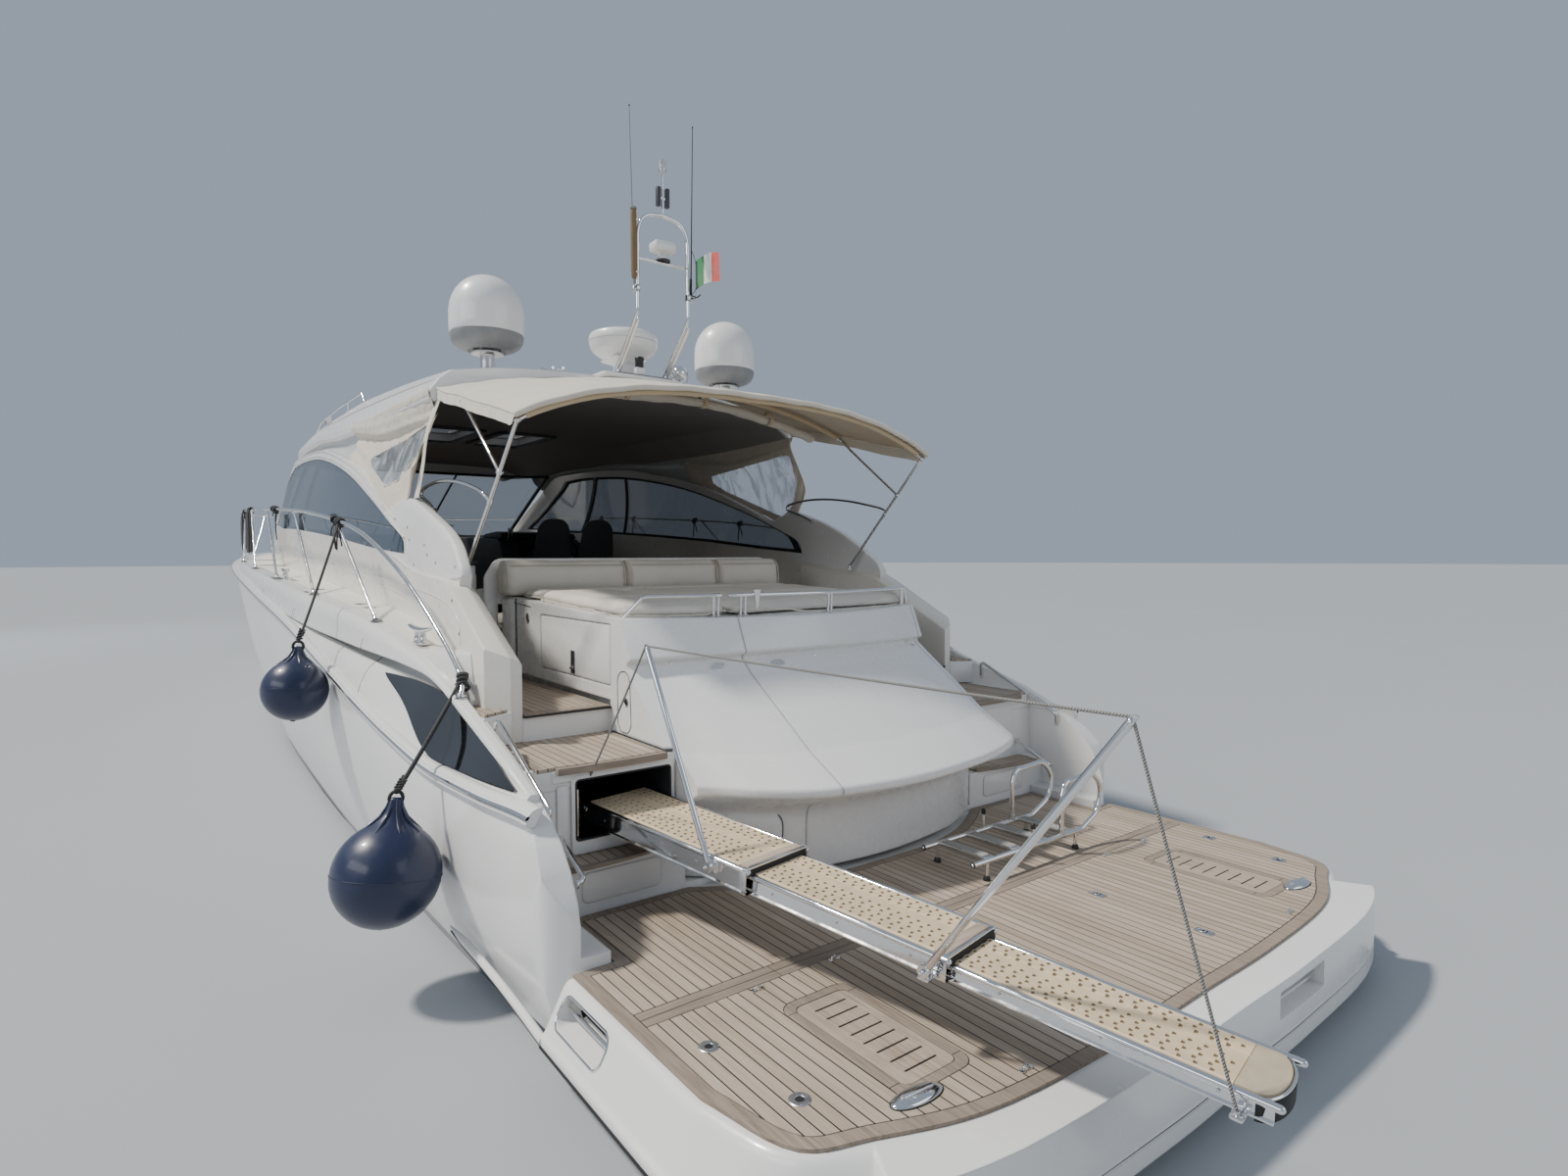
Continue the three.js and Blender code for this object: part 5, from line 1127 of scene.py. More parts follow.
pt = Part("platform_planking", replaces=("platform_teak",), slot="teak", sharp=30)
MB, SG = 0.056, 0.0045  # margin board, black seam
TO = ccw(TEAK_OUT)
TO = np.array([(min(x, -7.752), y) for x, y in TO])
inner_all = np.array([(min(x, -7.752 - MB), y) for x, y in inset2(TO, MB)])
field_out = np.array([(min(x, -7.752 - MB - SG), y) for x, y in inset2(TO, MB + SG)])
# margin boards round the outside, round the transom's foot and round the wings
ring_cut = teak_body(inner_all, 0.3, 0.9, MB)
pt.add(boolean(teak_body(TO, 0.4365, TEAK_Z), [ring_cut]), TEAK_MARGIN)
KING = [(-8.856, -8.804), (-8.800, -8.748)]
HX0, HX1, HY0, HY1, HR = -9.785, -9.050, 1.180, 1.550, 0.075
cut_f = [cbox(KING[0][0] - SG, KING[1][1] + SG, -3, 3, 0.3, 0.9)]
for s in (1, -1):
    a, b = sorted((s * HY0, s * HY1))
    cut_f.append(slab(rrect(HX0, HX1, a, b, HR, 6), 0.3, 0.9, "z", 0))
pt.add(teak_body(field_out, 0.4365, TEAK_Z - 0.0004, MB + SG, cut_f), TEAK_X)
pt.add(teak_body(inset2(TO, 0.004), 0.4362, 0.4470), CAULK)
yk = 2.03
for a, b in KING:
    for y0, y1 in ((-yk, -1.37), (-1.365, -0.685), (-0.68, -0.0025), (0.0025, 0.68), (0.685, 1.365), (1.37, yk)):
        pt.add(rbox(a, b, y0, y1, 0.4365, TEAK_Z, 0.0012, 0.002, 1), TEAK_MARGIN_Y)
for s in (1, -1):
    a, b = sorted((s * HY0, s * HY1))
    g1, g2, g3 = 0.0035, 0.048, 0.0515
    border = boolean(slab(rrect(HX0 + g1, HX1 - g1, a + g1, b - g1, HR - g1, 6), 0.4366, TEAK_Z, "z", 0.001, 1), [slab(rrect(HX0 + g2, HX1 - g2, a + g2, b - g2, HR - g2 + 0.012, 6), 0.3, 0.9, "z", 0)]
                     + [cbox(xx - 0.0015, xx + 0.0015, yy - 0.03, yy + 0.03, 0.3, 0.9) for xx in (HX0 + 0.08, HX1 - 0.08) for yy in (a + 0.02, b - 0.02)])
    pt.add(border, TEAK_MARGIN)
    sl = []
    for i in range(8):
        xc = -9.170 - 0.0714 * i
        y0, y1 = sorted((s * 1.275, s * 1.442))
        sl.append(slab(rrect(xc - 0.0048, xc + 0.0048, y0, y1, 0.0045, 3), 0.3, 0.9, "z", 0))
    pt.add(boolean(slab(rrect(HX0 + g3, HX1 - g3, a + g3, b - g3, HR - g3 + 0.012, 6), 0.4366, TEAK_Z - 0.0004, "z", 0.001, 1), sl), TEAK_PALE)
pt.done()

# ---- fittings let into the platform
fit = Part("platform_fittings", slot="stainless", sharp=35)
for s in (1, -1):
    # pop-up cleat: domed oval with its bar and finger grooves
    x, y = -9.795, s * 1.510
    c = [(0.112 * cos(t), 0.046 * sin(t)) for t in np.linspace(0, 2 * pi, 40)[:-1]]
    rr = [np.stack([np.array(c)[:, 0] * k, np.array(c)[:, 1] * k, np.full(len(c), h)], 1) for k, h in ((1, -0.002), (1, 0.003), (0.97, 0.007), (0.88, 0.013), (0.70, 0.018), (0.4, 0.021), (0.1, 0.0215))]
    fit.add(place(loft(rr), (x, y, TEAK_Z), (0.07, 1, 0)), STEEL)
    fit.add(place(slab(rrect(-0.072, 0.072, -0.011, 0.011, 0.011, 5), 0.012, 0.0265, "z", 0.005, 3), (x, y, TEAK_Z), (0.07, 1, 0)), STEEL)
    for k in (-0.05, 0.05):
        fit.add(place(slab(rrect(k - 0.016, k + 0.016, -0.030, 0.030, 0.012, 4), 0.006, 0.0165, "z", 0.003, 2), (x, y, TEAK_Z), (0.07, 1, 0)), STEEL_DULL)
    fit.add(place(tube([(0.113 * cos(t), 0.047 * sin(t), 0.0015) for t in np.linspace(0, 2 * pi, 40)[:-1]], 0.0022, 6, closed=True), (x, y, TEAK_Z), (0.07, 1, 0)), RUBBER)
    for px, py in ((-9.115, 1.912), (-9.564, 1.834)):  # round sockets
        fit.add(lathe([(0, -0.004), (0.040, -0.004), (0.040, 0.001), (0.037, 0.0032), (0.019, 0.0032), (0.017, 0.0012), (0.0, 0.0012)], 30, (px, s * py, TEAK_Z)), STEEL_DULL)
        fit.add(disc((px, s * py, TEAK_Z + 0.001), (0, 0, 1), 0.0165, 0.0012, 0.0005, 20), BLACK)
        for q in range(3):
            fit.add(disc((px + 0.029 * cos(q * 2.09 + 0.5), s * py + 0.029 * sin(q * 2.09 + 0.5), TEAK_Z + 0.0028), (0, 0, 1), 0.0035, 0.0008, 0.0003, 10), STEEL)
    for px, py in ((-9.194, 0.515), (-9.769, 0.515)):  # flush lifting rings
        fit.add(rbox(px - 0.045, px + 0.045, s * py - 0.026, s * py + 0.026, TEAK_Z - 0.002, TEAK_Z + 0.003, 0.0012, 0.010, 2), STEEL_DULL)
        fit.add(rbox(px - 0.016, px + 0.016, s * py - 0.014, s * py + 0.014, TEAK_Z, TEAK_Z + 0.0036, 0.0005, 0.006, 1), BLACK)
        fit.add(tube([(px + 0.012 + 0.019 * cos(t), s * py + 0.015 * sin(t), TEAK_Z + 0.0048) for t in np.linspace(0, 2 * pi, 18)[:-1]], 0.0024, 6, closed=True), STEEL)
    for px, py in ((-8.889, 1.525), (-8.883, 1.094), (-9.925, 1.090)):  # padeyes
        for k in (-0.020, 0.020):
            fit.add(disc((px, s * py + k, TEAK_Z), (0, 0, 1), 0.013, 0.005, 0.0015, 18), STEEL)
            fit.add(disc((px, s * py + k, TEAK_Z + 0.0045), (0, 0, 1), 0.004, 0.0012, 0.0005, 10), STEEL_DULL)
        fit.add(tube(crom([(px, s * py - 0.012, TEAK_Z + 0.002), (px, s * py - 0.011, TEAK_Z + 0.012), (px, s * py, TEAK_Z + 0.019), (px, s * py + 0.011, TEAK_Z + 0.012), (px, s * py + 0.012, TEAK_Z + 0.002)], 4), 0.0035, 8), STEEL)
    # fairlead in the side: bar across the slot and its rim
    yb = 2.1515
    fit.add(tube([(-8.75, s * 2.13, 0.335), (-8.35, s * 2.13, 0.335)], 0.010, 10), STEEL)
    rim = fillet([(-8.765, 0.276), (-8.335, 0.276), (-8.335, 0.404), (-8.765, 0.404)], 0.05, 6)
    fit.add(tube([(x, s * (2.25 - np.interp(z, [0.24, 0.288, 0.322, 0.354, 0.382, 0.401, 0.416], [0.026, 0.052, 0.070, 0.087, 0.101, 0.111, 0.120]) + 0.001), z) for x, z in rim], 0.005, 8, closed=True), STEEL)
    # lug on the corner of the bead
    fit.add(place(boolean(slab(fillet([(-0.035, -0.03), (0.035, -0.03), (0.035, 0.03), (-0.035, 0.03)], 0.014, 4), -0.004, 0.004, "z", 0.001, 1), [slab([(0.012 + 0.009 * cos(t), 0.009 * sin(t)) for t in np.linspace(0, 2 * pi, 14)[:-1]], -0.01, 0.01, "z", 0)]), (-9.965, s * 1.955, 0.214), (-0.6, s * 0.8, 0)), STEEL)
# recessed grab bar in the aft face
for y in (-0.75, -0.35):
    fit.add(tube([(-10.092, y, 0.315), (-10.150, y, 0.315)], 0.008, 8), STEEL)
    fit.add(disc((-10.088, y, 0.315), (-1, 0, 0), 0.018, 0.004), STEEL)
fit.add(tube([(-10.150, -0.772, 0.315), (-10.150, -0.328, 0.315)], 0.011, 12, dome=True), STEEL)
fit.done()

# ------------------------------------------------------------------ transom moulding and lid: one swept profile, split at the seam
TR = [[1245, -7560, -7820, -7300, -7300], [1130, -7700, -7890, -7330, -7310], [950, -7850, -8110, -7370, -7320], [600, -8010, -8340, -7400, -7330], [0, -8080, -8420, -7420, -7340],
      [-600, -8010, -8345, -7400, -7330], [-950, -7880, -8240, -7370, -7320], [-1130, -7770, -8160, -7340, -7310], [-1245, -7640, -8080, -7300, -7300]]
_ty, TFX, TLX, TRX, TPX = table(sorted(TR))


def edge_x(y):
    """Aft edge of the sunpad in plan: crowned aft, drawn forward at the corners."""
    return -7.420 + 0.220 * (y + 0.05) ** 2


def band_foot(y):
    """Lower edge of the upper band, which overhangs the lid below it."""
    return -7.490 + 0.182 * y * y, 1.692 - 0.030 * (y / 1.245) ** 2


def follow_edge(V):
    """Bend what lies along a straight aft edge at x -7.262 to the crowned one."""
    V = np.array(V, float)
    w = np.clip((-6.45 - V[:, 0]) / 0.75, 0, 1)
    w = w * w * (3 - 2 * w)
    V[:, 0] += (edge_x(V[:, 1]) + 0.030 + 7.262) * w
    return V


def transom_line(y):
    fx, lx = TFX(y), TLX(y)
    bx, bz = band_foot(y)
    rx_, tx, tz = bx + 0.060, edge_x(y), 1.893 + 0.010 * (y / 1.245) ** 2
    pts = [(-5.300, TEAK_Z + 0.03), (fx, TEAK_Z + 0.03), (fx - 0.010, 0.860), (lx + 0.004, 0.985), (lx + 0.004, 1.030), (lerp(lx, rx_, 0.30), 1.180), (lerp(lx, rx_, 0.60), 1.375), (lerp(lx, rx_, 0.88), 1.550),
           (rx_, bz - 0.034), (bx + 0.012, bz - 0.012), (bx, bz), (tx, tz), (-5.300, 1.960)]
    rs = [0.0, 0.012, 0.10, 0.022, 0.03, 0.25, 0.30, 0.12, 0.016, 0.006, 0.008, 0.018, 0.0]
    return fillet(pts, rs, 5)


ys = np.r_[np.linspace(-1.245, -1.20, 4), np.linspace(-1.18, -0.6, 16), np.linspace(-0.56, 0.56, 20), np.linspace(0.6, 1.18, 16), np.linspace(1.20, 1.245, 4)]
ys = np.unique(np.round(ys, 4))


def transom_ring(y, side_in=0.0):
    P = transom_line(y)
    k = side_in
    if k:
        c = np.array([[-6.4, 1.2]])
        d = P - c
        P = P - d / np.maximum(np.linalg.norm(d, axis=1, keepdims=True), 1e-6) * k
    return np.stack([P[:, 0], np.full(len(P), y), P[:, 1]], 1)


rings = [transom_ring(y) for y in ys]
# rounded rings for the side edges, worked out but not added to the body
e0, e1 = [], []
for a in (1.35, 0.9, 0.45):
    r_ = 0.018
    q = transom_ring(-1.245 + 0.0, r_ * (1 - cos(a)))
    e0.append(q + np.array([0, r_ * (1 - sin(a)) * 0 + 0.0, 0]))
body = loft(rings)
# hollow inside
IN_Z0 = TEAK_Z + 0.029


def inner_line(y):
    fx, lx = TFX(y), TLX(y)
    bx, bz = band_foot(y)
    rx_, px = bx + 0.060, max(bx + 0.06, edge_x(y))
    return np.array([(-5.42, IN_Z0), (fx + 0.06, IN_Z0), (fx + 0.06, 0.90), (lx + 0.11, 1.01), (lx + 0.12, 1.03), (lerp(lx, rx_, 0.45) + 0.09, 1.28), (lerp(lx, rx_, 0.85) + 0.07, 1.50), (rx_ + 0.07, 1.58), (rx_ + 0.08, 1.64), (px + 0.10, 1.82), (-5.42, 1.885)])


inner_rings = [np.stack([inner_line(y * 1.245 / 1.12)[:, 0], np.full(11, y), inner_line(y * 1.245 / 1.12)[:, 1]], 1) for y in np.linspace(-1.12, 1.12, 30)]
hollow = loft(inner_rings)
side_cuts = [
    cbox(-7.64, -5.2, GARAGE_Y - 0.0005, 1.4, 0, STEP2_Z + TEAK_T + 0.0005), cbox(-7.64, -5.2, -1.4, -GARAGE_Y + 0.0005, 0, STEP2_Z + TEAK_T + 0.0005),
    cbox(-6.935, -5.2, GARAGE_Y - 0.0005, 1.4, 0, SOLE_Z + TEAK_T + 0.03), cbox(-6.935, -5.2, -1.4, -GARAGE_Y + 0.0005, 0, SOLE_Z + TEAK_T + 0.03),
    cbox(-8.5, STEP2_X + 0.005, 1.18, 1.4, 0, 1.215), cbox(-8.5, STEP2_X + 0.005, -1.4, -1.18, 0, 0.74)]
shell_all = boolean(body, [hollow] + side_cuts)
SEAM = 0.560
lid_zone = cbox(-9, -5.653, -1.177, SEAM - 0.003, 0, 3)
fix_zone = cbox(-9, -5.647, -1.183, SEAM + 0.003, 0, 3)
LK = dict(x0=-6.940, x1=-5.810, z0=1.475, z1=1.860)
lid_shape = boolean(shell_all, [lid_zone], "INTERSECT")
fixed_shape = boolean(shell_all, [fix_zone, cbox(LK["x0"], LK["x1"], 1.0, 1.3, LK["z0"], LK["z1"])])
liner = boolean(rbox(LK["x0"] - 0.03, LK["x1"] + 0.03, 0.78, 1.128, LK["z0"] - 0.03, LK["z1"] + 0.03, 0.01), [cbox(LK["x0"], LK["x1"], 0.81, 1.2, LK["z0"], LK["z1"])])

RAIL_X, RAIL_Z, RAIL_F = -7.262, 2.032, 1.886
tm = Part("transom_shell", replaces=("transom_moulding",), slot="gelcoat", sharp=34)
tm.add(fixed_shape, GEL_SOFT)
tm.add(liner, GEL)
lid = Part("garage_lid_shell", "garage_lid", replaces=("garage_lid",), slot="gelcoat", sharp=34)
lid.add(lid_shape, GEL_SOFT)


def rail_post(part, x, y, z0, z1, r=0.009):
    part.add(tube([(x + 0.007, y, z0), (x, y, z1)], r, 10), STEEL)
    part.add(lathe([(0, 0), (0.024, 0), (0.024, 0.003), (0.016, 0.007), (0.011, 0.009), (0, 0.009)], 18, (x + 0.0065, y, z0 + 0.016)), STEEL)


def rail_xy(y):
    return edge_x(y) + 0.034


bar = [(rail_xy(1.205), 1.205, RAIL_F + 0.012)] + [(rail_xy(y), y, RAIL_Z) for y in np.linspace(1.095, 0.650, 12)]
tm.add(tube(fillet(bar, [0.0, 0.05] + [0.0] * 11, 6, closed=False), 0.0125, 14, dome=True), STEEL)
for y in (0.662, 0.690):
    rail_post(tm, rail_xy(y), y, RAIL_F, RAIL_Z)
bar = [(rail_xy(y), y, RAIL_Z) for y in np.linspace(0.590, -1.120, 40)] + [(rail_xy(-1.165), -1.165, RAIL_F + 0.012)]
lid.add(tube(fillet(bar, [0.0] * 39 + [0.03, 0.0], 6, closed=False), 0.0125, 14, dome=True), STEEL)
for y in (0.520, 0.490, -0.150, -0.178, -1.070, -1.098):
    rail_post(lid, rail_xy(y), y, RAIL_F, RAIL_Z)
# tapered socket on the rail beside the gap, and the two sleeves of its clamp
sx = rail_xy(0.425) - 0.022
lid.add(lathe([(0, -0.088), (0.007, -0.086), (0.010, -0.070), (0.024, 0.026), (0.026, 0.034), (0.022, 0.036), (0.019, 0.030), (0, 0.026)], 22, (sx, 0.425, RAIL_Z)), STEEL)
for dy_ in (-0.020, 0.020):
    lid.add(lathe([(0, -0.007), (0.0165, -0.007), (0.0165, 0.007), (0, 0.007)], 18, (rail_xy(0.425), 0.425 + dy_, RAIL_Z), (0, 1, 0)), STEEL)


def on_transom(y, z):
    """x of the moulding's aft face at a height, above the lip."""
    P = transom_line(y)
    best = None
    for i in range(len(P) - 1):
        a, b = P[i], P[i + 1]
        if (a[1] - z) * (b[1] - z) <= 0 and abs(a[1] - b[1]) > 1e-9:
            t = (z - a[1]) / (b[1] - a[1])
            x = lerp(a[0], b[0], t)
            best = x if best is None else min(best, x)
    return best


# oval courtesy lights on the sloping face
for part, y, z in ((tm, 0.735, 1.600), (lid, 0.345, 1.602), (lid, -1.050, 1.610)):
    x = on_transom(y, z)
    x2 = on_transom(y, z + 0.05)
    up_v = unit((x2 - x, 0, 0.05))
    nrm = unit(np.cross((0, 1, 0), up_v))
    if nrm[0] > 0:
        nrm = -nrm
    c = [(0.055 * cos(t), 0.026 * sin(t)) for t in np.linspace(0, 2 * pi, 30)[:-1]]
    part.add(place(slab(c, -0.002, 0.005, "z", 0.002, 2), (x, y, z), (0, 1, 0), nrm), STEEL)
    c2 = [(0.041 * cos(t), 0.016 * sin(t)) for t in np.linspace(0, 2 * pi, 30)[:-1]]
    part.add(place(slab(c2, 0.004, 0.007, "z", 0.001, 2), (x, y, z), (0, 1, 0), nrm), CHROME_LENS)
# end panel between the sunpad base and the back of the cockpit seat
tm.add(rbox(-5.330, -5.056, 1.205, SUNPAD_Y, SOLE_Z + 0.022, 1.962, 0.004, 0.008, 2, "y"), GEL_SOFT)
# snap studs in a row under the band
for part, y in ((tm, 1.00), (lid, 0.03), (lid, -0.42), (lid, -0.80)):
    x = on_transom(y, 1.628)
    part.add(disc((x + 0.001, y, 1.628), (-1, 0, 0.35), 0.0075, 0.005, 0.002, 14), STEEL)
# on the port side wall: oval hatch with a round catch, round flush ring and a narrow slot above the locker flap
SW = SUNPAD_Y + 0.0006
oval = fillet([(-7.215, 1.215), (-7.035, 1.215), (-7.035, 1.575), (-7.195, 1.595)], 0.075, 8)
tm.add(tube([(x, SW, z) for x, z in oval], 0.0026, 6, closed=True), DARK_GREY)
tm.add(lathe([(0, 0), (0.027, 0), (0.027, 0.003), (0.023, 0.005), (0.021, 0.003), (0, 0.003)], 26, (-7.150, SW - 0.001, 1.404), (0, 1, 0)), STEEL_DULL)
tm.add(disc((-7.150, SW + 0.001, 1.404), (0, 1, 0), 0.0195, 0.004, 0.0015, 22), BLACK)
ring_ = [(-5.557 + 0.025 * cos(t), SW, 1.820 + 0.034 * sin(t)) for t in np.linspace(0, 2 * pi, 30)[:-1]]
tm.add(tube(ring_, 0.006, 8, closed=True), STEEL_DULL)
tm.add(place(slab([(0.021 * cos(t), 0.029 * sin(t)) for t in np.linspace(0, 2 * pi, 26)[:-1]], -0.001, 0.003, "z", 0.001, 1), (-5.557, SW, 1.820), (1, 0, 0), (0, 1, 0)), BLACK)
tm.add(tube([(-5.184, SW - 0.001, 1.927), (-5.619, SW - 0.001, 1.905)], 0.0034, 6), BLACK)
# oval access panel under the lip, with a round latch
yy, zz = 0.86, 0.74
xx = TFX(yy) - 0.004
hd = unit((TFX(yy + 0.1) - TFX(yy - 0.1), 0.2, 0))
nn = unit(np.cross(hd, (0, 0, 1)))
if nn[0] > 0:
    nn = -nn
c = fillet([(-0.17, -0.11), (0.17, -0.11), (0.17, 0.11), (-0.17, 0.11)], 0.09, 8)
lx_ = np.cross(nn, hd)
tm.add(place(slab(c, -0.004, 0.008, "z", 0.004, 2), (xx, yy, zz), hd, nn), GEL)
tm.add(tube([np.array((xx, yy, zz)) + hd * p[0] + lx_ * p[1] + nn * 0.002 for p in fillet([(-0.176, -0.116), (0.176, -0.116), (0.176, 0.116), (-0.176, 0.116)], 0.095, 8)], 0.003, 6, closed=True), DARK_GREY)
tm.add(place(lathe([(0, 0), (0.022, 0), (0.022, 0.004), (0.018, 0.006), (0, 0.006)], 22), np.array((xx, yy, zz)) + hd * 0.11 + nn * 0.008, hd, nn), STEEL)
tm.done()
lid.done()

# locker flap, hinged along its top edge, with a tall slot latch at the middle of the foot; a round flush ring forward of it
door = Part("locker_door_panel", "locker_door", replaces=("locker_door",), slot="gelcoat", sharp=35)
door.add(rbox(LK["x0"] + 0.005, LK["x1"] - 0.005, SUNPAD_Y - 0.018, SUNPAD_Y - 0.0005, LK["z0"] + 0.005, LK["z1"] - 0.005, 0.005, 0.018, 2, "y"), GEL_SOFT)
xl_ = -6.372
door.add(rbox(xl_ - 0.036, xl_ + 0.036, SUNPAD_Y - 0.003, SUNPAD_Y + 0.0012, 1.487, 1.648, 0.0015, 0.012, 2, "y"), STEEL)
door.add(rbox(xl_ - 0.022, xl_ + 0.026, SUNPAD_Y - 0.001, SUNPAD_Y + 0.0022, 1.497, 1.640, 0.001, 0.006, 2, "y"), BLACK)
door.add(disc((xl_ + 0.002, SUNPAD_Y + 0.002, 1.532), (0, 1, 0), 0.013, 0.006, 0.002, 18), STEEL)
door.add(tube([(xl_ + 0.002, SUNPAD_Y + 0.007, 1.532), (xl_ + 0.034, SUNPAD_Y + 0.009, 1.524)], 0.0045, 8, dome=True), BLACK)
door.done()

# ------------------------------------------------------------------ steps: treads with darker nosings
for tag, s in (("port", 1), ("starboard", -1)):
    f = (lambda q: q) if s > 0 else mirrored
    st = Part("stair_treads_" + tag, replaces=("stair_teak_" + tag,), slot="teak", sharp=35)
    z1 = STEP1_Z + TEAK_T
    # first tread: curved front edge
    fr1 = crom([(-7.745, 1.262), (-7.785, 1.45), (-7.808, 1.66), (-7.81, 1.888)], 6)
    body1 = [(x, y) for x, y in fr1] + [(STEP2_X - 0.0005, 1.888), (STEP2_X - 0.0005, 1.262)]
    st.add(f(slab([(x + 0.045, y) if x < -7.7 else (x, y) for x, y in body1], STEP1_Z + 0.001, z1 - 0.0004, "z", 0.001, 1)), TEAK_STEP)
    st.add(f(slab([(x, y) for x, y in fr1] + [(x + 0.043, y) for x, y in fr1[::-1]], STEP1_Z + 0.0005, z1, "z", 0.006, 3)), TEAK_MARGIN_Y)
    z2 = STEP2_Z + TEAK_T
    fr2 = crom([(-7.675, 1.262), (-7.682, 1.5), (-7.675, 1.75), (-7.66, 1.888)], 5)
    body2 = [(x + 0.05, y) for x, y in fr2] + [(-7.615, 1.89), (-7.615, 1.985), (LANDING_X - 0.003, 1.985), (LANDING_X - 0.003, 1.262)]
    st.add(f(slab(body2, STEP2_Z + 0.001, z2 - 0.0004, "z", 0.001, 1)), TEAK_STEP)
    st.add(f(slab([(x, y) for x, y in fr2] + [(x + 0.040, y) for x, y in fr2[::-1]], STEP2_Z - 0.018, z2, "z", 0.006, 3)), TEAK_MARGIN_Y)
    st.add(f(rbox(STEP2_X + 0.008, LANDING_X - 0.003, 1.262, 1.305, STEP2_Z + 0.001, z2 + 0.0002, 0.001, 0.002, 1)), TEAK_MARGIN)
    st.add(f(rbox(-7.60, LANDING_X - 0.003, 1.94, 1.986, STEP2_Z + 0.001, z2 + 0.0002, 0.001, 0.002, 1)), TEAK_MARGIN)
    st.done()
    # risers with a moulded frame and shallow panel
    rs = Part("stair_risers_" + tag, slot="gelcoat", sharp=35)
    if s < 0:
        rs.add(f(rbox(STEP2_X - 0.006, STEP2_X + 0.002, 1.32, 1.83, STEP1_Z + 0.09, STEP2_Z - 0.06, 0.004, 0.05, 2, "x")), GEL)
    rs.add(f(rbox(STEP1_X - 0.005, STEP1_X + 0.002, 1.34, 1.80, 0.50, 0.66, 0.004, 0.04, 2, "x")), GEL)
    rs.add(f(rbox(-6.936, -6.915, 1.19, 1.803, 1.13, 1.3405, 0.001, 0.002, 1)), GEL)
    rs.add(f(rbox(-7.632, -7.600, 1.19, 1.905, 1.118, 1.1805, 0.001, 0.002, 1)), GEL)
    # side step: moulded base, small teak pad, and the end of the side deck above it
    base = [(-6.58, 1.95), (-6.58, 2.061), (-7.050, 2.061), (-6.945, 1.868), (-6.90, 1.868), (-6.82, 1.95)]
    rs.add(f(slab(base, 1.2012, 1.3830, "z", 0.006, 2)), GEL)
    rs.add(f(loft([[(x - 0.10 * (1 - k) if x < -6.2 else x, y, lerp(1.36, zt, k)) for x, y, zt in ((-6.592, 1.95, 1.700), (-6.592, 1.988, 1.700), (-6.36, 2.118, 1.690), (-5.95, 2.150, 1.690), (-5.95, 1.95, 1.700))] for k in (0, 0.5, 0.96)] + [[(x + (0.012 if x < -6.2 else 0), y - 0.008, zt + 0.002) for x, y, zt in ((-6.592, 1.96, 1.700), (-6.592, 1.990, 1.700), (-6.36, 2.118, 1.690), (-5.95, 2.150, 1.690), (-5.95, 1.96, 1.700))]])), GEL)
    st2 = [(-6.665, 1.975), (-6.665, 2.050), (-7.026, 2.050), (-6.937, 1.892), (-6.835, 1.985)]
    rs.done()
    sp = Part("side_step_teak_" + tag, slot="teak", sharp=35)
    sp.add(f(slab(st2, 1.3825, 1.4000, "z", 0.003, 2)), TEAK_STEP)
    sp.done()

# ------------------------------------------------------------------ passerelle: built in its own axes (x outboard, y to port, z up) and laid along its heading
PH, PS = math.radians(10.5), math.radians(3.3)
P_DIR = arr(-cos(PH) * cos(PS), -sin(PH) * cos(PS), -sin(PS))
P_SIDE = arr(-sin(PH), cos(PH), 0)
P_UP = np.cross(P_SIDE, P_DIR)
P_UP = P_UP if P_UP[2] > 0 else -P_UP
PIVOT = arr(-7.420, 1.470, 0.960)


def PL(shape):
    V, F = shape
    V = np.asarray(V, float)
    return PIVOT + V[:, :1] * P_DIR + V[:, 1:2] * P_SIDE + V[:, 2:3] * P_UP, F


def PW(x, y, z):
    return PIVOT + x * P_DIR + y * P_SIDE + z * P_UP


def hole_rows(part, x0, x1, half, z, z_lip=0.0016):
    """Staggered rows of moulded D-shaped drain holes, drawn as flat dark patches (painted shade seen through the
    holes), in two bands with a groove between.
    """
    rows = np.array([-0.86, -0.66, -0.46, -0.20, 0.02, 0.24, 0.46, 0.66, 0.86]) * half
    pitch = 0.0485
    Vh, Fh, Vl, Fl = [], [], [], []
    nh = nl = 0
    ang = np.linspace(-pi / 2, pi / 2, 6)
    for r, y in enumerate(rows):
        if r in (3,):
            continue
        x = x0 + (0.5 if r % 2 else 1.0) * pitch * 0.5
        while x < x1 - 0.012:
            d = [(x - 0.0045, y - 0.0085)] + [(x - 0.0045 + 0.0125 * cos(a), y + 0.0085 * sin(a)) for a in ang] + [(x - 0.0045, y + 0.0085)]
            d = d[:-1]
            Vh += [(px, py, z + 0.0006) for px, py in d]
            Fh.append(tuple(range(nh, nh + len(d))))
            nh += len(d)
            # raised lip behind the hole
            for px, w in ((x - 0.0085, 0.0),):
                q = [(px, y - 0.009, z + 0.0002), (px + 0.004, y - 0.009, z + 0.0002), (px + 0.004, y + 0.009, z + 0.0002), (px, y + 0.009, z + 0.0002), (px + 0.0012, y - 0.0075, z + 0.0028), (px + 0.0036, y - 0.0075, z + 0.0028), (px + 0.0036, y + 0.0075, z + 0.0028), (px + 0.0012, y + 0.0075, z + 0.0028)]
                Vl += q
                Fl += [(nl + 0, nl + 1, nl + 5, nl + 4), (nl + 1, nl + 2, nl + 6, nl + 5), (nl + 2, nl + 3, nl + 7, nl + 6), (nl + 3, nl + 0, nl + 4, nl + 7), (nl + 4, nl + 5, nl + 6, nl + 7)]
                nl += 8
            x += pitch
    part.add(PL((np.array(Vh), Fh)), TREAD_HOLE_SHADE)
    part.add(PL((np.array(Vl), Fl)), TREAD)


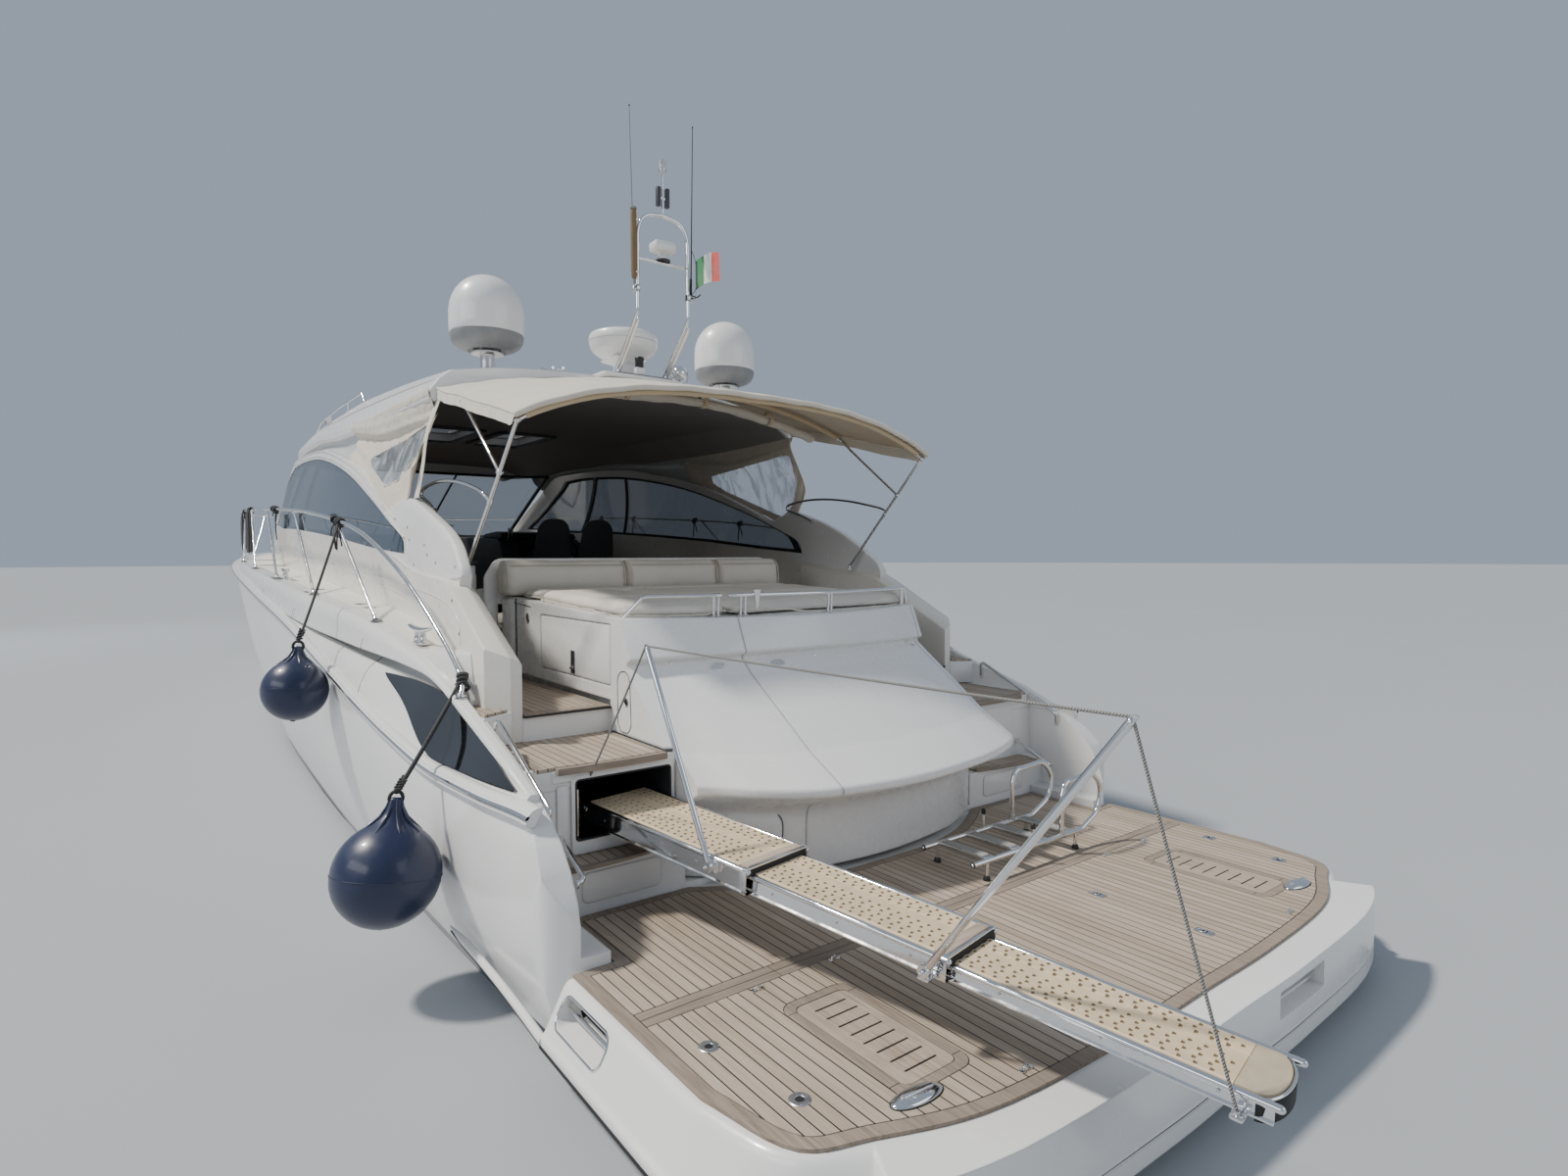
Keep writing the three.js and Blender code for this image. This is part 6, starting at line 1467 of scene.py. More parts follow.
def stage(name, s0, s1, half, z, depth, inner_hidden):
    p = Part(name + "_detail", name.replace("passerelle_", "passerelle_"), replaces=(name,), slot="stainless", sharp=35)
    # moulded tread: flat with turned-up edges and grooves
    yi = half - 0.028
    gy = -0.33 * half
    prof = [(-yi, z - 0.016), (-yi, z - 0.003), (-yi + 0.006, z + 0.001), (-yi + 0.012, z - 0.001), (gy - 0.006, z - 0.001), (gy - 0.003, z - 0.005), (gy + 0.003, z - 0.005), (gy + 0.006, z - 0.001),
            (yi - 0.012, z - 0.001), (yi - 0.006, z + 0.001), (yi, z - 0.003), (yi, z - 0.016)]
    tx0, tx1 = s0 + 0.012, s1 - (0.135 if name.endswith("3") else 0.075)
    p.add(PL(loft([[(x, a, b) for a, b in prof] for x in (tx0, tx1)])), TREAD)
    hole_rows(p, tx0 + 0.01, tx1 - 0.015, yi, z - 0.001)
    # round side tubes, polished, with domed ends
    for sg in (1, -1):
        p.add(PL(tube([(s0, sg * (half - 0.013), z - 0.013), (s1 - 0.006, sg * (half - 0.013), z - 0.013)], 0.013, 16, dome=True)), STEEL)
        # web under the tube: a folded channel
        w = [(half - 0.0155, z - 0.016), (half - 0.0145, z - 0.03), (half - 0.0110, z - depth + 0.012), (half - 0.0035, z - depth + 0.006), (half - 0.0035, z - depth), (half - 0.016, z - depth), (half - 0.016, z - depth + 0.012), (half - 0.018, z - 0.016)]
        p.add(PL(loft([[(x, sg * a, b) for a, b in w] for x in (s0 + 0.004, s1 - 0.02)])), STEEL)
        for x in np.arange(s0 + 0.16, s1 - 0.12, 0.36):
            p.add(PL(disc((x, sg * (half - 0.0128), z - depth * 0.55), (0, sg, 0), 0.006, 0.002, 0.0008, 12)), STEEL_DULL)
    # cross members under the tread
    for x in np.arange(s0 + 0.10, s1 - 0.05, 0.30):
        p.add(PL(rbox(x - 0.012, x + 0.012, -half + 0.02, half - 0.02, z - 0.0215, z - 0.0160, 0.001, 0.002, 1)), STEEL_DULL)
    p.add(PL(rbox(s0 + 0.002, s1 - 0.1, -half + 0.024, half - 0.024, z - 0.0185, z - 0.0165, 0.0005, 0.001, 1)), DARK_GREY)
    if not name.endswith("3"):
        # timber end bar in a steel frame, with a dark lip ahead of it
        p.add(PL(rbox(s1 - 0.073, s1 - 0.020, -yi, yi, z - 0.014, z + 0.006, 0.005, 0.006, 2)), TREAD_BAR)
        p.add(PL(rbox(s1 - 0.020, s1 - 0.004, -half + 0.006, half - 0.006, z - 0.030, z + 0.004, 0.003, 0.003, 2)), STEEL)
        p.add(PL(rbox(s1 - 0.004, s1 + 0.000, -half + 0.02, half - 0.02, z - 0.034, z - 0.004, 0.001, 0.001, 1)), RUBBER)
        # curved clamp round the tube on both sides
        for sg in (1, -1):
            c = [(sg * (half - 0.030), z + 0.0035), (sg * (half - 0.010), z + 0.0045), (sg * (half + 0.0015), z - 0.004), (sg * (half + 0.003), z - 0.02), (sg * (half + 0.003), z - depth + 0.002), (sg * (half - 0.010), z - depth - 0.006), (sg * (half - 0.030), z - depth - 0.004)]
            cc = fillet(c, 0.012, 4, closed=False)
            rows = [[(x, a, b) for a, b in cc] for x in (s1 - 0.030, s1 - 0.006)]
            p.add(PL(shell(np.array(rows), 0.004 * sg)), STEEL)
    else:
        # rounded tip: plain pad with a bright rim
        tip = [(s1 - 0.133, -yi)] + [(s1 - 0.070 + 0.060 * sin(a), -yi * cos(a)) for a in np.linspace(0, pi, 16)] + [(s1 - 0.133, yi)]
        p.add(PL(slab(tip, z - 0.014, z + 0.001, "z", 0.002, 1)), TREAD_PLAIN)
        arc = [(s1 - 0.070 + 0.066 * sin(a), -(half - 0.010) * cos(a)) for a in np.linspace(0, pi, 24)]
        p.add(PL(tube([(s1 - 0.13, -(half - 0.010), z - 0.008)] + [(a, b, z - 0.008) for a, b in arc] + [(s1 - 0.13, half - 0.010, z - 0.008)], 0.0055, 10)), STEEL)
        rim = [[(a, b, z - 0.012), (a, b, z - 0.075)] for a, b in arc]
        p.add(PL(shell(np.array(rim), 0.006)), RUBBER)
        p.add(PL(rbox(s1 - 0.12, s1 - 0.03, -0.11, 0.11, z - 0.060, z - 0.040, 0.004, 0.01, 1)), STEEL_DULL)
        for sg in (1, -1):
            p.add(PL(tube([(s1 - 0.05, sg * 0.10, z - 0.055), (s1 - 0.05, sg * 0.135, z - 0.055)], 0.006, 8)), STEEL)
    return p


TREAD_BAR = plain_teak("tread_end_bar", 1.15, "y")
TREAD_PLAIN = plastic("tread_plain_pad", (0.46, 0.385, 0.27), 0.7, 0.3, 300)


def stanchion(p, foot, head, r=0.0145, lug_dir=(0, 1, 0)):
    a, b = arr(*foot), arr(*head)
    p.add(PL(tube([a, b], r, 14, dome=True)), STEEL)
    d = unit(b - a)
    # flattened eye at the foot with its through bolt, and the rope eye at the head
    p.add(PL(place(lathe([(0, -0.016), (0.024, -0.016), (0.026, -0.012), (0.026, 0.012), (0.024, 0.016), (0, 0.016)], 22), a, d, (0, 1, 0))), STEEL)
    p.add(PL(tube([a + arr(0, -0.042, 0), a + arr(0, 0.030, 0)], 0.0075, 10, dome=True)), STEEL)
    p.add(PL(lathe([(0, 0), (0.013, 0), (0.013, 0.007), (0, 0.007)], 6, tuple(a + arr(0, 0.018, 0)), (0, 1, 0))), STEEL)
    p.add(PL(tube([b + d * 0.012 + 0.014 * (cos(t) * d + sin(t) * arr(1, 0, 0)) for t in np.linspace(0, 2 * pi, 18)[:-1]], 0.0035, 7, closed=True)), STEEL)


s1 = stage("passerelle_stage_1", 0.040, 1.270, 0.213, 0.0, 0.118, False)
# lugs and cross pin at the inner end
for sg in (1, -1):
    s1.add(PL(rbox(-0.018, 0.060, sg * 0.135 - 0.010, sg * 0.135 + 0.010, -0.070, -0.020, 0.004, 0.018, 2, "y")), STEEL)
s1.add(PL(rbox(0.040, 0.066, -0.195, 0.195, -0.060, -0.012, 0.003, 0.003, 1)), STEEL)
s1.add(PL(tube([(-0.006, -0.170, -0.045), (-0.006, 0.170, -0.045)], 0.010, 14, dome=True)), STEEL)
# foot bracket and stanchion, port side
s1.add(PL(rbox(1.022, 1.078, 0.200, 0.222, -0.075, -0.012, 0.003, 0.010, 2, "y")), STEEL)
stanchion(s1, (1.050, 0.236, -0.040), (0.560, 0.236, 0.900))
s1.done()
s2 = stage("passerelle_stage_2", 0.870, 2.280, 0.187, -0.028, 0.092, True)
s2.add(PL(rbox(2.196, 2.244, 0.180, 0.262, -0.104, -0.092, 0.003, 0.006, 2)), STEEL)
s2.add(PL(rbox(2.196, 2.244, 0.226, 0.234, -0.104, -0.046, 0.002, 0.01, 2, "y")), STEEL)
stanchion(s2, (2.220, 0.246, -0.070), (2.890, 0.246, 0.985))
s2.done()
s3 = stage("passerelle_stage_3", 1.950, 3.360, 0.162, -0.056, 0.066, True)
s3.add(PL(rbox(3.236, 3.274, 0.150, 0.215, -0.122, -0.112, 0.002, 0.006, 2)), STEEL)
s3.add(PL(tube([(3.255, 0.195, -0.119), (3.255, 0.195, -0.098), (3.255, 0.208, -0.090), (3.255, 0.222, -0.095)], 0.006, 10)), STEEL)
s3.done()

# knuckle: two ears on an upright pin, with a folded guard plate beneath
kn = Part("passerelle_knuckle_detail", "passerelle_knuckle", replaces=("passerelle_knuckle",), slot="stainless", sharp=35)
for sg in (1, -1):
    ear = boolean(rbox(-0.060, 0.022, sg * 0.185 - 0.009, sg * 0.185 + 0.009, -0.090, -0.018, 0.003, 0.022, 2, "y"), [PL_ for PL_ in [tube([(-0.006, sg * 0.17, -0.045), (-0.006, sg * 0.20, -0.045)], 0.0125, 14)]])
    kn.add(PL(ear), STEEL)
    kn.add(PL(lathe([(0, 0), (0.02, 0), (0.02, 0.004), (0.0, 0.006)], 20, (-0.006, sg * 0.1945, -0.045), (0, sg, 0))), STEEL)
kn.add(PL(rbox(-0.060, -0.044, -0.194, 0.194, -0.150, -0.060, 0.004, 0.006, 2)), STEEL)
kn.add(PL(rbox(-0.060, 0.040, -0.060, 0.060, -0.170, -0.142, 0.004, 0.02, 2)), STEEL_DULL)
kn.done()

# housing: framed mouth, rubber seal, rail, pedestal
M0, M1 = STEP2_X - 0.014, STEP2_X - 0.002
hs = Part("passerelle_housing_detail", replaces=("passerelle_housing",), slot="dark_plastic", sharp=35)
frame_out, frame_in = rrect(1.196, 1.806, 0.725, 1.146, 0.030, 5), rrect(1.222, 1.781, 0.800, 1.117, 0.018, 5)
hs.add(boolean(slab(frame_out, M0, M1, "x", 0.004, 2), [slab(frame_in, M0 - 0.05, M1 + 0.05, "x", 0)]), GEL)
hs.add(tube([(M0 + 0.002, y, z) for y, z in frame_in], 0.006, 8, closed=True), RUBBER)
hs.add(rbox(M1, -5.95, 1.790, 1.7965, 0.745, 1.120, 0.001, 0.001, 1), DARK_GREY)
hs.add(rbox(M1, -5.95, 1.203, 1.797, 0.742, 0.750, 0.001, 0.001, 1), DARK_GREY)
hs.add(rbox(M1, -5.95, 1.203, 1.209, 0.752, 1.120, 0.001, 0.001, 1), DARK_GREY)
hs.add(rbox(M1, -5.95, 1.203, 1.797, 1.118, 1.1245, 0.001, 0.001, 1), DARK_GREY)
hs.add(rbox(-5.96, -5.95, 1.21, 1.79, 0.752, 1.117, 0.001, 0.001, 1), BLACK)
hs.add(rbox(PIVOT[0] - 0.110, PIVOT[0] + 0.130, PIVOT[1] - 0.070, PIVOT[1] + 0.070, 0.745, PIVOT[2] - 0.182, 0.006, 0.02, 2), STEEL_DULL)
for y in (1.27, 1.73):
    hs.add(rbox(M1 + 0.02, -5.97, y - 0.02, y + 0.02, 0.752, 0.772, 0.003, 0.004, 1), STEEL_DULL)
hs.add(tube([(M1 + 0.03, 1.76, 0.80), (M1 + 0.03, 1.76, 1.06)], 0.012, 10), STEEL)
# small locker door beside the mouth
hs.add(rbox(M0 + 0.004, M1, 1.822, 1.884, 0.79, 1.10, 0.003, 0.012, 2, "x"), GEL)
hs.done()



def rope_span(name, a, b, bodies, r=0.0055, sag=0.0):
    p = Part(name, bodies[0] if len(bodies) == 1 else None, slot="stainless", sharp=60)
    n = 30
    pts = [lerp(a, b, t) - arr(0, 0, sag * 4 * t * (1 - t)) for t in np.linspace(0, 1, n)]
    p.add(tube(pts, r, 8), WIRE)
    o = p.done()
    if len(bodies) == 2:
        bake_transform(o)
    return o


rope_span("rope_housing_to_first", arr(-7.630, 1.700, 1.130), PW(0.548, 0.236, 0.917), ("passerelle_stage_1",), sag=0.01)
rope_span("rope_first_to_second", PW(0.566, 0.236, 0.916), PW(2.884, 0.246, 1.001), ("passerelle_stage_1", "passerelle_stage_2"), sag=0.006)
rope_span("rope_second_to_tip", PW(2.898, 0.246, 0.992), PW(3.254, 0.212, -0.085), ("passerelle_stage_2", "passerelle_stage_3"), sag=0.004)

# ------------------------------------------------------------------ deckhouse sides
GEL_CREAM = gelcoat("gelcoat_cream", (0.775, 0.74, 0.665), 0.3, 0.014, 0.8)
# grey gelcoat for the recess under the roof's edge: painted shade
GEL_SHADE = gelcoat("gelcoat_recess_painted_shade", (0.50, 0.52, 0.52), 0.4, 0.014, 0.8)
W_FOOT = Curve([-6.3, -5.72, -5.06, -4.72, -2.9, -0.27, 1.0, 2.65, 3.4], [2.150, 2.130, 2.190, 2.278, 2.434, 2.583, 2.62, 2.70, 2.635])
W_TOP = Curve([-6.135, -6.115, -6.075, -5.985, -5.83, -5.55, -5.14, -4.83, -4.56, -4.42, -4.0, -3.21, -2.26, -0.9, 0.6, 1.05, 2.0, 3.0, 3.4], [2.160, 2.195, 2.235, 2.300, 2.396, 2.524, 2.660, 2.727, 2.690, 2.655, 2.80, 3.07, 3.28, 3.478, 3.535, 3.538, 3.21, 2.82, 2.66])
# outline of the side glass (x, z), smooth along the arch
ARCH_IN = [(-4.93, 2.300), (-4.90, 2.395), (-4.50, 2.560), (-3.78, 2.800), (-2.53, 3.130), (-1.0, 3.365), (0.3, 3.435), (0.9, 3.430)]
WIN = [tuple(p) for p in crom(ARCH_IN, 6)] + [(1.08, 3.355), (1.9, 3.015), (2.62, 2.735), (1.0, 2.640), (-0.27, 2.600), (-1.6, 2.530), (-2.9, 2.450), (-4.2, 2.345)]


def wall_y(x, z):
    fy, my, ty = HFY(x), HMY(x), HTY(x)
    z0, zm, zt = DZ(x), W_FOOT(x), max(HTZ(x), W_TOP(x), W_FOOT(x) + 0.2)
    t, tm = (z - z0) / (zt - z0), (zm - z0) / (zt - z0)
    a = (my - lerp(fy, ty, tm)) / max(0.05, tm * (1 - tm))
    return lerp(fy, ty, t) + a * t * (1 - t)


def wall_ring(x, thick=0.075, s=1):
    z0, zt = DZ(x) + 0.001, W_TOP(x)
    out = []
    for t in np.linspace(0, 1, 14):
        z = lerp(z0, zt - 0.022, t)
        out.append((wall_y(x, z), z))
    yt = wall_y(x, zt)
    out += [(yt - 0.004, zt - 0.012), (yt - 0.012, zt - 0.003), (yt - 0.024, zt), (yt - thick + 0.022, zt), (yt - thick + 0.008, zt - 0.004), (yt - thick, zt - 0.016)]
    for t in np.linspace(1, 0, 8)[1:]:
        z = lerp(z0, zt - 0.022, t)
        out.append((wall_y(x, z) - thick, z))
    return np.array([(x, y, z) for y, z in out])


wx = np.unique(np.r_[-6.135, -6.128, -6.117, -6.10, np.linspace(-6.08, -4.0, 50), np.linspace(-4.0, 3.4, 60)])
wall = loft([wall_ring(x) for x in wx])
win_cut = slab(WIN, -3, 3, "y", 0)
wallc = boolean(wall, [win_cut])


def coaming():
    """Tapered wall at the after end of the side: a broad sloping cap, a narrow facet inboard of it, and a corner taken off outboard."""
    rings = []
    for x in (-6.941, -6.5, -6.2, -6.05, -5.9, -5.7, -5.4, -5.0):
        zt = np.interp(x, [-6.941, -6.09, -5.95, -5.6, -5.0], [1.695, 2.120, 2.140, 2.150, 2.205])
        yo, yi = np.interp(x, [-6.94, -6.0, -5.0], [1.985, 1.975, 1.965]), 1.8035
        rings.append([(x, yi, 1.2015), (x, yo, 1.2015), (x, yo, zt - 0.020), (x, yo - 0.004, zt - 0.012), (x, yo - 0.012, zt - 0.009), (x, 1.876, zt - 0.001), (x, 1.868, zt - 0.001), (x, yi + 0.008, zt - 0.036), (x, yi, zt - 0.044)])
    return boolean(loft(rings), [slab([(-6.9415, 1.868), (-6.79, 2.012), (-6.79, 2.1), (-7.1, 2.1), (-7.1, 1.868)], 1.0, 2.2, "z", 0)])


fair_shape = coaming()
for tag, f in (("port", lambda q: q), ("starboard", mirrored)):
    pass
house = Part("deckhouse_sides", replaces=("deckhouse",), slot="gelcoat", sharp=30)
V, F = wallc
V = np.asarray(V)
low, high = [], []
for fc in F:
    c = V[list(fc)].mean(0)
    (low if (c[2] < W_FOOT(c[0]) - 0.012) else high).append(fc)
for f in (lambda q: q, mirrored):
    house.add(f((V, low)), GEL_CREAM)
    house.add(f((V, high)), GEL)
    house.add(f(fair_shape), GEL_CREAM)
# cowl under the windscreen
COWL = [(-1.770, 3.405), (-1.300, 3.650), (-0.700, 3.680), (0.0, 3.690), (0.700, 3.680), (1.300, 3.650), (1.770, 3.405)]
cowl = [(x, y) for y, x in COWL] + [(3.2, 1.77), (3.2, -1.77)]
house.add(slab(fillet(cowl, 0.12, 4), 2.33, 2.625, "z", 0.02, 3), DARK_GREY)
for s in (1, -1):
    a, b = sorted((s * 1.5, s * 1.83))
    house.add(rbox(3.24, 3.42, a, b, 2.33, 2.62, 0.012), GEL)
# beads along the arch: a double line, and the two raised lines along the foot
arch = crom([(-4.66, 2.575), (-4.30, 2.700), (-3.78, 2.868), (-3.21, 3.052), (-2.26, 3.262), (-0.9, 3.462), (0.6, 3.520), (1.10, 3.505)], 8)
arch2 = crom([(-4.905, 2.425), (-4.50, 2.588), (-3.78, 2.832), (-2.53, 3.162), (-1.0, 3.396), (0.3, 3.466), (0.95, 3.458)], 8)
for f in (lambda q: q, mirrored):
    for line, r in ((arch, 0.011), (arch2, 0.009)):
        house.add(f(tube([(x, wall_y(x, z) + 0.003, z) for x, z in line], r, 8, dome=True)), GEL)
    for line in ([(3.2, 2.40), (0.0, 2.295), (-2.06, 2.225), (-4.0, 2.135), (-5.3, 2.050), (-6.0, 1.990), (-6.25, 1.925), (-6.36, 1.83), (-6.37, 1.74)], [(-3.0, 2.16), (-3.96, 2.095), (-4.8, 2.005), (-5.5, 1.905), (-5.9, 1.82), (-6.1, 1.745)]):
        pl = crom(line, 6)
        house.add(f(tube([(x, max(wall_y(x, z), np.interp(x, [-6.94, -6.0, -5.0], [1.985, 1.975, 1.965]) if x < -5.0 else 0) - 0.001, z) for x, z in pl], 0.006, 6, dome=True)), GEL)
    lip = [(x, W_FOOT(x) + 0.004) for x in np.linspace(-6.12, -4.70, 40)]
    house.add(f(tube([(x, wall_y(x, z) + 0.002, z) for x, z in lip], [0.006] + [0.011] * 38 + [0.006], 8, dome=True, flat=(1.0, 1.0))), GEL)
    # fairing fasteners
    for x, z in ((-4.95, 2.50), (-5.02, 2.40), (-5.35, 2.36), (-5.42, 2.29), (-5.15, 2.22), (-5.6, 2.235), (-6.0, 2.21), (-4.60, 2.33), (-3.9, 2.38), (-3.1, 2.43), (-6.35, 1.80), (-6.2, 2.0)):
        yy = wall_y(x, z) if x > -6.25 else 1.980
        yy = max(yy, 1.977 if (x < -6.0 and z < 2.1) else 0)
        house.add(f(disc((x, yy - 0.001, z), (0, 1, 0), 0.011, 0.0035, 0.0012, 14)), STEEL_DULL if z > 2.2 else DARK_GREY)
house.done()

# ------------------------------------------------------------------ side glass with pillars
for tag, f in (("port", lambda q: q), ("starboard", mirrored)):
    g = Part("side_glass_" + tag, replaces=("side_window_" + tag,), slot="tinted_glass", sharp=40)
    rows = []
    for x in np.linspace(-4.98, 2.72, 60):
        rows.append([(x, wall_y(x, z) - 0.020, z) for z in np.linspace(2.24, 3.50, 18)])
    pane = boolean(shell(rows, 0.010), [slab(inset2(ccw(WIN), -0.004), -3, 3, "y", 0)], "INTERSECT")
    g.add(f(pane), GLASS)
    # black surround on the inside edge of the opening
    wn = ccw(WIN)
    a_, b_ = inset2(wn, -0.002), inset2(wn, 0.030)
    ring = []
    for (x0, z0), (x1, z1) in zip(a_, b_):
        ring.append([(x0, wall_y(x0, z0) - 0.0185, z0), (x1, wall_y(x1, z1) - 0.0185, z1), (x1, wall_y(x1, z1) - 0.034, z1), (x0, wall_y(x0, z0) - 0.034, z0)])
    R = np.array(ring + [ring[0]])
    n, m = R.shape[:2]
    Vr, Fr = R[:-1].reshape(-1, 3), []
    for i in range(n - 1):
        j = (i + 1) % (n - 1)
        for k in range(4):
            l = (k + 1) % 4
            Fr.append((i * 4 + k, i * 4 + l, j * 4 + l, j * 4 + k))
    g.add(f((Vr, Fr)), RUBBER)
    for x0, x1, w in ((0.73, -0.13, 0.044), (-0.66, -1.04, 0.016), (-4.86, -4.66, 0.034)):  # pillars behind the glass
        zb, zt = W_FOOT(x0) + 0.01, W_TOP(x1) - 0.07
        if x0 < -3:
            zt = 2.52
        col = []
        for t in np.linspace(0, 1, 8):
            x, z = lerp(x0, x1, t), lerp(zb, zt, t)
            y = wall_y(x, z)
            col.append([(x - w, y - 0.0195 + 0.001, z), (x + w, y - 0.0195 + 0.001, z), (x + w, y - 0.05, z), (x - w, y - 0.05, z)])
        g.add(f(loft(col)), BLACK)
    g.done()

# ------------------------------------------------------------------ windscreen
SCREEN = [(-1.740, 3.350), (-1.250, 3.610), (0.0, 3.660), (1.250, 3.610), (1.740, 3.350)]
scy = crom([(x, y) for y, x in SCREEN], 10)
ws = Part("windscreen_glass", replaces=("windscreen",), slot="tinted_glass", sharp=40)
rows = []
for x, y in scy:
    tx, ty = 1.640 + (x - 3.660) * 0.97, y * 0.97
    rows.append([(lerp(x, tx, t) - 0.012 * sin(pi * t) * -1, lerp(y, ty, t), lerp(2.628, 3.528, t)) for t in np.linspace(0, 1, 10)])
ws.add(shell(rows, 0.012), GLASS_SCREEN)
for edge in ([r[0] for r in rows], [r[-1] for r in rows]):
    ws.add(tube([(x, y, z) for x, y, z in edge], 0.018, 8), RUBBER)
for yv in (-0.45, 0.45):  # mullions
    i = int(np.argmin([abs(r[0][1] - yv) for r in rows]))
    ws.add(tube([(x + 0.006, y, z) for x, y, z in rows[i]], 0.017, 8), BLACK)
for i in (0, -1):
    ws.add(tube([(x, y, z) for x, y, z in rows[i]], 0.030, 10), BLACK)
for y0, sg in ((-1.05, 1), (0.12, 1), (1.30, -1)):  # wipers parked on the glass
    i0 = int(np.argmin([abs(r[0][1] - y0) for r in rows]))
    i1 = int(np.argmin([abs(r[0][1] - (y0 + sg * 0.55)) for r in rows]))
    a, b = arr(*rows[i0][0]) + arr(0.045, 0, 0.0), arr(*rows[i1][2]) + arr(0.030, 0, 0.02)
    ws.add(tube([a, lerp(a, b, 0.5) + arr(0.015, 0, 0.01), b], 0.007, 8), BLACK)
    ws.add(tube([b + arr(0.0, -0.26, -0.06), b, b + arr(0.0, 0.26, 0.05)], 0.008, 6), RUBBER)
    ws.add(disc(tuple(a - arr(0.02, 0, 0.012)), (0.6, 0, 0.8), 0.026, 0.03, 0.006, 18), BLACK)
ws.done()

# ------------------------------------------------------------------ hardtop
def roof_outer(x, n=15):
    ey, ez, sy, sz, cz = REY(x), REZ(x), RSY(x), RSZ(x), RCZ(x)
    top = []
    for k in np.linspace(0, 1, n):
        y = sy * k * 0.985
        top.append((y, cz - (cz - sz) * (0.25 * k ** 2 + 0.75 * k ** 4)))
    side = fillet([top[-2], (sy, sz), (lerp(sy, ey, 0.55), lerp(sz, ez + 0.07, 0.42)), (ey - 0.004, ez + 0.072), (ey, ez + 0.004), (ey - 0.02, ez - 0.012)], [0, 0.05, 0.10, 0.02, 0.012, 0], 4, closed=False)
    return top[:-1] + [tuple(p) for p in side[1:]]


def roof_ring(x):
    ey, ez, sy, sz, cz = REY(x), REZ(x), RSY(x), RSZ(x), RCZ(x)
    half = roof_outer(x)
    under = [(ey - 0.06, ez - 0.018), (sy - 0.07 + 0.05, lerp(ez, sz - 0.12, 0.55)), (sy - 0.09, sz - 0.125), (sy * 0.75, lerp(sz - 0.12, cz - 0.115, 0.75)), (sy * 0.5, cz - 0.118), (sy * 0.25, cz - 0.112), (0.0, cz - 0.110)]
    half = half + under
    R = [(x, y, z) for y, z in half]
    L = [(x, -y, z) for y, z in half[1:-1]][::-1]
    return np.array(R + L)


rx2 = np.unique(np.r_[-4.95, -4.945, -4.93, np.linspace(-4.9, 1.9, 56), 1.93, 1.95])
rr_ = []
for x in rx2:
    r = roof_ring(x)
    e = 0.0
    if x < -4.92:  # ease the aft edge
        e = 0.022 * (1 - math.sqrt(max(0, 1 - ((-4.92 - x) / 0.03) ** 2)))
    if x > 1.92:
        e = 0.022 * (1 - math.sqrt(max(0, 1 - ((x - 1.92) / 0.03) ** 2)))
    if e:
        c = np.array([x, 0, RCZ(x) - 0.10])
        d = r - c
        r = c + d * (1 - e / np.maximum(np.linalg.norm(d, axis=1, keepdims=True), 0.05))
    rr_.append(r)
roof = Part("hardtop_shell", replaces=("hardtop",), slot="gelcoat", sharp=32)
RVs, RFs = boolean(loft(rr_), [rbox(-1.20, 0.20, a, b, 3.2, 4.2, 0.0001, 0.09, 1) for a, b in ((0.10, 0.80), (-0.80, -0.10))])
RVs = np.asarray(RVs)
outer_f, under_f = [], []
for fc in RFs:
    c = RVs[list(fc)].mean(0)
    inside = c[2] < RCZ(c[0]) - 0.075 - (RCZ(c[0]) - RSZ(c[0])) * min(1, abs(c[1]) / RSY(c[0])) ** 3 and abs(c[1]) < REY(c[0]) - 0.055 and -4.9 < c[0] < 1.88
    (under_f if inside else outer_f).append(fc)
roof.add((RVs, outer_f), GEL)
roof.F += [tuple(q) for q in under_f]
roof.mats.append(CEILING)
roof.M += [1] * len(under_f)
roof.add(slab([(y, z) for y, z in fillet([(-1.5, 3.53), (1.5, 3.53), (1.5, 3.60), (1.2, 3.70), (-1.2, 3.70), (-1.5, 3.60)], 0.02, 3)], 1.72, 1.935, "x", 0.01, 2), GEL)
# roof hatches: frame, glass, both faces
for a, b in ((0.10, 0.80), (-0.80, -0.10)):
    zc = (RCZ(-0.5) + RSZ(-0.5)) / 2
    zo = RCZ(-0.5) - (RCZ(-0.5) - RSZ(-0.5)) * 0.10
    fr_o, fr_i = rrect(-1.24, 0.24, a - 0.03, b + 0.03, 0.11, 6), rrect(-1.16, 0.16, a + 0.045, b - 0.045, 0.07, 6)
    roof.add(boolean(slab(fr_o, zo - 0.006, zo + 0.022, "z", 0.008, 2), [slab(fr_i, 3, 5, "z", 0)]), GEL)
    roof.add(slab(rrect(-1.17, 0.17, a + 0.035, b - 0.035, 0.07, 6), zo - 0.002, zo + 0.012, "z", 0.003, 1), GLASS)
    zu = RCZ(-0.5) - 0.118
    roof.add(boolean(slab(fr_o, zu - 0.026, zu + 0.006, "z", 0.008, 2), [slab(fr_i, 3, 5, "z", 0)]), DARK_GREY)
# recess between the roof's edge and the house side, in grey gelcoat: painted shade
for f in (lambda q: q, mirrored):
    rows = []
    for x in np.linspace(-2.75, 1.75, 40):
        yb, zb = wall_y(x, W_TOP(x)) - 0.026, W_TOP(x) - 0.004
        yt_, zt_ = REY(x) - 0.050, REZ(x) - 0.006
        zt_ = max(zt_, zb + 0.008)
        rows.append([(x, lerp(yb, yt_, t) - 0.045 * sin(pi * t) * min(1, (zt_ - zb) / 0.08), lerp(zb, zt_, t)) for t in np.linspace(0, 1, 7)])
    roof.add(f(shell(rows, 0.006)), GEL_SHADE)
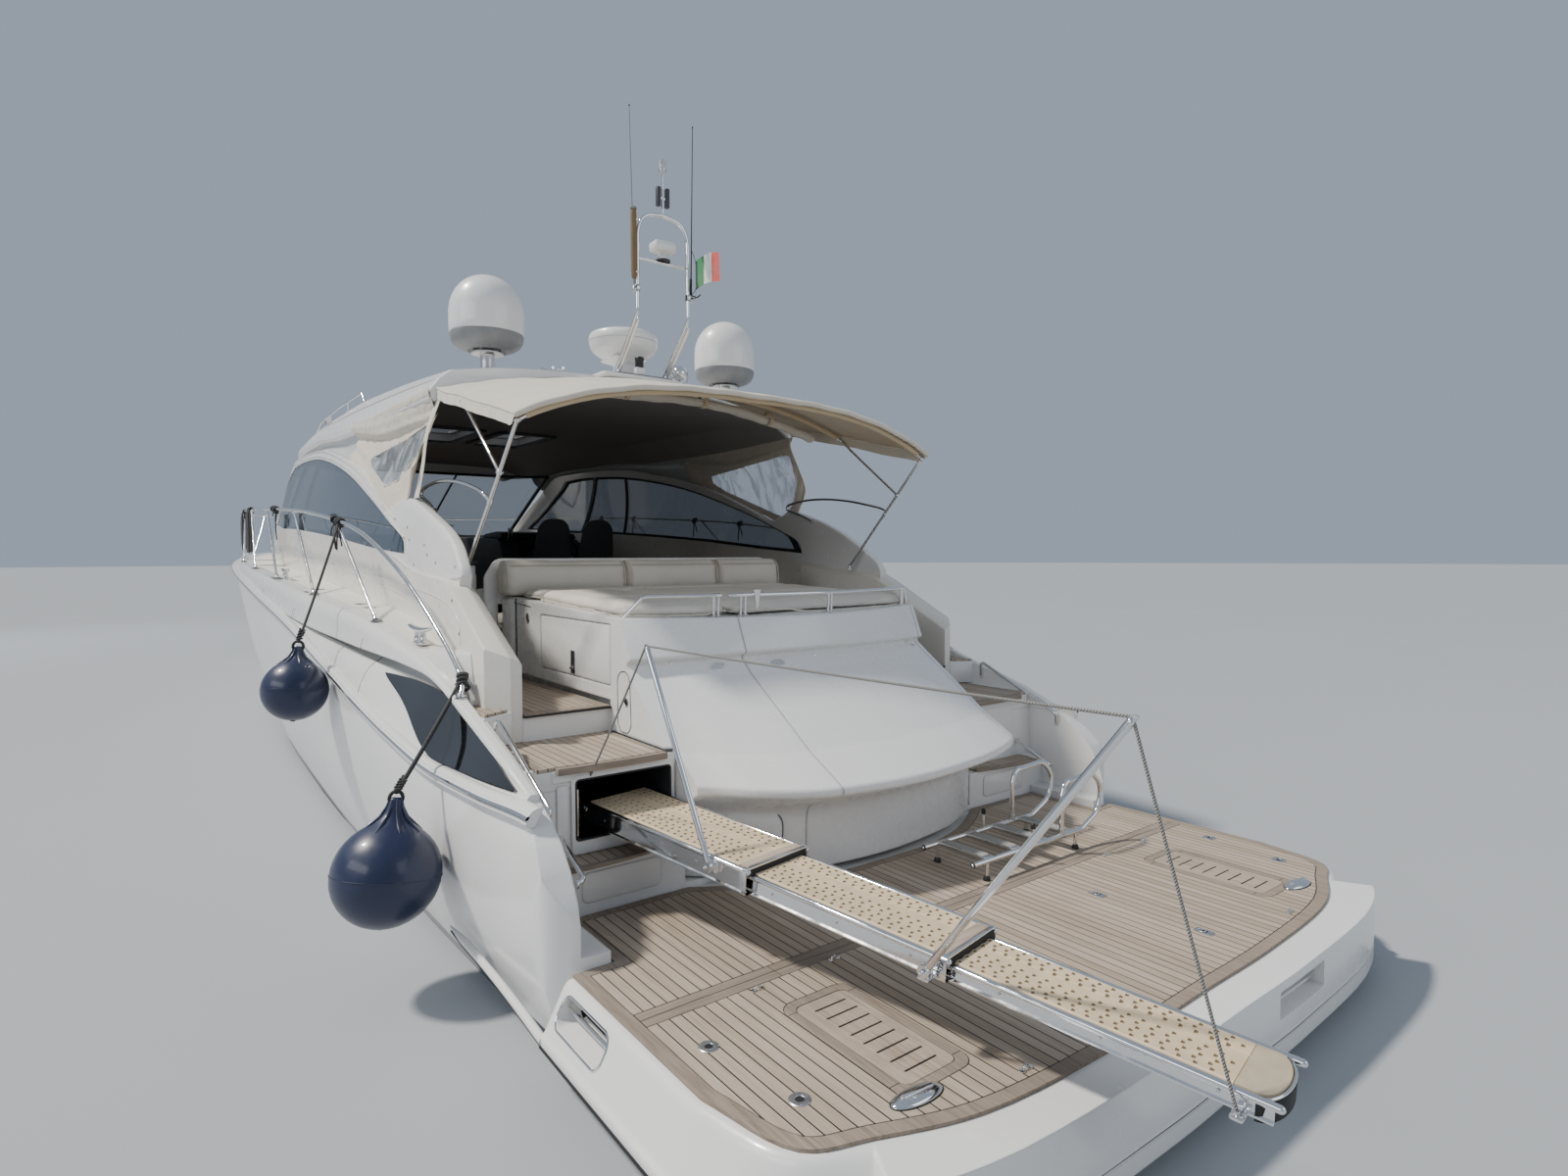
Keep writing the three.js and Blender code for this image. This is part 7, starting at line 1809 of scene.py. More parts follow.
# hand rails on the roof with three posts, and a side lamp
for f in (lambda q: q, mirrored):
    line = [(1.62, 1.66, 3.800), (1.50, 1.70, 3.870), (0.25, 1.745, 3.985), (-1.10, 1.760, 4.015), (-2.25, 1.760, 4.010), (-2.40, 1.745, 3.93)]
    def roof_z(x, y):
        P = np.array(roof_outer(x))
        return float(np.interp(y, P[:15, 0], P[:15, 1])) if y <= P[14, 0] else float(np.interp(y, P[14:, 0], P[14:, 1]))
    L_ = [(x, RSY(x) - 0.005, roof_z(x, RSY(x) - 0.005) + h) for x, h in ((1.35, -0.002), (1.25, 0.095), (0.25, 0.105), (-1.1, 0.105), (-2.25, 0.105), (-2.36, -0.002))]
    roof.add(f(tube(fillet(L_, 0.06, 6, closed=False), 0.0125, 12)), STEEL)
    for x in (0.45, -0.55, -1.55):
        zb = roof_z(x, RSY(x) - 0.005)
        roof.add(f(tube([(x, RSY(x) - 0.005, zb - 0.003), (x, RSY(x) - 0.005, zb + 0.10)], 0.0085, 10)), STEEL)
        roof.add(f(disc((x, RSY(x) - 0.005, zb - 0.002), (0, 0.25, 1), 0.022, 0.006)), STEEL)
    xl = -0.83
    roof.add(f(place(rbox(-0.045, 0.045, -0.03, 0.03, 0, 0.075, 0.012, 0.02), (xl, RSY(xl) + 0.055, roof_z(xl, RSY(xl) + 0.055) - 0.01), (1, 0, 0), (0, 0.35, 1))), WHITE)
    roof.add(f(place(rbox(-0.030, 0.030, 0.018, 0.034, 0.012, 0.060, 0.006, 0.008), (xl, RSY(xl) + 0.055, roof_z(xl, RSY(xl) + 0.055) - 0.01), (1, 0, 0), (0, 0.35, 1))), GREY_BAND)
roof.done()

# ------------------------------------------------------------------ canvas: bimini, skirt and side curtains
BX = [-6.780, -6.600, -6.100, -5.500, -4.965]
B_H, B_E, B_C = Curve(BX, [1.755, 1.760, 1.760, 1.740, 1.700]), Curve(BX, [3.125, 3.178, 3.300, 3.440, 3.560]), Curve(BX, [3.418, 3.478, 3.592, 3.705, 3.800])


def bimini_z(x, k):
    return lerp(B_E(x), B_C(x), 1 - abs(k) ** (2.2 + 0.8 * smooth((-5.0 - x) / 1.7)))


rngc = np.random.default_rng(11)


def bimini_surface(off=0.0, nx=60, nk=110):
    """Top of the canvas: stretched over the bows, sagging a little between them, gathered creases at the bows."""
    P = np.zeros((nx, nk, 3))
    xs_, ks = np.linspace(-6.780, -4.965, nx), np.linspace(-1, 1, nk)
    for i, x in enumerate(xs_):
        # distance to the bows: aft bow at -6.73, second at -5.70, lacing at the roof
        t = np.interp(x, [-6.73, -5.70, -4.97], [0, 1, 2])
        sag = sin(pi * (t % 1)) ** 2 * 0.020 if -6.73 < x < -4.97 else 0
        for j, k in enumerate(ks):
            ripple = 0.0035 * sin(k * 31 + 2.1 * sin(x * 3)) * math.exp(-((x + 6.73) / 0.12) ** 2) + 0.003 * sin(k * 44 + x * 5) * math.exp(-((x + 4.97) / 0.18) ** 2)
            diag = 0.004 * sin(9 * x + 14 * k) * (abs(k) ** 3)
            z = bimini_z(x, k) - sag * (1 - 0.6 * abs(k) ** 4) + ripple + diag * 0.6 + off
            P[i, j] = (x, k * B_H(x), z)
    return P


top = bimini_surface(0.004)
canopy = Part("bimini_canvas", replaces=("bimini_canopy",), slot="canvas", sharp=60)
Vb, Fb = shell(top, -0.0028)
n_up = len(Fb)
Vb = np.asarray(Vb)
half_n = len(Vb) // 2
top_f = [f for f in Fb if not all(i >= half_n for i in f)]
low_f = [f for f in Fb if all(i >= half_n for i in f)]
zt_m, zl_m = Vb[:half_n, 2].mean(), Vb[half_n:, 2].mean()
if zl_m > zt_m:
    top_f, low_f = [f for f in Fb if not all(i < half_n for i in f)], [f for f in Fb if all(i < half_n for i in f)]
canopy.add((Vb, top_f), CANVAS)
# the underside gets the tan canvas: painted glow of sun through the canvas
canopy.F += [tuple(f) for f in low_f]
canopy.mats.append(CANVAS_TAN_AND_GLOW)
canopy.M += [1] * len(low_f)
canopy_obj = canopy.done()

hem = Part("bimini_hem", slot="canvas", sharp=60)
P0 = bimini_surface(0.0, 60, 110)
edge_aft = [tuple(P0[0, j]) for j in range(110)]
edge_p = [tuple(P0[i, -1]) for i in range(60)]
edge_s = [tuple(P0[i, 0]) for i in range(60)]
hem.add(tube(resample(np.array(edge_aft), 90), 0.019, 10, dome=True, flat=(1, 1)), CANVAS)
for e in (edge_p, edge_s):
    hem.add(tube(resample(np.array(e), 40), 0.010, 8, dome=True), CANVAS)
# valance: short hanging strip along the sides, gently wavy
for e, dirn in ((edge_p, 1), (edge_s, -1)):
    rows = []
    for i, p in enumerate(e):
        x = p[0]
        w = 0.004 * sin(i * 0.9) + 0.003 * sin(i * 2.3)
        d = 0.085 * smooth((x + 6.79) / 0.10)
        rows.append([(x, p[1] + dirn * (0.004 + w * t), p[2] + 0.002 - d * t) for t in np.linspace(0, 1, 5)])
    hem.add(shell(np.array(rows), 0.0025), CANVAS)
# seams: flat-felled lines across the canopy
for k in (-0.52, 0.0, 0.52):
    line = [(x, k * B_H(x), 0) for x in np.linspace(-6.77, -4.97, 50)]
    j = int(round((k + 1) / 2 * 109))
    pts = [tuple(P0[i, j] + arr(0, 0, 0.0045)) for i in range(60)]
    for dy_ in (-0.011, 0.011):
        hem.add(tube([(a, b + dy_, c) for a, b, c in pts], 0.0016, 5), SEAM_DARK)
for i in (2, 34):
    hem.add(tube([tuple(P0[i, j] + arr(0, 0, 0.0045)) for j in range(110)], 0.0016, 5), SEAM_DARK)
# pocket sleeves that hold the bows
for xb in (-6.73, -5.70):
    sl = [(xb, k * 1.735, bimini_z(xb, k) - 0.034) for k in np.linspace(-0.97, 0.97, 60)]
    hem.add(tube(sl, 0.021, 8, flat=(1.0, 1.15)), CANVAS_TAN_AND_GLOW)
hem_obj = hem.done()

# frame
fr = Part("bimini_frame_tubes", replaces=("bimini_frame",), slot="stainless", sharp=40)
FOOTB = (-5.790, 1.765, 2.160)
bows = []
for xb, low in ((-6.730, 0.010), (-5.700, 0.0)):
    pts = [(xb, k * 1.735, bimini_z(xb, k) - 0.038) for k in np.linspace(-1, 1, 50)]
    pts[0] = (xb, -1.735, pts[0][2] - low)
    pts[-1] = (xb, 1.735, pts[-1][2] - low)
    fr.add(tube(pts, 0.0135, 12), STEEL)
MIDB = tuple(lerp(arr(-6.730, 1.735, bimini_z(-6.73, 1) - 0.046), arr(*FOOTB), 0.310))
for f in (lambda q: q, mirrored):
    a = (-6.730, 1.735, bimini_z(-6.73, 1) - 0.046)
    fr.add(f(tube(fillet([a, MIDB, (FOOTB[0], FOOTB[1], FOOTB[2] + 0.012)], 0.02, 3, closed=False), 0.0135, 12, dome=True)), STEEL)
    b = (-5.700, 1.735, bimini_z(-5.70, 1) - 0.040)
    fr.add(f(tube([b, MIDB], 0.0115, 12, dome=True)), STEEL)
    GA = lerp(arr(-6.730, 1.735, bimini_z(-6.73, 1) - 0.046), arr(*FOOTB), 0.490)
    g_ = crom([tuple(GA), (-6.260, 1.778, 2.672), (-5.960, 1.780, 2.752), (-5.560, 1.782, 2.812), (-5.180, 1.784, 2.828), (-4.900, 1.788, 2.806), (-4.805, 1.790, 2.782), (-4.800, 1.792, 2.752), (-4.880, 1.794, 2.722), (-5.040, 1.798, 2.676), (-5.190, 1.806, 2.618)], 6)
    fr.add(f(disc((-5.196, 1.806, 2.614), (0.8, 0, 0.6), 0.026, 0.008, 0.003, 18)), STEEL)
    fr.add(f(tube(g_, 0.0125, 12, dome=True)), STEEL)
    # fittings: eye ends, knuckles, deck hinge
    for p in (a, b, MIDB):
        fr.add(f(ball(p, 0.021, 14, 8)), STEEL)
        fr.add(f(lathe([(0, -0.022), (0.008, -0.022), (0.008, 0.022), (0, 0.022)], 12, p, (0, 1, 0))), STEEL)
    fr.add(f(lathe([(0, 0), (0.032, 0), (0.032, 0.006), (0.018, 0.012), (0.016, 0.03), (0, 0.03)], 20, (FOOTB[0], FOOTB[1], FOOTB[2] - 0.010))), STEEL)
    fr.add(f(lathe([(0, -0.018), (0.018, -0.018), (0.018, 0.018), (0, 0.018)], 16, tuple(GA), (-0.6, -0.1, 0.8))), STEEL)
fr.done()

# rolled-up back panel strapped under the second bow
roll = Part("rolled_canvas", slot="canvas", sharp=60)
rp, rr2 = [], []
for k in np.linspace(-0.93, 0.93, 90):
    rp.append((-5.46 + 0.015 * sin(k * 9), k * 1.66, bimini_z(-5.46, k) - 0.105 - 0.010 * abs(sin(k * 6.6))))
    rr2.append(0.046 + 0.008 * sin(k * 37) * 0.5 + 0.006 * sin(k * 11 + 1) - 0.012 * math.exp(-((abs(k) - 0.22) / 0.02) ** 2) - 0.012 * math.exp(-((abs(k) - 0.64) / 0.02) ** 2))
roll.add(tube(rp, rr2, 16, dome=True, flat=(1.15, 0.85)), CANVAS_SKIRT)
for q in range(3):  # wraps seen as ridges
    roll.add(tube([(a + 0.044 * cos(1.2 + q * 1.5), b, c + 0.036 * sin(1.2 + q * 1.5)) for a, b, c in rp], 0.007, 6), CANVAS_SKIRT)
roll.done()
straps = Part("roll_straps", slot="canvas", sharp=60)
for k in (-0.64, -0.22, 0.22, 0.64):
    c = (-5.46, k * 1.66, bimini_z(-5.46, k) - 0.105)
    loop = [(c[0] + 0.062 * cos(t) * 1.1, c[1] + w, c[2] + 0.012 + 0.060 * sin(t)) for t in np.linspace(0, 2 * pi, 24)[:-1] for w in (0,)]
    rows = [[(p[0], p[1] - 0.019, p[2]), (p[0], p[1] + 0.019, p[2])] for p in loop + [loop[0]]]
    straps.add(shell(np.array(rows), 0.003), CANVAS_TAN_AND_GLOW)
    straps.add(tube([(c[0], c[1], c[2] + 0.07), (c[0], c[1], c[2] + 0.105)], 0.010, 8), CANVAS_TAN_AND_GLOW)
straps.done()

# canvas skirt under the aft part of the roof's edge: a folded apron with hanging creases
for tag, f in (("port", lambda q: q), ("starboard", mirrored)):
    sk = Part("side_curtain_canvas_" + tag, replaces=("side_curtain_" + tag,), slot="canvas", sharp=60)
    z_hi = Curve([-4.955, -4.4, -3.4, -2.55], [3.560, 3.545, 3.525, 3.560])
    z_lo = Curve([-4.955, -4.4, -3.72, -2.55], [3.345, 3.310, 3.272, 3.400])
    rows = []
    for i, x in enumerate(np.linspace(-4.955, -2.55, 90)):
        row = []
        for j, t in enumerate(np.linspace(0, 1, 14)):
            z = lerp(z_hi(x), z_lo(x), t)
            fold = 0.020 * sin(6.0 * t + 2.2 * x) * t + 0.010 * sin(17 * t + 3.1 * x + 1) * t * (1 - 0.4 * t) + 0.006 * sin(x * 24 + 5 * t) * t
            row.append((x, REY(x) + 0.008 - 0.075 * t * t + fold, z))
        rows.append(row)
    sheet = shell(np.array(rows), 0.0035)
    sk.add(f(sheet), CANVAS_SKIRT)
    # curtain below: canvas border round a clear panel, laced down to the arch
    top_pts = crom([(-2.62, 3.425), (-2.95, 3.385), (-3.35, 3.330), (-3.8, 3.305), (-4.3, 3.320), (-4.955, 3.370)], 8)
    low_pts = crom([(-2.62, 3.200), (-2.95, 3.085), (-3.5, 2.945), (-4.0, 2.795), (-4.45, 2.640), (-4.70, 2.605), (-4.86, 2.74), (-4.955, 2.95)], 8)
    tp, lp = resample(top_pts, 60), resample(low_pts, 60)
    rows = []
    for i in range(60):
        row = []
        for t in np.linspace(0, 1, 26):
            x, z = lerp(tp[i][0], lp[i][0], t), lerp(tp[i][1], lp[i][1], t)
            yt_, yb_ = REY(x) - 0.06, wall_y(min(max(x, -6.4), 3), W_TOP(x)) - 0.012
            crease = 0.010 * sin(11 * t + 5 * x) * sin(pi * t) + 0.006 * sin(26 * x + 9 * t) * sin(pi * t)
            row.append((x, lerp(yt_, yb_, t) + crease, z))
        rows.append(row)
    P_ = np.array(rows)
    Vc, Fc = shell(P_, 0.0025)
    Vc = np.asarray(Vc)
    vin = [(-3.30, 3.165), (-3.55, 3.06), (-4.15, 2.86), (-4.40, 2.90), (-4.72, 3.06), (-4.875, 3.32), (-4.2, 3.24)] if tag == "port" else [(-3.10, 3.195), (-3.60, 2.985), (-4.20, 2.790), (-4.58, 2.675), (-4.80, 2.790), (-4.905, 3.000), (-4.918, 3.310), (-4.2, 3.262)]
    vpoly = fillet(vin, 0.05, 5)

    def inside(px, pz):
        c_ = False
        for i_ in range(len(vpoly)):
            x1, z1 = vpoly[i_]
            x2, z2 = vpoly[i_ - 1]
            if (z1 > pz) != (z2 > pz) and px < (x2 - x1) * (pz - z1) / (z2 - z1) + x1:
                c_ = not c_
        return c_
    cf, vf = [], []
    for fc in Fc:
        c_ = Vc[list(fc)].mean(0)
        (vf if inside(c_[0], c_[2]) else cf).append(fc)
    sk.add(f((Vc, cf)), CANVAS_SKIRT)
    base = sk.n - len(Vc)
    sk.mats.append(VINYL)
    k_ = sk.mats.index(VINYL)
    vf_ = [fc[::-1] for fc in vf] if f is mirrored else vf
    sk.F += [tuple(int(i_) + base for i_ in fc) for fc in vf_]
    sk.M += [k_] * len(vf_)
    # welt round the clear panel and the hem rope
    welt = []
    for x, z in np.vstack([vpoly, vpoly[:1]]):
        yt_, yb_ = REY(x) - 0.06, wall_y(x, W_TOP(x)) - 0.012
        i = int(np.argmin(((P_[:, :, 0] - x) ** 2 + (P_[:, :, 2] - z) ** 2)))
        a_, b_ = divmod(i, P_.shape[1])
        welt.append((x, P_[a_, b_, 1] + 0.003, z))
    sk.add(f(tube(resample(np.array(welt), 80)[:-1], 0.006, 6, closed=True)), CANVAS)
    sk.add(f(tube([(x, wall_y(x, W_TOP(x)) - 0.006, z) for x, z in lp], 0.009, 8, dome=True)), CANVAS)
    # aft hem: a broad folded strip from the roof to the fairing
    strip_l = [(-4.955, REY(-4.95) - 0.055, 3.46), (-4.965, 1.79, 3.20), (-4.975, 1.83, 2.95), (-4.945, 1.87, 2.72)]
    if tag == "starboard":  # this one is folded narrow
        strip_l = [(-4.955, P_[-1, 0, 1], 3.46), tuple(P_[-1, 0]), tuple(P_[-1, 13]), tuple(P_[-1, 25]), (-4.945, 1.858, 2.80)]
    sl2 = crom(strip_l, 8)
    strip_w = np.linspace(-0.085, 0.03, 7) if tag == "port" else np.linspace(-0.020, 0.016, 5)
    rows = [[(x + dxx, y + 0.004 * sin(dxx * 90 + z * 7), z) for dxx in strip_w] for x, y, z in sl2]
    sk.add(f(shell(np.array(rows), 0.004)), CANVAS)
    so = sk.done()

# ------------------------------------------------------------------ roof gear
def roof_at(x, y):
    P = np.array(roof_outer(x))
    y = abs(y)
    return float(np.interp(y, P[:15, 0], P[:15, 1])) if y <= P[14, 0] else float(np.interp(y, P[14:, 0], P[14:, 1]))


for tag, s in (("port", 1), ("starboard", -1)):
    d = Part("satellite_dome_shell_" + tag, replaces=("satellite_dome_" + tag,), slot="radome", sharp=28)
    at, b = (-4.560, s * 1.185, 0), 3.990
    z0 = roof_at(-4.56, 1.185)
    prof = [(0.0, b + 0.012), (0.140, b + 0.012), (0.150, b + 0.004), (0.158, b - 0.004), (0.176, b - 0.004), (0.190, b + 0.000), (0.240, b + 0.022), (0.268, b + 0.044), (0.286, b + 0.074), (0.2935, b + 0.104), (0.2955, b + 0.128)]
    d.add(lathe(prof + [(0.2935, b + 0.131), (0.2925, b + 0.134), (0.0, b + 0.134)], 64, at), GREY_BAND)
    white = [(0.0, b + 0.13), (0.2925, b + 0.1335), (0.2965, b + 0.1365), (0.2985, b + 0.141), (0.300, b + 0.19), (0.300, b + 0.30)]
    for k in range(1, 17):
        t = pi / 2 * k / 16
        white.append((0.300 * cos(t) ** 0.93, b + 0.300 + 0.318 * sin(t) ** 1.03))
    white[-1] = (0.0, b + 0.618)
    d.add(lathe(white, 64, at), RADOME)
    # pedestal: flange, tube and head plate with nuts
    d.add(lathe([(0, z0 - 0.012), (0.150, z0 - 0.012), (0.152, z0 + 0.004), (0.146, z0 + 0.012), (0.075, z0 + 0.016), (0.062, z0 + 0.024), (0.056, z0 + 0.045), (0.056, b - 0.05), (0.062, b - 0.034), (0.10, b - 0.030), (0.128, b - 0.028), (0.130, b - 0.018), (0.0, b - 0.018)], 40, at), STEEL_DULL)
    for k in range(4):
        a = pi / 4 + k * pi / 2
        d.add(disc((at[0] + 0.115 * cos(a), at[1] + 0.115 * sin(a), b - 0.022), (0, 0, 1), 0.011, 0.034, 0.002, 6), STEEL)
        d.add(disc((at[0] + 0.122 * cos(a), at[1] + 0.122 * sin(a), z0 + 0.010), (0, 0, 1), 0.011, 0.009, 0.003, 6), STEEL)
    d.add(tube([(at[0] + 0.05, at[1] - 0.02, z0 + 0.0), (at[0] + 0.066, at[1] - 0.02, z0 + 0.09), (at[0] + 0.06, at[1] - 0.015, b - 0.02)], 0.008, 8), BLACK)
    d.done()

# radar on its bracket, over a plinth moulded with the roof
zr = roof_at(-4.7, 0)
rd = Part("radar_radome", replaces=("radar_dome",), slot="radome", sharp=30)
ra = (-4.700, 0.0, 0)
base = zr + 0.012
prof = [(0.0, base + 0.192), (0.165, base + 0.192), (0.185, base + 0.198), (0.200, base + 0.208), (0.250, base + 0.238), (0.283, base + 0.268), (0.300, base + 0.302), (0.3065, base + 0.338), (0.3085, base + 0.342), (0.3085, base + 0.346), (0.310, base + 0.350), (0.310, base + 0.372), (0.305, base + 0.398), (0.288, base + 0.420), (0.255, base + 0.433), (0.19, base + 0.440), (0.10, base + 0.444), (0.0, base + 0.445)]
rd.add(lathe(prof, 72, ra), RADOME)
rd.add(lathe([(0.3060, base + 0.3425), (0.3088, base + 0.3425), (0.3088, base + 0.3475), (0.3060, base + 0.3475)], 72, ra), GREY_BAND)
# bracket: a folded white plate stand
rd.add(loft([[(ra[0] + cx, cy, z) for cx, cy in rrect(-a, a, -b_, b_, 0.03, 4)] for z, a, b_ in ((base - 0.004, 0.150, 0.135), (base + 0.010, 0.150, 0.135), (base + 0.018, 0.110, 0.100), (base + 0.085, 0.072, 0.070), (base + 0.150, 0.085, 0.082), (base + 0.180, 0.155, 0.140), (base + 0.194, 0.175, 0.160))]), RADOME)
for sx in (-1, 1):
    for sy in (-1, 1):
        rd.add(disc((ra[0] + sx * 0.125, sy * 0.11, base + 0.008), (0, 0, 1), 0.010, 0.010, 0.003, 6), STEEL)
        rd.add(disc((ra[0] + sx * 0.150, sy * 0.13, base + 0.176), (0, 0, 1), 0.010, 0.014, 0.003, 6), STEEL)
rd.done()

# ------------------------------------------------------------------ mast
mast = Part("mast", replaces=("mast_frame",), slot="stainless", sharp=40)
zm = roof_at(-4.93, 0.0) + 0.002
mast.add(slab(rrect(-5.110, -4.420, -0.40, 0.40, 0.07, 5), zm - 0.03, zm + 0.010, "z", 0.012, 3), GEL)
mast.add(slab(rrect(-5.100, -4.900, -0.285, 0.285, 0.025, 4), zm + 0.009, zm + 0.021, "z", 0.003, 2), GREY_BAND)
for s in (1, -1):
    leg = fillet([(-4.985, s * 0.232, zm + 0.012), (-5.430, s * 0.240, 4.270), (-5.430, s * 0.236, 4.960), (-5.430, s * 0.175, 5.085), (-5.430, 0.0, 5.112)], [0, 0.14, 0.30, 0.16, 0], 8, closed=False)
    mast.add(tube(leg, 0.016, 14), STEEL)
    mast.add(tube([(-5.060, s * 0.232, zm + 0.012), (-5.415, s * 0.240, 4.185), (-5.436, s * 0.2395, 4.225)], 0.0145, 12, dome=True), STEEL)
    for x in (-4.985, -5.060):
        mast.add(lathe([(0, 0), (0.032, 0), (0.032, 0.005), (0.020, 0.009), (0.019, 0.022), (0, 0.022)], 20, (x, s * 0.232, zm + 0.019)), STEEL)
    # whip aerial in its ratchet mount
    m0, top = arr(-5.430, s * 0.268, 4.47), arr(-5.425, s * 0.298, 5.925)
    mast.add(tube([m0, lerp(m0, top, 0.12), lerp(m0, top, 0.121), lerp(m0, top, 0.4), lerp(m0, top, 0.97), top], [0.011, 0.010, 0.0065, 0.0052, 0.0036, 0.0032], 10, dome=True), LINE_BLACK if s < 0 else GREY_BAND)
    mast.add(ball(tuple(top), 0.0075, 12, 8), BLACK)
    mast.add(lathe([(0, -0.030), (0.017, -0.030), (0.019, -0.02), (0.019, 0.02), (0.017, 0.030), (0, 0.030)], 18, (-5.430, s * 0.268, 4.475), (0, 0, 1)), STEEL_DULL)
    mast.add(rbox(-5.455, -5.405, *sorted((s * 0.224, s * 0.262)), 4.452, 4.498, 0.006), STEEL_DULL)
    mast.add(tube([(-5.43, s * 0.262, 4.475), (-5.49, s * 0.275, 4.470)], 0.006, 8, dome=True), BLACK)
    mast.add(lathe([(0, -0.024), (0.022, -0.024), (0.022, 0.024), (0, 0.024)], 16, (-5.430, s * 0.240, 4.475)), BLACK)
# furled ensign sleeve on the port leg
sl = [(-5.432, 0.272, 4.56 + 0.545 * t) for t in np.linspace(0, 1, 12)]
mast.add(tube(sl, [0.020, 0.024, 0.025, 0.025, 0.026, 0.025, 0.025, 0.026, 0.025, 0.025, 0.026, 0.022], 14, dome=True), plastic("weathered_sleeve", (0.20, 0.13, 0.065), 0.7, 0.4, 60))
mast.add(lathe([(0, 0), (0.027, 0), (0.029, 0.004), (0.029, 0.016), (0.024, 0.020), (0, 0.020)], 18, (-5.432, 0.272, 5.10)), GREY_BAND)
for z in (4.60, 5.02):
    mast.add(rbox(-5.452, -5.410, 0.236, 0.285, z - 0.008, z + 0.008, 0.003), STEEL_DULL)
# crossbar with the camera head, pole with the all-round lamp and two horn cans
mast.add(tube([(-5.430, 0.236, 4.720), (-5.430, -0.236, 4.720)], 0.0125, 12), STEEL)
mast.add(lathe([(0, 0), (0.062, 0), (0.062, 0.012), (0.030, 0.016), (0, 0.016)], 24, (-5.43, 0, 4.732)), BLACK)
mast.add(loft([[(x, y, z) for x, y in rrect(-5.43 - a, -5.43 + a, -b_, b_, 0.02, 4)] for z, a, b_ in ((4.746, 0.030, 0.036), (4.775, 0.024, 0.028), (4.795, 0.034, 0.040), (4.812, 0.060, 0.090))]), RADOME)
mast.add(loft([[(x, y, z) for x, y in rrect(-5.43 - a, -5.43 + a, -b_, b_, 0.022, 5)] for z, a, b_ in ((4.806, 0.055, 0.082), (4.812, 0.064, 0.092), (4.822, 0.069, 0.098), (4.868, 0.070, 0.100), (4.880, 0.066, 0.096), (4.888, 0.052, 0.082))]), RADOME)
mast.add(tube([(-5.430, 0, 5.10), (-5.430, 0, 5.475)], 0.0115, 12), STEEL)
mast.add(lathe([(0, 5.455), (0.022, 5.455), (0.030, 5.470), (0.034, 5.478), (0.034, 5.490), (0.026, 5.494), (0.026, 5.540), (0.033, 5.544), (0.033, 5.552), (0.020, 5.566), (0.008, 5.572), (0, 5.573)], 28, (-5.430, 0, 0)), STEEL_DULL)
mast.add(lathe([(0.0262, 5.497), (0.0268, 5.498), (0.0268, 5.537), (0.0262, 5.538)], 28, (-5.430, 0, 0)), CHROME_LENS)
for s in (1, -1):
    mast.add(rbox(-5.452, -5.412, *sorted((s * 0.024, s * 0.058)), 5.180, 5.340, 0.007), DARK_GREY)
    mast.add(rbox(-5.438, -5.424, *sorted((s * 0.008, s * 0.028)), 5.24, 5.27, 0.002), STEEL_DULL)
# horn and junction box on the foot plate
mast.add(rbox(-5.085, -5.025, -0.012, 0.072, zm + 0.018, zm + 0.085, 0.008), WHITE)
mast.add(lathe([(0, 0), (0.034, 0), (0.036, 0.006), (0.036, 0.060), (0.040, 0.066), (0.040, 0.086), (0.034, 0.094), (0, 0.095)], 24, (-5.050, 0.028, zm + 0.083)), BLACK)
for dy_ in (0.0, 0.056):
    mast.add(disc((-5.084, dy_ + 0.002, zm + 0.05), (-1, 0, 0), 0.005, 0.003, 0.001, 10), STEEL_DULL)
# searchlight and trumpet horns
sx_, sy_ = -4.760, -0.540
zs_ = roof_at(sx_, sy_)
mast.add(lathe([(0, zs_ - 0.006), (0.070, zs_ - 0.006), (0.072, zs_ + 0.006), (0.050, zs_ + 0.016), (0.040, zs_ + 0.060), (0, zs_ + 0.064)], 28, (sx_, sy_, 0)), STEEL)
for s in (1, -1):
    mast.add(tube([(sx_, sy_ + s * 0.020, zs_ + 0.05), (sx_, sy_ + s * 0.088, zs_ + 0.075), (sx_, sy_ + s * 0.094, zs_ + 0.155)], 0.008, 8, dome=True), STEEL)
mast.add(lathe([(0, -0.085), (0.030, -0.083), (0.058, -0.062), (0.074, -0.020), (0.080, 0.040), (0.084, 0.050), (0.084, 0.068), (0.078, 0.073), (0.074, 0.062), (0.0, 0.060)], 32, (sx_, sy_, zs_ + 0.150), (0.98, 0, 0.10)), STEEL)
mast.add(lathe([(0, 0), (0.0735, 0), (0.074, 0.004), (0, 0.008)], 32, (sx_ + 0.060, sy_, zs_ + 0.156), (0.98, 0, 0.10)), CHROME_LENS)
for k, (yy, ln) in enumerate(((0.60, 0.30), (0.68, 0.24))):
    zz = roof_at(-4.6, yy)
    mast.add(lathe([(0, -ln * 0.5), (0.012, -ln * 0.5), (0.011, 0), (0.014, ln * 0.25), (0.024, ln * 0.42), (0.042, ln * 0.5), (0.038, ln * 0.5), (0.020, ln * 0.40), (0, ln * 0.3)], 24, (-4.60, yy, zz + 0.055), (1, 0, 0)), STEEL)
    mast.add(rbox(-4.64, -4.60, yy - 0.012, yy + 0.012, zz - 0.005, zz + 0.05, 0.004), STEEL_DULL)
mast.done()

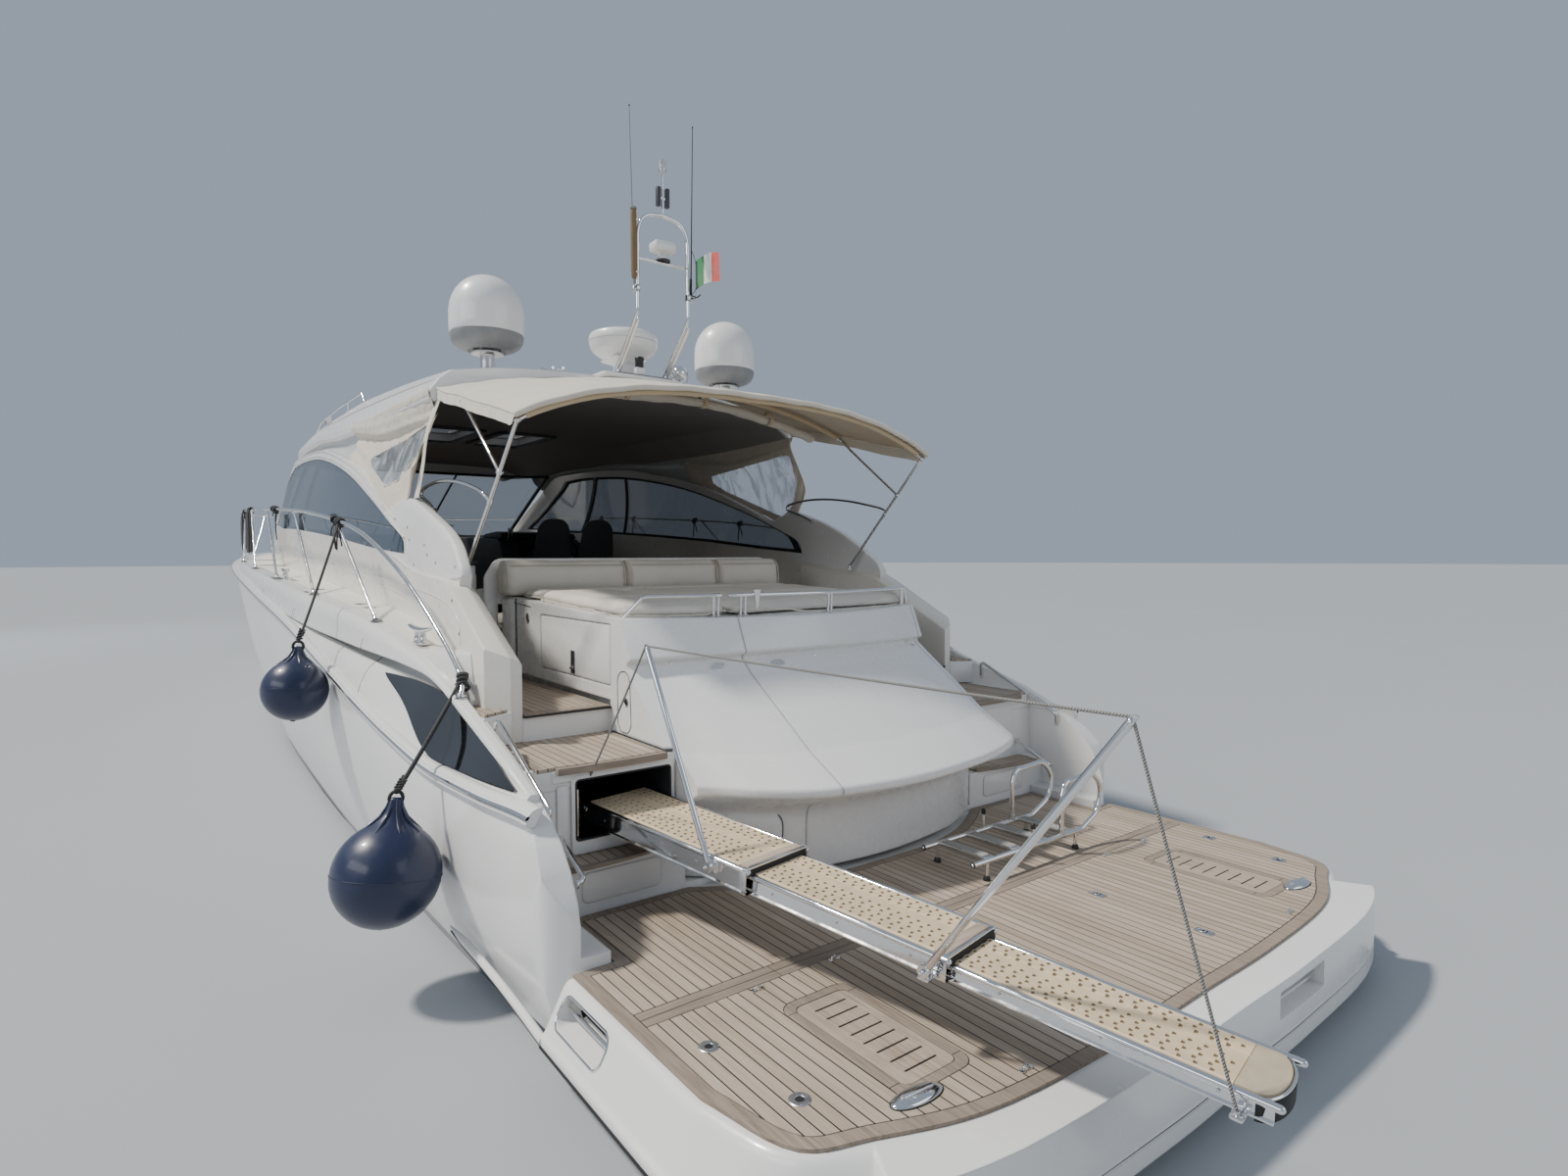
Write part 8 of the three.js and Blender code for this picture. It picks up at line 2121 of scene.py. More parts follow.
# ------------------------------------------------------------------ courtesy flag: hoist on the leg, a light breeze from ahead
fg = Part("flag_cloth", replaces=("courtesy_flag",), slot="flag_cloth", sharp=80)
rows = []
for i, u in enumerate(np.linspace(0, 1, 46)):
    x = -5.470 - 0.366 * u
    rows.append([(x + 0.012 * t * u, -0.2972 + 0.0026 * sin(2 * pi * u * 1.35 + 1.2 * t), lerp(4.545, 4.785, t) + 0.026 * sin(pi * u) - 0.022 * u ** 1.6) for t in np.linspace(0, 1, 26)])
fg.add(shell(np.array(rows), 0.0011), FLAG)
flag_obj = fg.done()
hal = Part("flag_halyard", slot="canvas", sharp=60)
hal.add(tube([(-5.440, -0.262, 4.50), (-5.462, -0.290, 4.535), (-5.468, -0.2975, 4.56), (-5.467, -0.2975, 4.78), (-5.45, -0.285, 4.84), (-5.432, -0.27, 4.90)], 0.0028, 6), LINE_BLACK)
for z in (4.556, 4.775):
    hal.add(ball((-5.468, -0.2975, z), 0.0065, 10, 6), LINE_BLACK)
hal.add(tube([(-5.445, -0.262, 4.50), (-5.50, -0.29, 4.475), (-5.53, -0.30, 4.49)], 0.006, 8, dome=True), LINE_BLACK)
hal.done()

# ------------------------------------------------------------------ guard rails
RAIL_TOP = [(-6.660, 1.545), (-6.466, 1.700), (-5.997, 1.988), (-5.640, 2.168), (-5.279, 2.310), (-4.853, 2.440), (-4.322, 2.542), (-2.969, 2.684), (-1.500, 2.772), (0.050, 2.846), (2.200, 2.920), (3.900, 2.965), (6.000, 3.020), (8.200, 3.070), (9.300, 3.100), (9.950, 3.120)]
STANCH = [-5.250, -3.450, -1.500, 0.500, 2.500, 4.400, 6.100, 7.500, 8.600]
rail_pts = crom([(x, max(0.06, DY(x) - 0.075 - (z - DZ(x)) * 0.04), z) for x, z in RAIL_TOP], 8)


def rail_at(x):
    return arr(x, np.interp(x, rail_pts[:, 0], rail_pts[:, 1]), np.interp(x, rail_pts[:, 0], rail_pts[:, 2]))


def tie(part, p, f, n=5, tails=((0.05, 0.0, -0.16), (-0.03, 0.02, -0.11)), r=0.0075, R=0.024, d=(1, 0, 0)):
    """Turns of line round the rail with a knot and hanging tails."""
    p = np.asarray(p, float)
    d = unit(d)
    u = unit(np.cross(d, (0, 0, 1)))
    v = np.cross(u, d)
    turns = [p + d * (((k / (n * 12)) - 0.5) * n * r * 1.8 + 0.006 * sin(k * 0.37)) + (u * cos(k * pi / 6) + v * sin(k * pi / 6)) * (R + 0.006 * sin(k * 0.61 + n)) for k in range(n * 12 + 1)]
    part.add(f(tube(turns, r, 8, dome=True)), LINE_BLACK)
    kn = p + u * 0.010 - v * (R + 0.004)
    for a in range(3):
        c = [kn + 0.016 * cos(t + a) * unit(u + d * (a - 1)) + 0.020 * sin(t) * unit(v + d * 0.4 * a) for t in np.linspace(0, 2 * pi, 14)[:-1]]
        part.add(f(tube(c, r * 0.95, 8, closed=True)), LINE_BLACK)
    for t in tails:
        e = kn + arr(*t)
        m = lerp(kn, e, 0.5) + arr(0.012, 0.008, 0.01)
        part.add(f(tube(crom([kn, m, e], 5), r * 0.85, 8, dome=True)), LINE_BLACK)


for tag, f, s in (("port", lambda q: q, 1), ("starboard", mirrored, -1)):
    g = Part("guard_rail_tubes_" + tag, replaces=("guard_rail_" + tag,), slot="stainless", sharp=40)
    g.add(f(tube(rail_pts[:-4], 0.0155, 14, dome=True)), STEEL)
    for x in STANCH:
        foot = arr(x, max(0.09, DY(x) - 0.055), DZ(x) + 0.004)
        head = rail_at(x + (0.70 if x > 5 else 1.0 if x > 0 else 1.18))
        d_ = unit(head - foot)
        g.add(f(tube([foot, head - d_ * 0.012], 0.0125, 12)), STEEL)
        g.add(f(lathe([(0, -0.010), (0.0165, -0.010), (0.0165, 0.020), (0.0145, 0.024), (0, 0.024)], 16, tuple(head - d_ * 0.036), tuple(d_))), STEEL)
        g.add(f(lathe([(0, 0), (0.042, 0), (0.042, 0.004), (0.030, 0.010), (0.019, 0.014), (0.017, 0.060), (0.0135, 0.064), (0, 0.064)], 24, tuple(foot - arr(0, 0, 0.003)), tuple(lerp(arr(0, 0, 1), d_, 0.7)))), STEEL)
        for a in range(3):
            an = a * 2 * pi / 3 + 0.5
            g.add(f(disc((foot[0] + 0.030 * cos(an), foot[1] + 0.030 * sin(an), foot[2] + 0.004), (0, 0, 1), 0.0045, 0.003, 0.001, 10)), STEEL_DULL)
    # pulpit: the rail turns down to the stem and is joined across
    bow = fillet([tuple(rail_pts[-5]), (9.950, 0.075, 3.118), (9.866, 0.072, DZ(9.866) + 0.004)], [0, 0.10, 0], 8, closed=False)
    g.add(f(tube(bow, 0.0145, 12)), STEEL)
    g.add(f(lathe([(0, 0), (0.034, 0), (0.034, 0.004), (0.018, 0.010), (0.016, 0.03), (0, 0.03)], 20, (9.866, 0.072, DZ(9.866) - 0.002))), STEEL)
    if s > 0:
        g.add(tube([(9.932, 0.075, 2.96), (9.938, 0.0, 2.965), (9.932, -0.075, 2.96)], 0.0125, 12), STEEL)
    # after end turned down to the bulwark
    aft = fillet([tuple(rail_pts[3]), tuple(rail_pts[0]), (-6.742, 2.094, 1.474)], [0, 0.03, 0], 8, closed=False)
    g.add(f(tube(aft, 0.0155, 14, dome=True)), STEEL)
    g.add(f(lathe([(0, 0), (0.036, 0), (0.036, 0.005), (0.020, 0.010), (0.018, 0.026), (0, 0.026)], 20, (-6.744, 2.094, 1.466), (0.30, 0.10, 1))), STEEL)
    # grab tubes inside the after wings, each on two feet
    for a, b, da, db in (((-7.143, 2.020, 1.396), (-7.879, 2.020, 1.065), (0.010, 0.022, -0.120), (0.012, 0.022, -0.075)), ((-7.606, 1.868, 0.846), (-7.916, 1.868, 0.703), (0.004, 0.040, -0.012), (0.002, 0.040, -0.012))):
        a, b = arr(*a), arr(*b)
        pts = [a + arr(*da), a, b, b + arr(*db)]
        g.add(f(tube(fillet(pts, 0.030, 6, closed=False), 0.0135, 12)), STEEL)
        for q, w in ((pts[0], 0.006), (pts[-1], 0.006)):
            g.add(f(disc(tuple(q - arr(0, w, 0)), (0, 1, 0), 0.024, 0.010, 0.003, 20)), STEEL)
    g.done()
    # horn cleats along the side deck
    c = Part("deck_cleats_" + tag, slot="stainless", sharp=40)
    for x in (-5.87, -1.55, 3.30, 7.9):
        y, z = DY(x) - 0.125, DZ(x) + 0.002
        hd = unit(rail_at(x + 0.2) - rail_at(x - 0.2))
        horn = [(-0.150, 0, 0.088), (-0.120, 0, 0.082), (-0.060, 0, 0.074), (0.0, 0, 0.072), (0.060, 0, 0.074), (0.120, 0, 0.082), (0.150, 0, 0.088)]
        for shp in (tube(horn, [0.0105, 0.0135, 0.0165, 0.018, 0.0165, 0.0135, 0.0105], 12, dome=True, flat=(1.25, 0.85)),
                    loft([[(a_, b_, zz) for a_, b_ in rrect(-u_ + o_, u_ + o_, -w_, w_, 0.012, 3)] for zz, u_, w_, o_ in ((0, 0.030, 0.024, 0.046), (0.012, 0.020, 0.017, 0.044), (0.050, 0.016, 0.013, 0.040), (0.068, 0.020, 0.015, 0.038))]),
                    loft([[(a_, b_, zz) for a_, b_ in rrect(-u_ + o_, u_ + o_, -w_, w_, 0.012, 3)] for zz, u_, w_, o_ in ((0, 0.030, 0.024, -0.046), (0.012, 0.020, 0.017, -0.044), (0.050, 0.016, 0.013, -0.040), (0.068, 0.020, 0.015, -0.038))]),
                    slab(rrect(-0.085, 0.085, -0.032, 0.032, 0.03, 5), -0.004, 0.006, "z", 0.003)):
            c.add(f(place((np.asarray(shp[0]) * 1.22, shp[1]), (x, y, z), hd, (0, 0, 1))), STEEL)
    # joints of the bulwark moulding
    for x, lo, hi in ((-5.26, 0, 1), (-5.44, -1, 0), (-3.2, 0, 1), (-3.12, 0, 1), (-1.25, 0, 1), (-1.15, 0, 1)):
        pr, _ = side_profile(x)
        pr = [(y, z) for y, z in pr if (z >= STYLE(x) + 0.003 if lo == 0 else z <= STYLE(x) - 0.03)]
        if lo == 0:
            pr += [(DY(x) - 0.028, DZ(x) + 0.0035), (DY(x) - 0.055, DZ(x) + 0.006)]
        c.add(f(tube([(x - 0.06 * (0.5 - k / (len(pr) - 1)) ** 2, y - 0.0012, z) for k, (y, z) in enumerate(pr)], 0.0026, 6, dome=True)), DARK_GREY)
    # small filler caps on the side deck
    for x, y in ((-4.55, DY(-4.55) - 0.21), (-4.30, DY(-4.30) - 0.21), (-2.9, DY(-2.9) - 0.20)):
        c.add(f(lathe([(0, 0), (0.044, 0), (0.044, 0.003), (0.040, 0.0055), (0.034, 0.0055), (0.033, 0.0035), (0, 0.0035)], 32, (x, y, DZ(x) + 0.001))), STEEL_DULL)
    c.done()

lines = Part("rail_ties", sharp=60)
ident = lambda q: q
for x, n, tails in ((-4.16, 8, ((0.06, 0.02, -0.20), (-0.09, 0.01, -0.17))), (-4.00, 4, ((0.10, 0.02, -0.10),)), (-1.10, 8, ((0.05, 0.0, -0.30), (-0.10, 0.02, -0.16))), (-0.95, 4, ((-0.12, 0.03, -0.05),))):
    p = rail_at(x)
    tie(lines, p, ident, n, tails, d=rail_at(x + 0.05) - rail_at(x - 0.05))
# two coils of line hung forward, and the end seized at the after foot of the rail
for x, n in ((1.55, 6), (1.75, 6), (3.4, 7), (3.7, 6)):
    p = rail_at(x)
    tie(lines, p, ident, 6, ((0.02, 0.01, -0.4),), d=rail_at(x + 0.05) - rail_at(x - 0.05))
    for k in range(n):
        c = [p + arr(0.02 * k - 0.05 + 0.055 * sin(t), 0.022 * cos(k * 2.1) + 0.02, -0.30 + (0.275 - 0.012 * k) * cos(t)) for t in np.linspace(0, 2 * pi, 28)[:-1]]
        lines.add(tube(c, 0.0095, 8, closed=True), LINE_BLACK)
tie(lines, rail_at(-6.645) + arr(-0.01, 0, -0.01), ident, 5, ((-0.10, 0.05, -0.26), (0.02, 0.05, -0.19), (-0.16, 0.06, -0.10)), r=0.0105, R=0.026, d=(-0.7, 0.0, -1))
for x in (-3.2, -2.1, -0.35, 0.74):
    p = rail_at(x)
    tie(lines, p, mirrored, 5, ((0.03, 0.0, -0.18), (-0.05, 0.01, -0.12)), d=rail_at(x + 0.05) - rail_at(x - 0.05))
lines.done()

# ------------------------------------------------------------------ fenders
for name, c, r, hang in (("fender_forward", (-4.810, 2.680, 1.325), 0.218, (-4.190, 2.268, 2.535)), ("fender_aft", (-7.045, 2.572, 0.633), 0.270, (-6.660, 2.075, 1.535))):
    fp = Part(name + "_ball", replaces=(name,), slot="fender_pvc", sharp=50)
    prof = []
    for k in range(25):
        t = pi * k / 24
        prof.append((r * sin(t), -r * cos(t)))
    prof = [p for p in prof if p[1] < r * 0.82]
    prof += [(r * 0.505, r * 0.870), (r * 0.420, r * 0.925), (r * 0.330, r * 0.990), (r * 0.250, r * 1.075), (r * 0.185, r * 1.180), (r * 0.145, r * 1.290), (r * 0.128, r * 1.380), (r * 0.118, r * 1.425), (r * 0.080, r * 1.445), (0.0, r * 1.448)]
    tilt = unit(arr(*hang) - arr(*c))
    ax = unit(lerp(arr(0, 0, 1), tilt, 0.35))
    # ribs of the neck
    fp.add(lathe(prof, 48, c, tuple(ax)), NAVY)
    for k in range(8):
        a = k * pi / 4
        u = unit(np.cross(ax, (1, 0, 0)))
        v = np.cross(ax, u)
        d_ = u * cos(a) + v * sin(a)
        c_ = np.array(c)
        fp.add(tube([c_ + ax * (r * 0.83) + d_ * r * 0.555, c_ + ax * (r * 0.93) + d_ * r * 0.415, c_ + ax * (r * 1.08) + d_ * r * 0.250, c_ + ax * (r * 1.26) + d_ * r * 0.152, c_ + ax * (r * 1.40) + d_ * r * 0.120], [0.004, 0.009, 0.009, 0.008, 0.005], 8, dome=True), NAVY)
    # moulding seam round the middle and the filler plug
    ring = [np.array(c) + (u * cos(t) + v * sin(t)) * (r + 0.0005) for t in np.linspace(0, 2 * pi, 72)[:-1]]
    fp.add(tube(ring, 0.0022, 6, closed=True), NAVY)
    fp.add(lathe([(0, 0), (0.018, 0), (0.018, 0.004), (0.010, 0.007), (0, 0.007)], 20, tuple(np.array(c) - ax * (r - 0.001)), tuple(-ax)), BLACK)
    eye = np.array(c) + ax * (r * 1.375)
    # rope eye through the neck, then the lanyard up to the rail
    fp.add(tube([eye + u * 0.034 * cos(t) + ax * (0.014 + 0.036 * sin(t)) for t in np.linspace(0, 2 * pi, 22)[:-1]], 0.010, 8, closed=True), LINE_BLACK)
    st = eye + ax * 0.046
    fp.add(tube([st, st + arr(0.03, -0.02, 0.035), st + arr(0.075, -0.05, 0.062)], 0.008, 8, dome=True), LINE_BLACK)
    H = arr(*hang)
    span = [lerp(st, H, t) + arr(0, 0, -0.012 * sin(pi * t)) for t in np.linspace(0, 1, 14)]
    fp.add(tube(span, 0.0095 if r < 0.25 else 0.0125, 10, dome=True), LINE_BLACK)
    for k in range(4):
        q = lerp(st, H, 0.02 + 0.022 * k)
        fp.add(tube([q + u * 0.016 * cos(t) + v * 0.016 * sin(t) + ax * 0.012 * t / 6 for t in np.linspace(0, 6.6, 14)], 0.0075, 8, dome=True), LINE_BLACK)
    fp.add(tube([H + arr(0.0, 0.016, -0.02), H + arr(0.012, 0.03, -0.10), H + arr(-0.01, 0.025, -0.19)], 0.008, 8, dome=True), LINE_BLACK)
    fp.done()

# ------------------------------------------------------------------ bow: roller, anchor, windlass, foredeck hatch
an = Part("anchor_and_roller", replaces=("anchor",), slot="galvanised", sharp=36)
for s in (1, -1):
    an.add(slab(fillet([(9.70, 2.44), (9.95, 2.44), (10.13, 2.33), (10.165, 2.25), (10.12, 2.235), (9.95, 2.27), (9.72, 2.30)], 0.03, 4), *sorted((s * 0.040, s * 0.048)), "y", 0.002, 1), STEEL)
an.add(lathe([(0, -0.039), (0.036, -0.039), (0.036, -0.028), (0.020, -0.010), (0.020, 0.010), (0.036, 0.028), (0.036, 0.039), (0, 0.039)], 24, (10.115, 0, 2.275), (0, 1, 0)), RUBBER)
an.add(tube([(9.72, 0, 2.395), (9.95, 0, 2.345), (10.09, 0, 2.300), (10.148, 0, 2.235)], [0.016, 0.018, 0.020, 0.017], 12, dome=True, flat=(0.8, 1.25)), GALV)
for s in (1, -1):
    fl = [[(10.075, s * 0.0, 2.075), (10.075, s * 0.020, 2.090), (10.175, s * 0.020, 2.275), (10.180, 0.0, 2.285)], [(10.080, s * 0.010, 2.070), (10.070, s * 0.090, 2.130), (10.140, s * 0.110, 2.255), (10.168, s * 0.02, 2.280)], [(10.095, s * 0.030, 2.095), (10.080, s * 0.143, 2.195), (10.110, s * 0.147, 2.250), (10.150, s * 0.04, 2.280)]]
    an.add(loft(fl), GALV)
an.add(slab(fillet([(10.060, 2.085), (10.175, 2.070), (10.186, 2.275), (10.120, 2.298)], 0.02, 3), -0.016, 0.016, "y", 0.006, 2), GALV)
for k in range(9):  # chain over the roller back to the gipsy
    x = 9.70 - k * 0.055
    an.add(tube([(x + 0.030 * cos(t), (0.013 if k % 2 else 0.0) * sin(t), DZ(9.4) + 0.055 + (0.0 if k % 2 else 0.013) * sin(t) + 0.012 * (8 - k) / 8) for t in np.linspace(0, 2 * pi, 14)[:-1]], 0.0055, 6, closed=True), GALV)
zw = DZ(9.1) + 0.0
an.add(lathe([(0, zw - 0.02), (0.125, zw - 0.02), (0.125, zw + 0.006), (0.110, zw + 0.014), (0.088, zw + 0.030), (0.085, zw + 0.050), (0.062, zw + 0.062), (0.062, zw + 0.078), (0.084, zw + 0.088), (0.086, zw + 0.112), (0.074, zw + 0.126), (0.030, zw + 0.134), (0, zw + 0.135)], 40, (9.12, 0, 0)), STEEL)
for k in range(8):
    a = k * pi / 4
    an.add(disc((9.12 + 0.055 * cos(a), 0.055 * sin(a), zw + 0.128), (0, 0, 1), 0.006, 0.006, 0.002, 10), STEEL_DULL)
for s in (1, -1):
    an.add(lathe([(0, 0), (0.030, 0), (0.030, 0.006), (0.022, 0.012), (0.020, 0.018), (0, 0.018)], 20, (8.86, s * 0.14, DZ(8.86) + 0.0)), BLACK)
an.done()

fh = Part("foredeck_hatch_lid", body="foredeck_hatch", replaces=("foredeck_hatch",), slot="tinted_glass", sharp=36)


def crown5(x):
    return lerp(2.584, 2.456, (x - 5.0) / 1.8)


def on_crown(shape):
    V, F = shape
    V = np.array(V, float)
    V[:, 2] += [crown5(x) for x in V[:, 0]]
    return V, F


fr0, fr1 = rrect(5.362, 5.978, -0.308, 0.308, 0.075, 6), rrect(5.402, 5.938, -0.268, 0.268, 0.05, 6)
fh.add(on_crown(boolean(slab(fr0, -0.028, 0.013, "z", 0.006, 2), [slab(fr1, -0.2, 0.2, "z", 0)])), WHITE)
fh.add(on_crown(slab(rrect(5.404, 5.936, -0.266, 0.266, 0.05, 6), -0.016, 0.009, "z", 0.003, 2)), GLASS)
for s in (1, -1):
    fh.add(on_crown(rbox(5.940, 5.976, s * 0.19 - 0.03, s * 0.19 + 0.03, 0.008, 0.0135, 0.002)), STEEL_DULL)
    fh.add(on_crown(disc((5.430, s * 0.18, 0.008), (0, 0, 1), 0.018, 0.0055, 0.002, 20)), BLACK)
fh.done()

# ------------------------------------------------------------------ padded goods: cloth under pressure, then seams
PADS = {}


def pad_spec(name, shape, voxel=0.030, cap=0.014, pin=None, pressure=4.0):
    """Queue a closed form: voxel remesh, the resting face held."""
    src = tmp_obj(name + "_src", shape)
    m = src.modifiers.new("r", "REMESH")
    m.mode, m.voxel_size, m.adaptivity = "VOXEL", voxel, 0.0
    dg = bpy.context.evaluated_depsgraph_get()
    me = bpy.data.meshes.new_from_object(src.evaluated_get(dg))
    d = src.data
    bpy.data.objects.remove(src)
    bpy.data.meshes.remove(d)
    o = bpy.data.objects.new(name, me)
    scene.collection.objects.link(o)
    co = np.array([v.co for v in me.vertices])
    if pin is not None:
        g = o.vertex_groups.new(name="pin")
        ids = [int(i) for i in np.nonzero(pin(co))[0]]
        if ids:
            g.add(ids, 1.0, "REPLACE")
    c = o.modifiers.new("c", "CLOTH")
    s = c.settings
    s.quality, s.mass = 4, 0.20
    s.tension_stiffness = s.compression_stiffness = 14
    s.shear_stiffness, s.bending_stiffness = 6, 0.8
    s.use_pressure, s.uniform_pressure_force = True, pressure
    s.effector_weights.gravity = 0
    if pin is not None:
        s.vertex_group_mass = "pin"
    c.collision_settings.use_collision = False
    c.point_cache.frame_start, c.point_cache.frame_end = 1, 20
    PADS[name] = [o, co, cap, pin]


def run_pads():
    for f in range(1, 21):
        scene.frame_set(f)
    dg = bpy.context.evaluated_depsgraph_get()
    out = {}
    for name, (o, co, cap, pin) in PADS.items():
        me = o.data
        ev = o.evaluated_get(dg).data
        new = np.array([v.co for v in ev.vertices])
        d = new - co
        L = np.linalg.norm(d, axis=1, keepdims=True)
        co2 = co + d * (cap * np.tanh(L / cap) / np.maximum(L, 1e-9))
        o.modifiers.clear()
        me.vertices.foreach_set("co", co2.ravel())
        sm = o.modifiers.new("s", "SMOOTH")
        sm.factor, sm.iterations = 0.5, 3
        sb = o.modifiers.new("u", "SUBSURF")
        sb.levels = sb.render_levels = 1
        dg = bpy.context.evaluated_depsgraph_get()
        m2 = bpy.data.meshes.new_from_object(o.evaluated_get(dg))
        V = np.array([v.co for v in m2.vertices])
        F = [tuple(p.vertices) for p in m2.polygons]
        out[name] = (V, F)
        bpy.data.meshes.remove(m2)
        bpy.data.objects.remove(o)
        bpy.data.meshes.remove(me)
    scene.frame_set(1)
    return out


def pad_z(x):
    return 1.900 + ((x + 7.270) / 1.970) * 0.060


def flat_pad(x0, x1, y0, y1, h0, h1, r=0.05):
    V, F = rbox(x0, x1, y0, y1, h0, h1, 0.022, r, 3)
    V = np.array(V)
    V[:, 2] += pad_z(V[:, 0])
    return follow_edge(V), F


below = lambda f: (lambda co: co[:, 2] < f(co) + 0.020)
pad_spec("pad_lid", flat_pad(-7.222, -5.682, -1.160, 0.540, 0.006, 0.068), 0.027, 0.015, lambda co: co[:, 2] < pad_z(co[:, 0]) + 0.020)
pad_spec("pad_port", flat_pad(-7.222, -5.672, 0.582, 1.196, 0.006, 0.068), 0.024, 0.014, lambda co: co[:, 2] < pad_z(co[:, 0]) + 0.020)
pad_spec("pad_front", flat_pad(-5.628, -5.345, -1.196, 1.196, 0.006, 0.066), 0.022, 0.012, lambda co: co[:, 2] < pad_z(co[:, 0]) + 0.020)
BOLT = [(-5.272, 1.972), (-5.068, 1.972), (-5.066, 2.175), (-5.112, 2.245), (-5.225, 2.255), (-5.292, 2.195), (-5.302, 2.050)]
for k, (a, b) in enumerate(((-1.312, -0.640), (-0.622, 0.272), (0.290, 1.312))):
    pad_spec("bolster_%d" % k, slab(fillet(BOLT, 0.035, 3), a, b, "y", 0.045, 3), 0.021, 0.020, lambda co: co[:, 2] < 1.985)
SOFA = ((-1.315, -0.50), (-0.49, 0.36), (0.37, 1.225))
for k, (a, b) in enumerate(SOFA):
    pad_spec("sofa_seat_%d" % k, rbox(-4.985, -4.520, a + 0.012, b - 0.012, 1.672, 1.782, 0.03, 0.05, 3), 0.024, 0.022, lambda co: co[:, 2] < 1.690)
    V, F = rbox(-0.048, 0.048, a + 0.014, b - 0.014, 1.795, 2.225, 0.03, 0.06, 3, axis="x")
    V = np.array(V)
    V[:, 0] += -5.000 + (V[:, 2] - 1.80) * -0.02
    pad_spec("sofa_back_%d" % k, (V, F), 0.022, 0.020, lambda co: co[:, 0] < -5.035)
DIN = [("d0", -1.88, -1.03, 1.16, 1.70), ("d1", -1.01, 0.0, 1.16, 1.70), ("d2", 0.02, 0.885, 1.16, 1.70), ("d3", -1.885, -1.315, 0.315, 1.14), ("d4", 0.315, 0.885, 0.315, 1.14)]
for n_, x0, x1, y0, y1 in DIN:
    pad_spec("dinette_" + n_, rbox(x0 + 0.01, x1 - 0.01, y0 + 0.01, y1 - 0.01, 1.682, 1.786, 0.03, 0.05, 3), 0.030, 0.020, lambda co: co[:, 2] < 1.70)
for n_, x0, x1 in (("b0", -1.88, -1.03), ("b1", -1.01, 0.0), ("b2", 0.02, 0.885)):
    V, F = rbox(x0 + 0.012, x1 - 0.012, -0.05, 0.05, 1.80, 2.175, 0.03, 0.05, 3, axis="y")
    V = np.array(V)
    V[:, 1] += 1.655 + (V[:, 2] - 1.8) * 0.05
    pad_spec("dinette_" + n_, (V, F), 0.030, 0.020, lambda co: co[:, 1] > 1.69)


def back_slope(V):
    V = np.array(V)
    V[:, 0] += -1.232 - (V[:, 2] - 1.84) * 0.215
    return V


for tag, yc in (("port", -0.650), ("starboard", -1.250)):
    pad_spec("helm_seat_" + tag, rbox(-1.300, -0.800, yc - 0.228, yc + 0.228, 1.700, 1.800, 0.035, 0.07, 3), 0.020, 0.022, lambda co: co[:, 2] < 1.716)
    out_ = fillet([(yc - 0.222, 1.86), (yc + 0.222, 1.86), (yc + 0.232, 2.30), (yc + 0.185, 2.725), (yc - 0.185, 2.725), (yc - 0.232, 2.30)], [0.05, 0.05, 0.2, 0.16, 0.16, 0.2], 6)
    V, F = slab(out_, -0.045, 0.045, "x", 0.03, 3)
    pad_spec("helm_back_" + tag, (back_slope(V), F), 0.021, 0.022, lambda co: co[:, 0] < -1.232 - (co[:, 2] - 1.84) * 0.215 - 0.036)
    for sg in (-1, 1):
        yb = yc + sg * 0.222
        pad_spec("helm_arm_%s_%d" % (tag, sg), rbox(-1.24, -0.90, yb - 0.022, yb + 0.022, 1.985, 2.025, 0.018, 0.018, 3), 0.013, 0.008)
PAD = run_pads()


def groove(shape, lines, depth, width, axis=2, sign=-1):
    """Press sewn channels into a puffed form. lines: functions giving the distance of points from the channel."""
    V, F = shape
    V = np.array(V)
    for fn, mask in lines:
        k = np.exp(-(fn(V) / width) ** 2) * mask(V)
        V[:, axis] += sign * depth * k
    return V, F


def top_of(V, x, y, r=0.05):
    d = (V[:, 0] - x) ** 2 + (V[:, 1] - y) ** 2
    sel = V[d < r * r]
    if len(sel) == 0:
        sel = V[np.argsort(d)[:6]]
    top_ = sel[sel[:, 2] > sel[:, 2].max() - 0.035]
    w = 1 / (0.0001 + (top_[:, 0] - x) ** 2 + (top_[:, 1] - y) ** 2)
    return float((top_[:, 2] * w).sum() / w.sum())


def rim_piping(V, x0, x1, y0, y1, r, inset=0.012, drop=0.012, n=120):
    pts = resample(np.vstack([rrect(x0 + inset, x1 - inset, y0 + inset, y1 - inset, r, 8), rrect(x0 + inset, x1 - inset, y0 + inset, y1 - inset, r, 8)[:1]]), n)[:-1]
    return [(x, y, top_of(V, x, y, 0.03) - drop) for x, y in pts]


# sunpad: the part on the garage lid lifts with it
zone = lambda V: (V[:, 2] > pad_z(V[:, 0]) + 0.045).astype(float)
lidp = groove(PAD["pad_lid"], [(lambda V: V[:, 0] + 6.45, zone), (lambda V: V[:, 1] + 0.31, zone)], 0.010, 0.020)
sp = Part("sunpad_lid_cushion", body="garage_lid", replaces=("sunpad_cushion_lid",), slot="cushion_vinyl", sharp=70)
sp.add(lidp, SUNPAD)
sp.add(tube(follow_edge(rim_piping(lidp[0], -7.232, -5.672, -1.170, 0.550, 0.06, 0.004, 0.020)), 0.0055, 6, closed=True), PIPING)
for line in ([(x, -0.31) for x in np.linspace(-7.28, -5.70, 50)], [(-6.45, y) for y in np.linspace(-1.14, 0.52, 50)]):
    sp.add(tube([(x, y, top_of(lidp[0], x, y, 0.025) - 0.0015) for x, y in line], 0.0022, 6), SEAM_DARK)
o_ = sp.done()
sf = Part("sunpad_fixed_cushions", replaces=("sunpad_cushion_fixed",), slot="cushion_vinyl", sharp=70)
pp = groove(PAD["pad_port"], [(lambda V: V[:, 0] + 6.45, zone)], 0.010, 0.020)
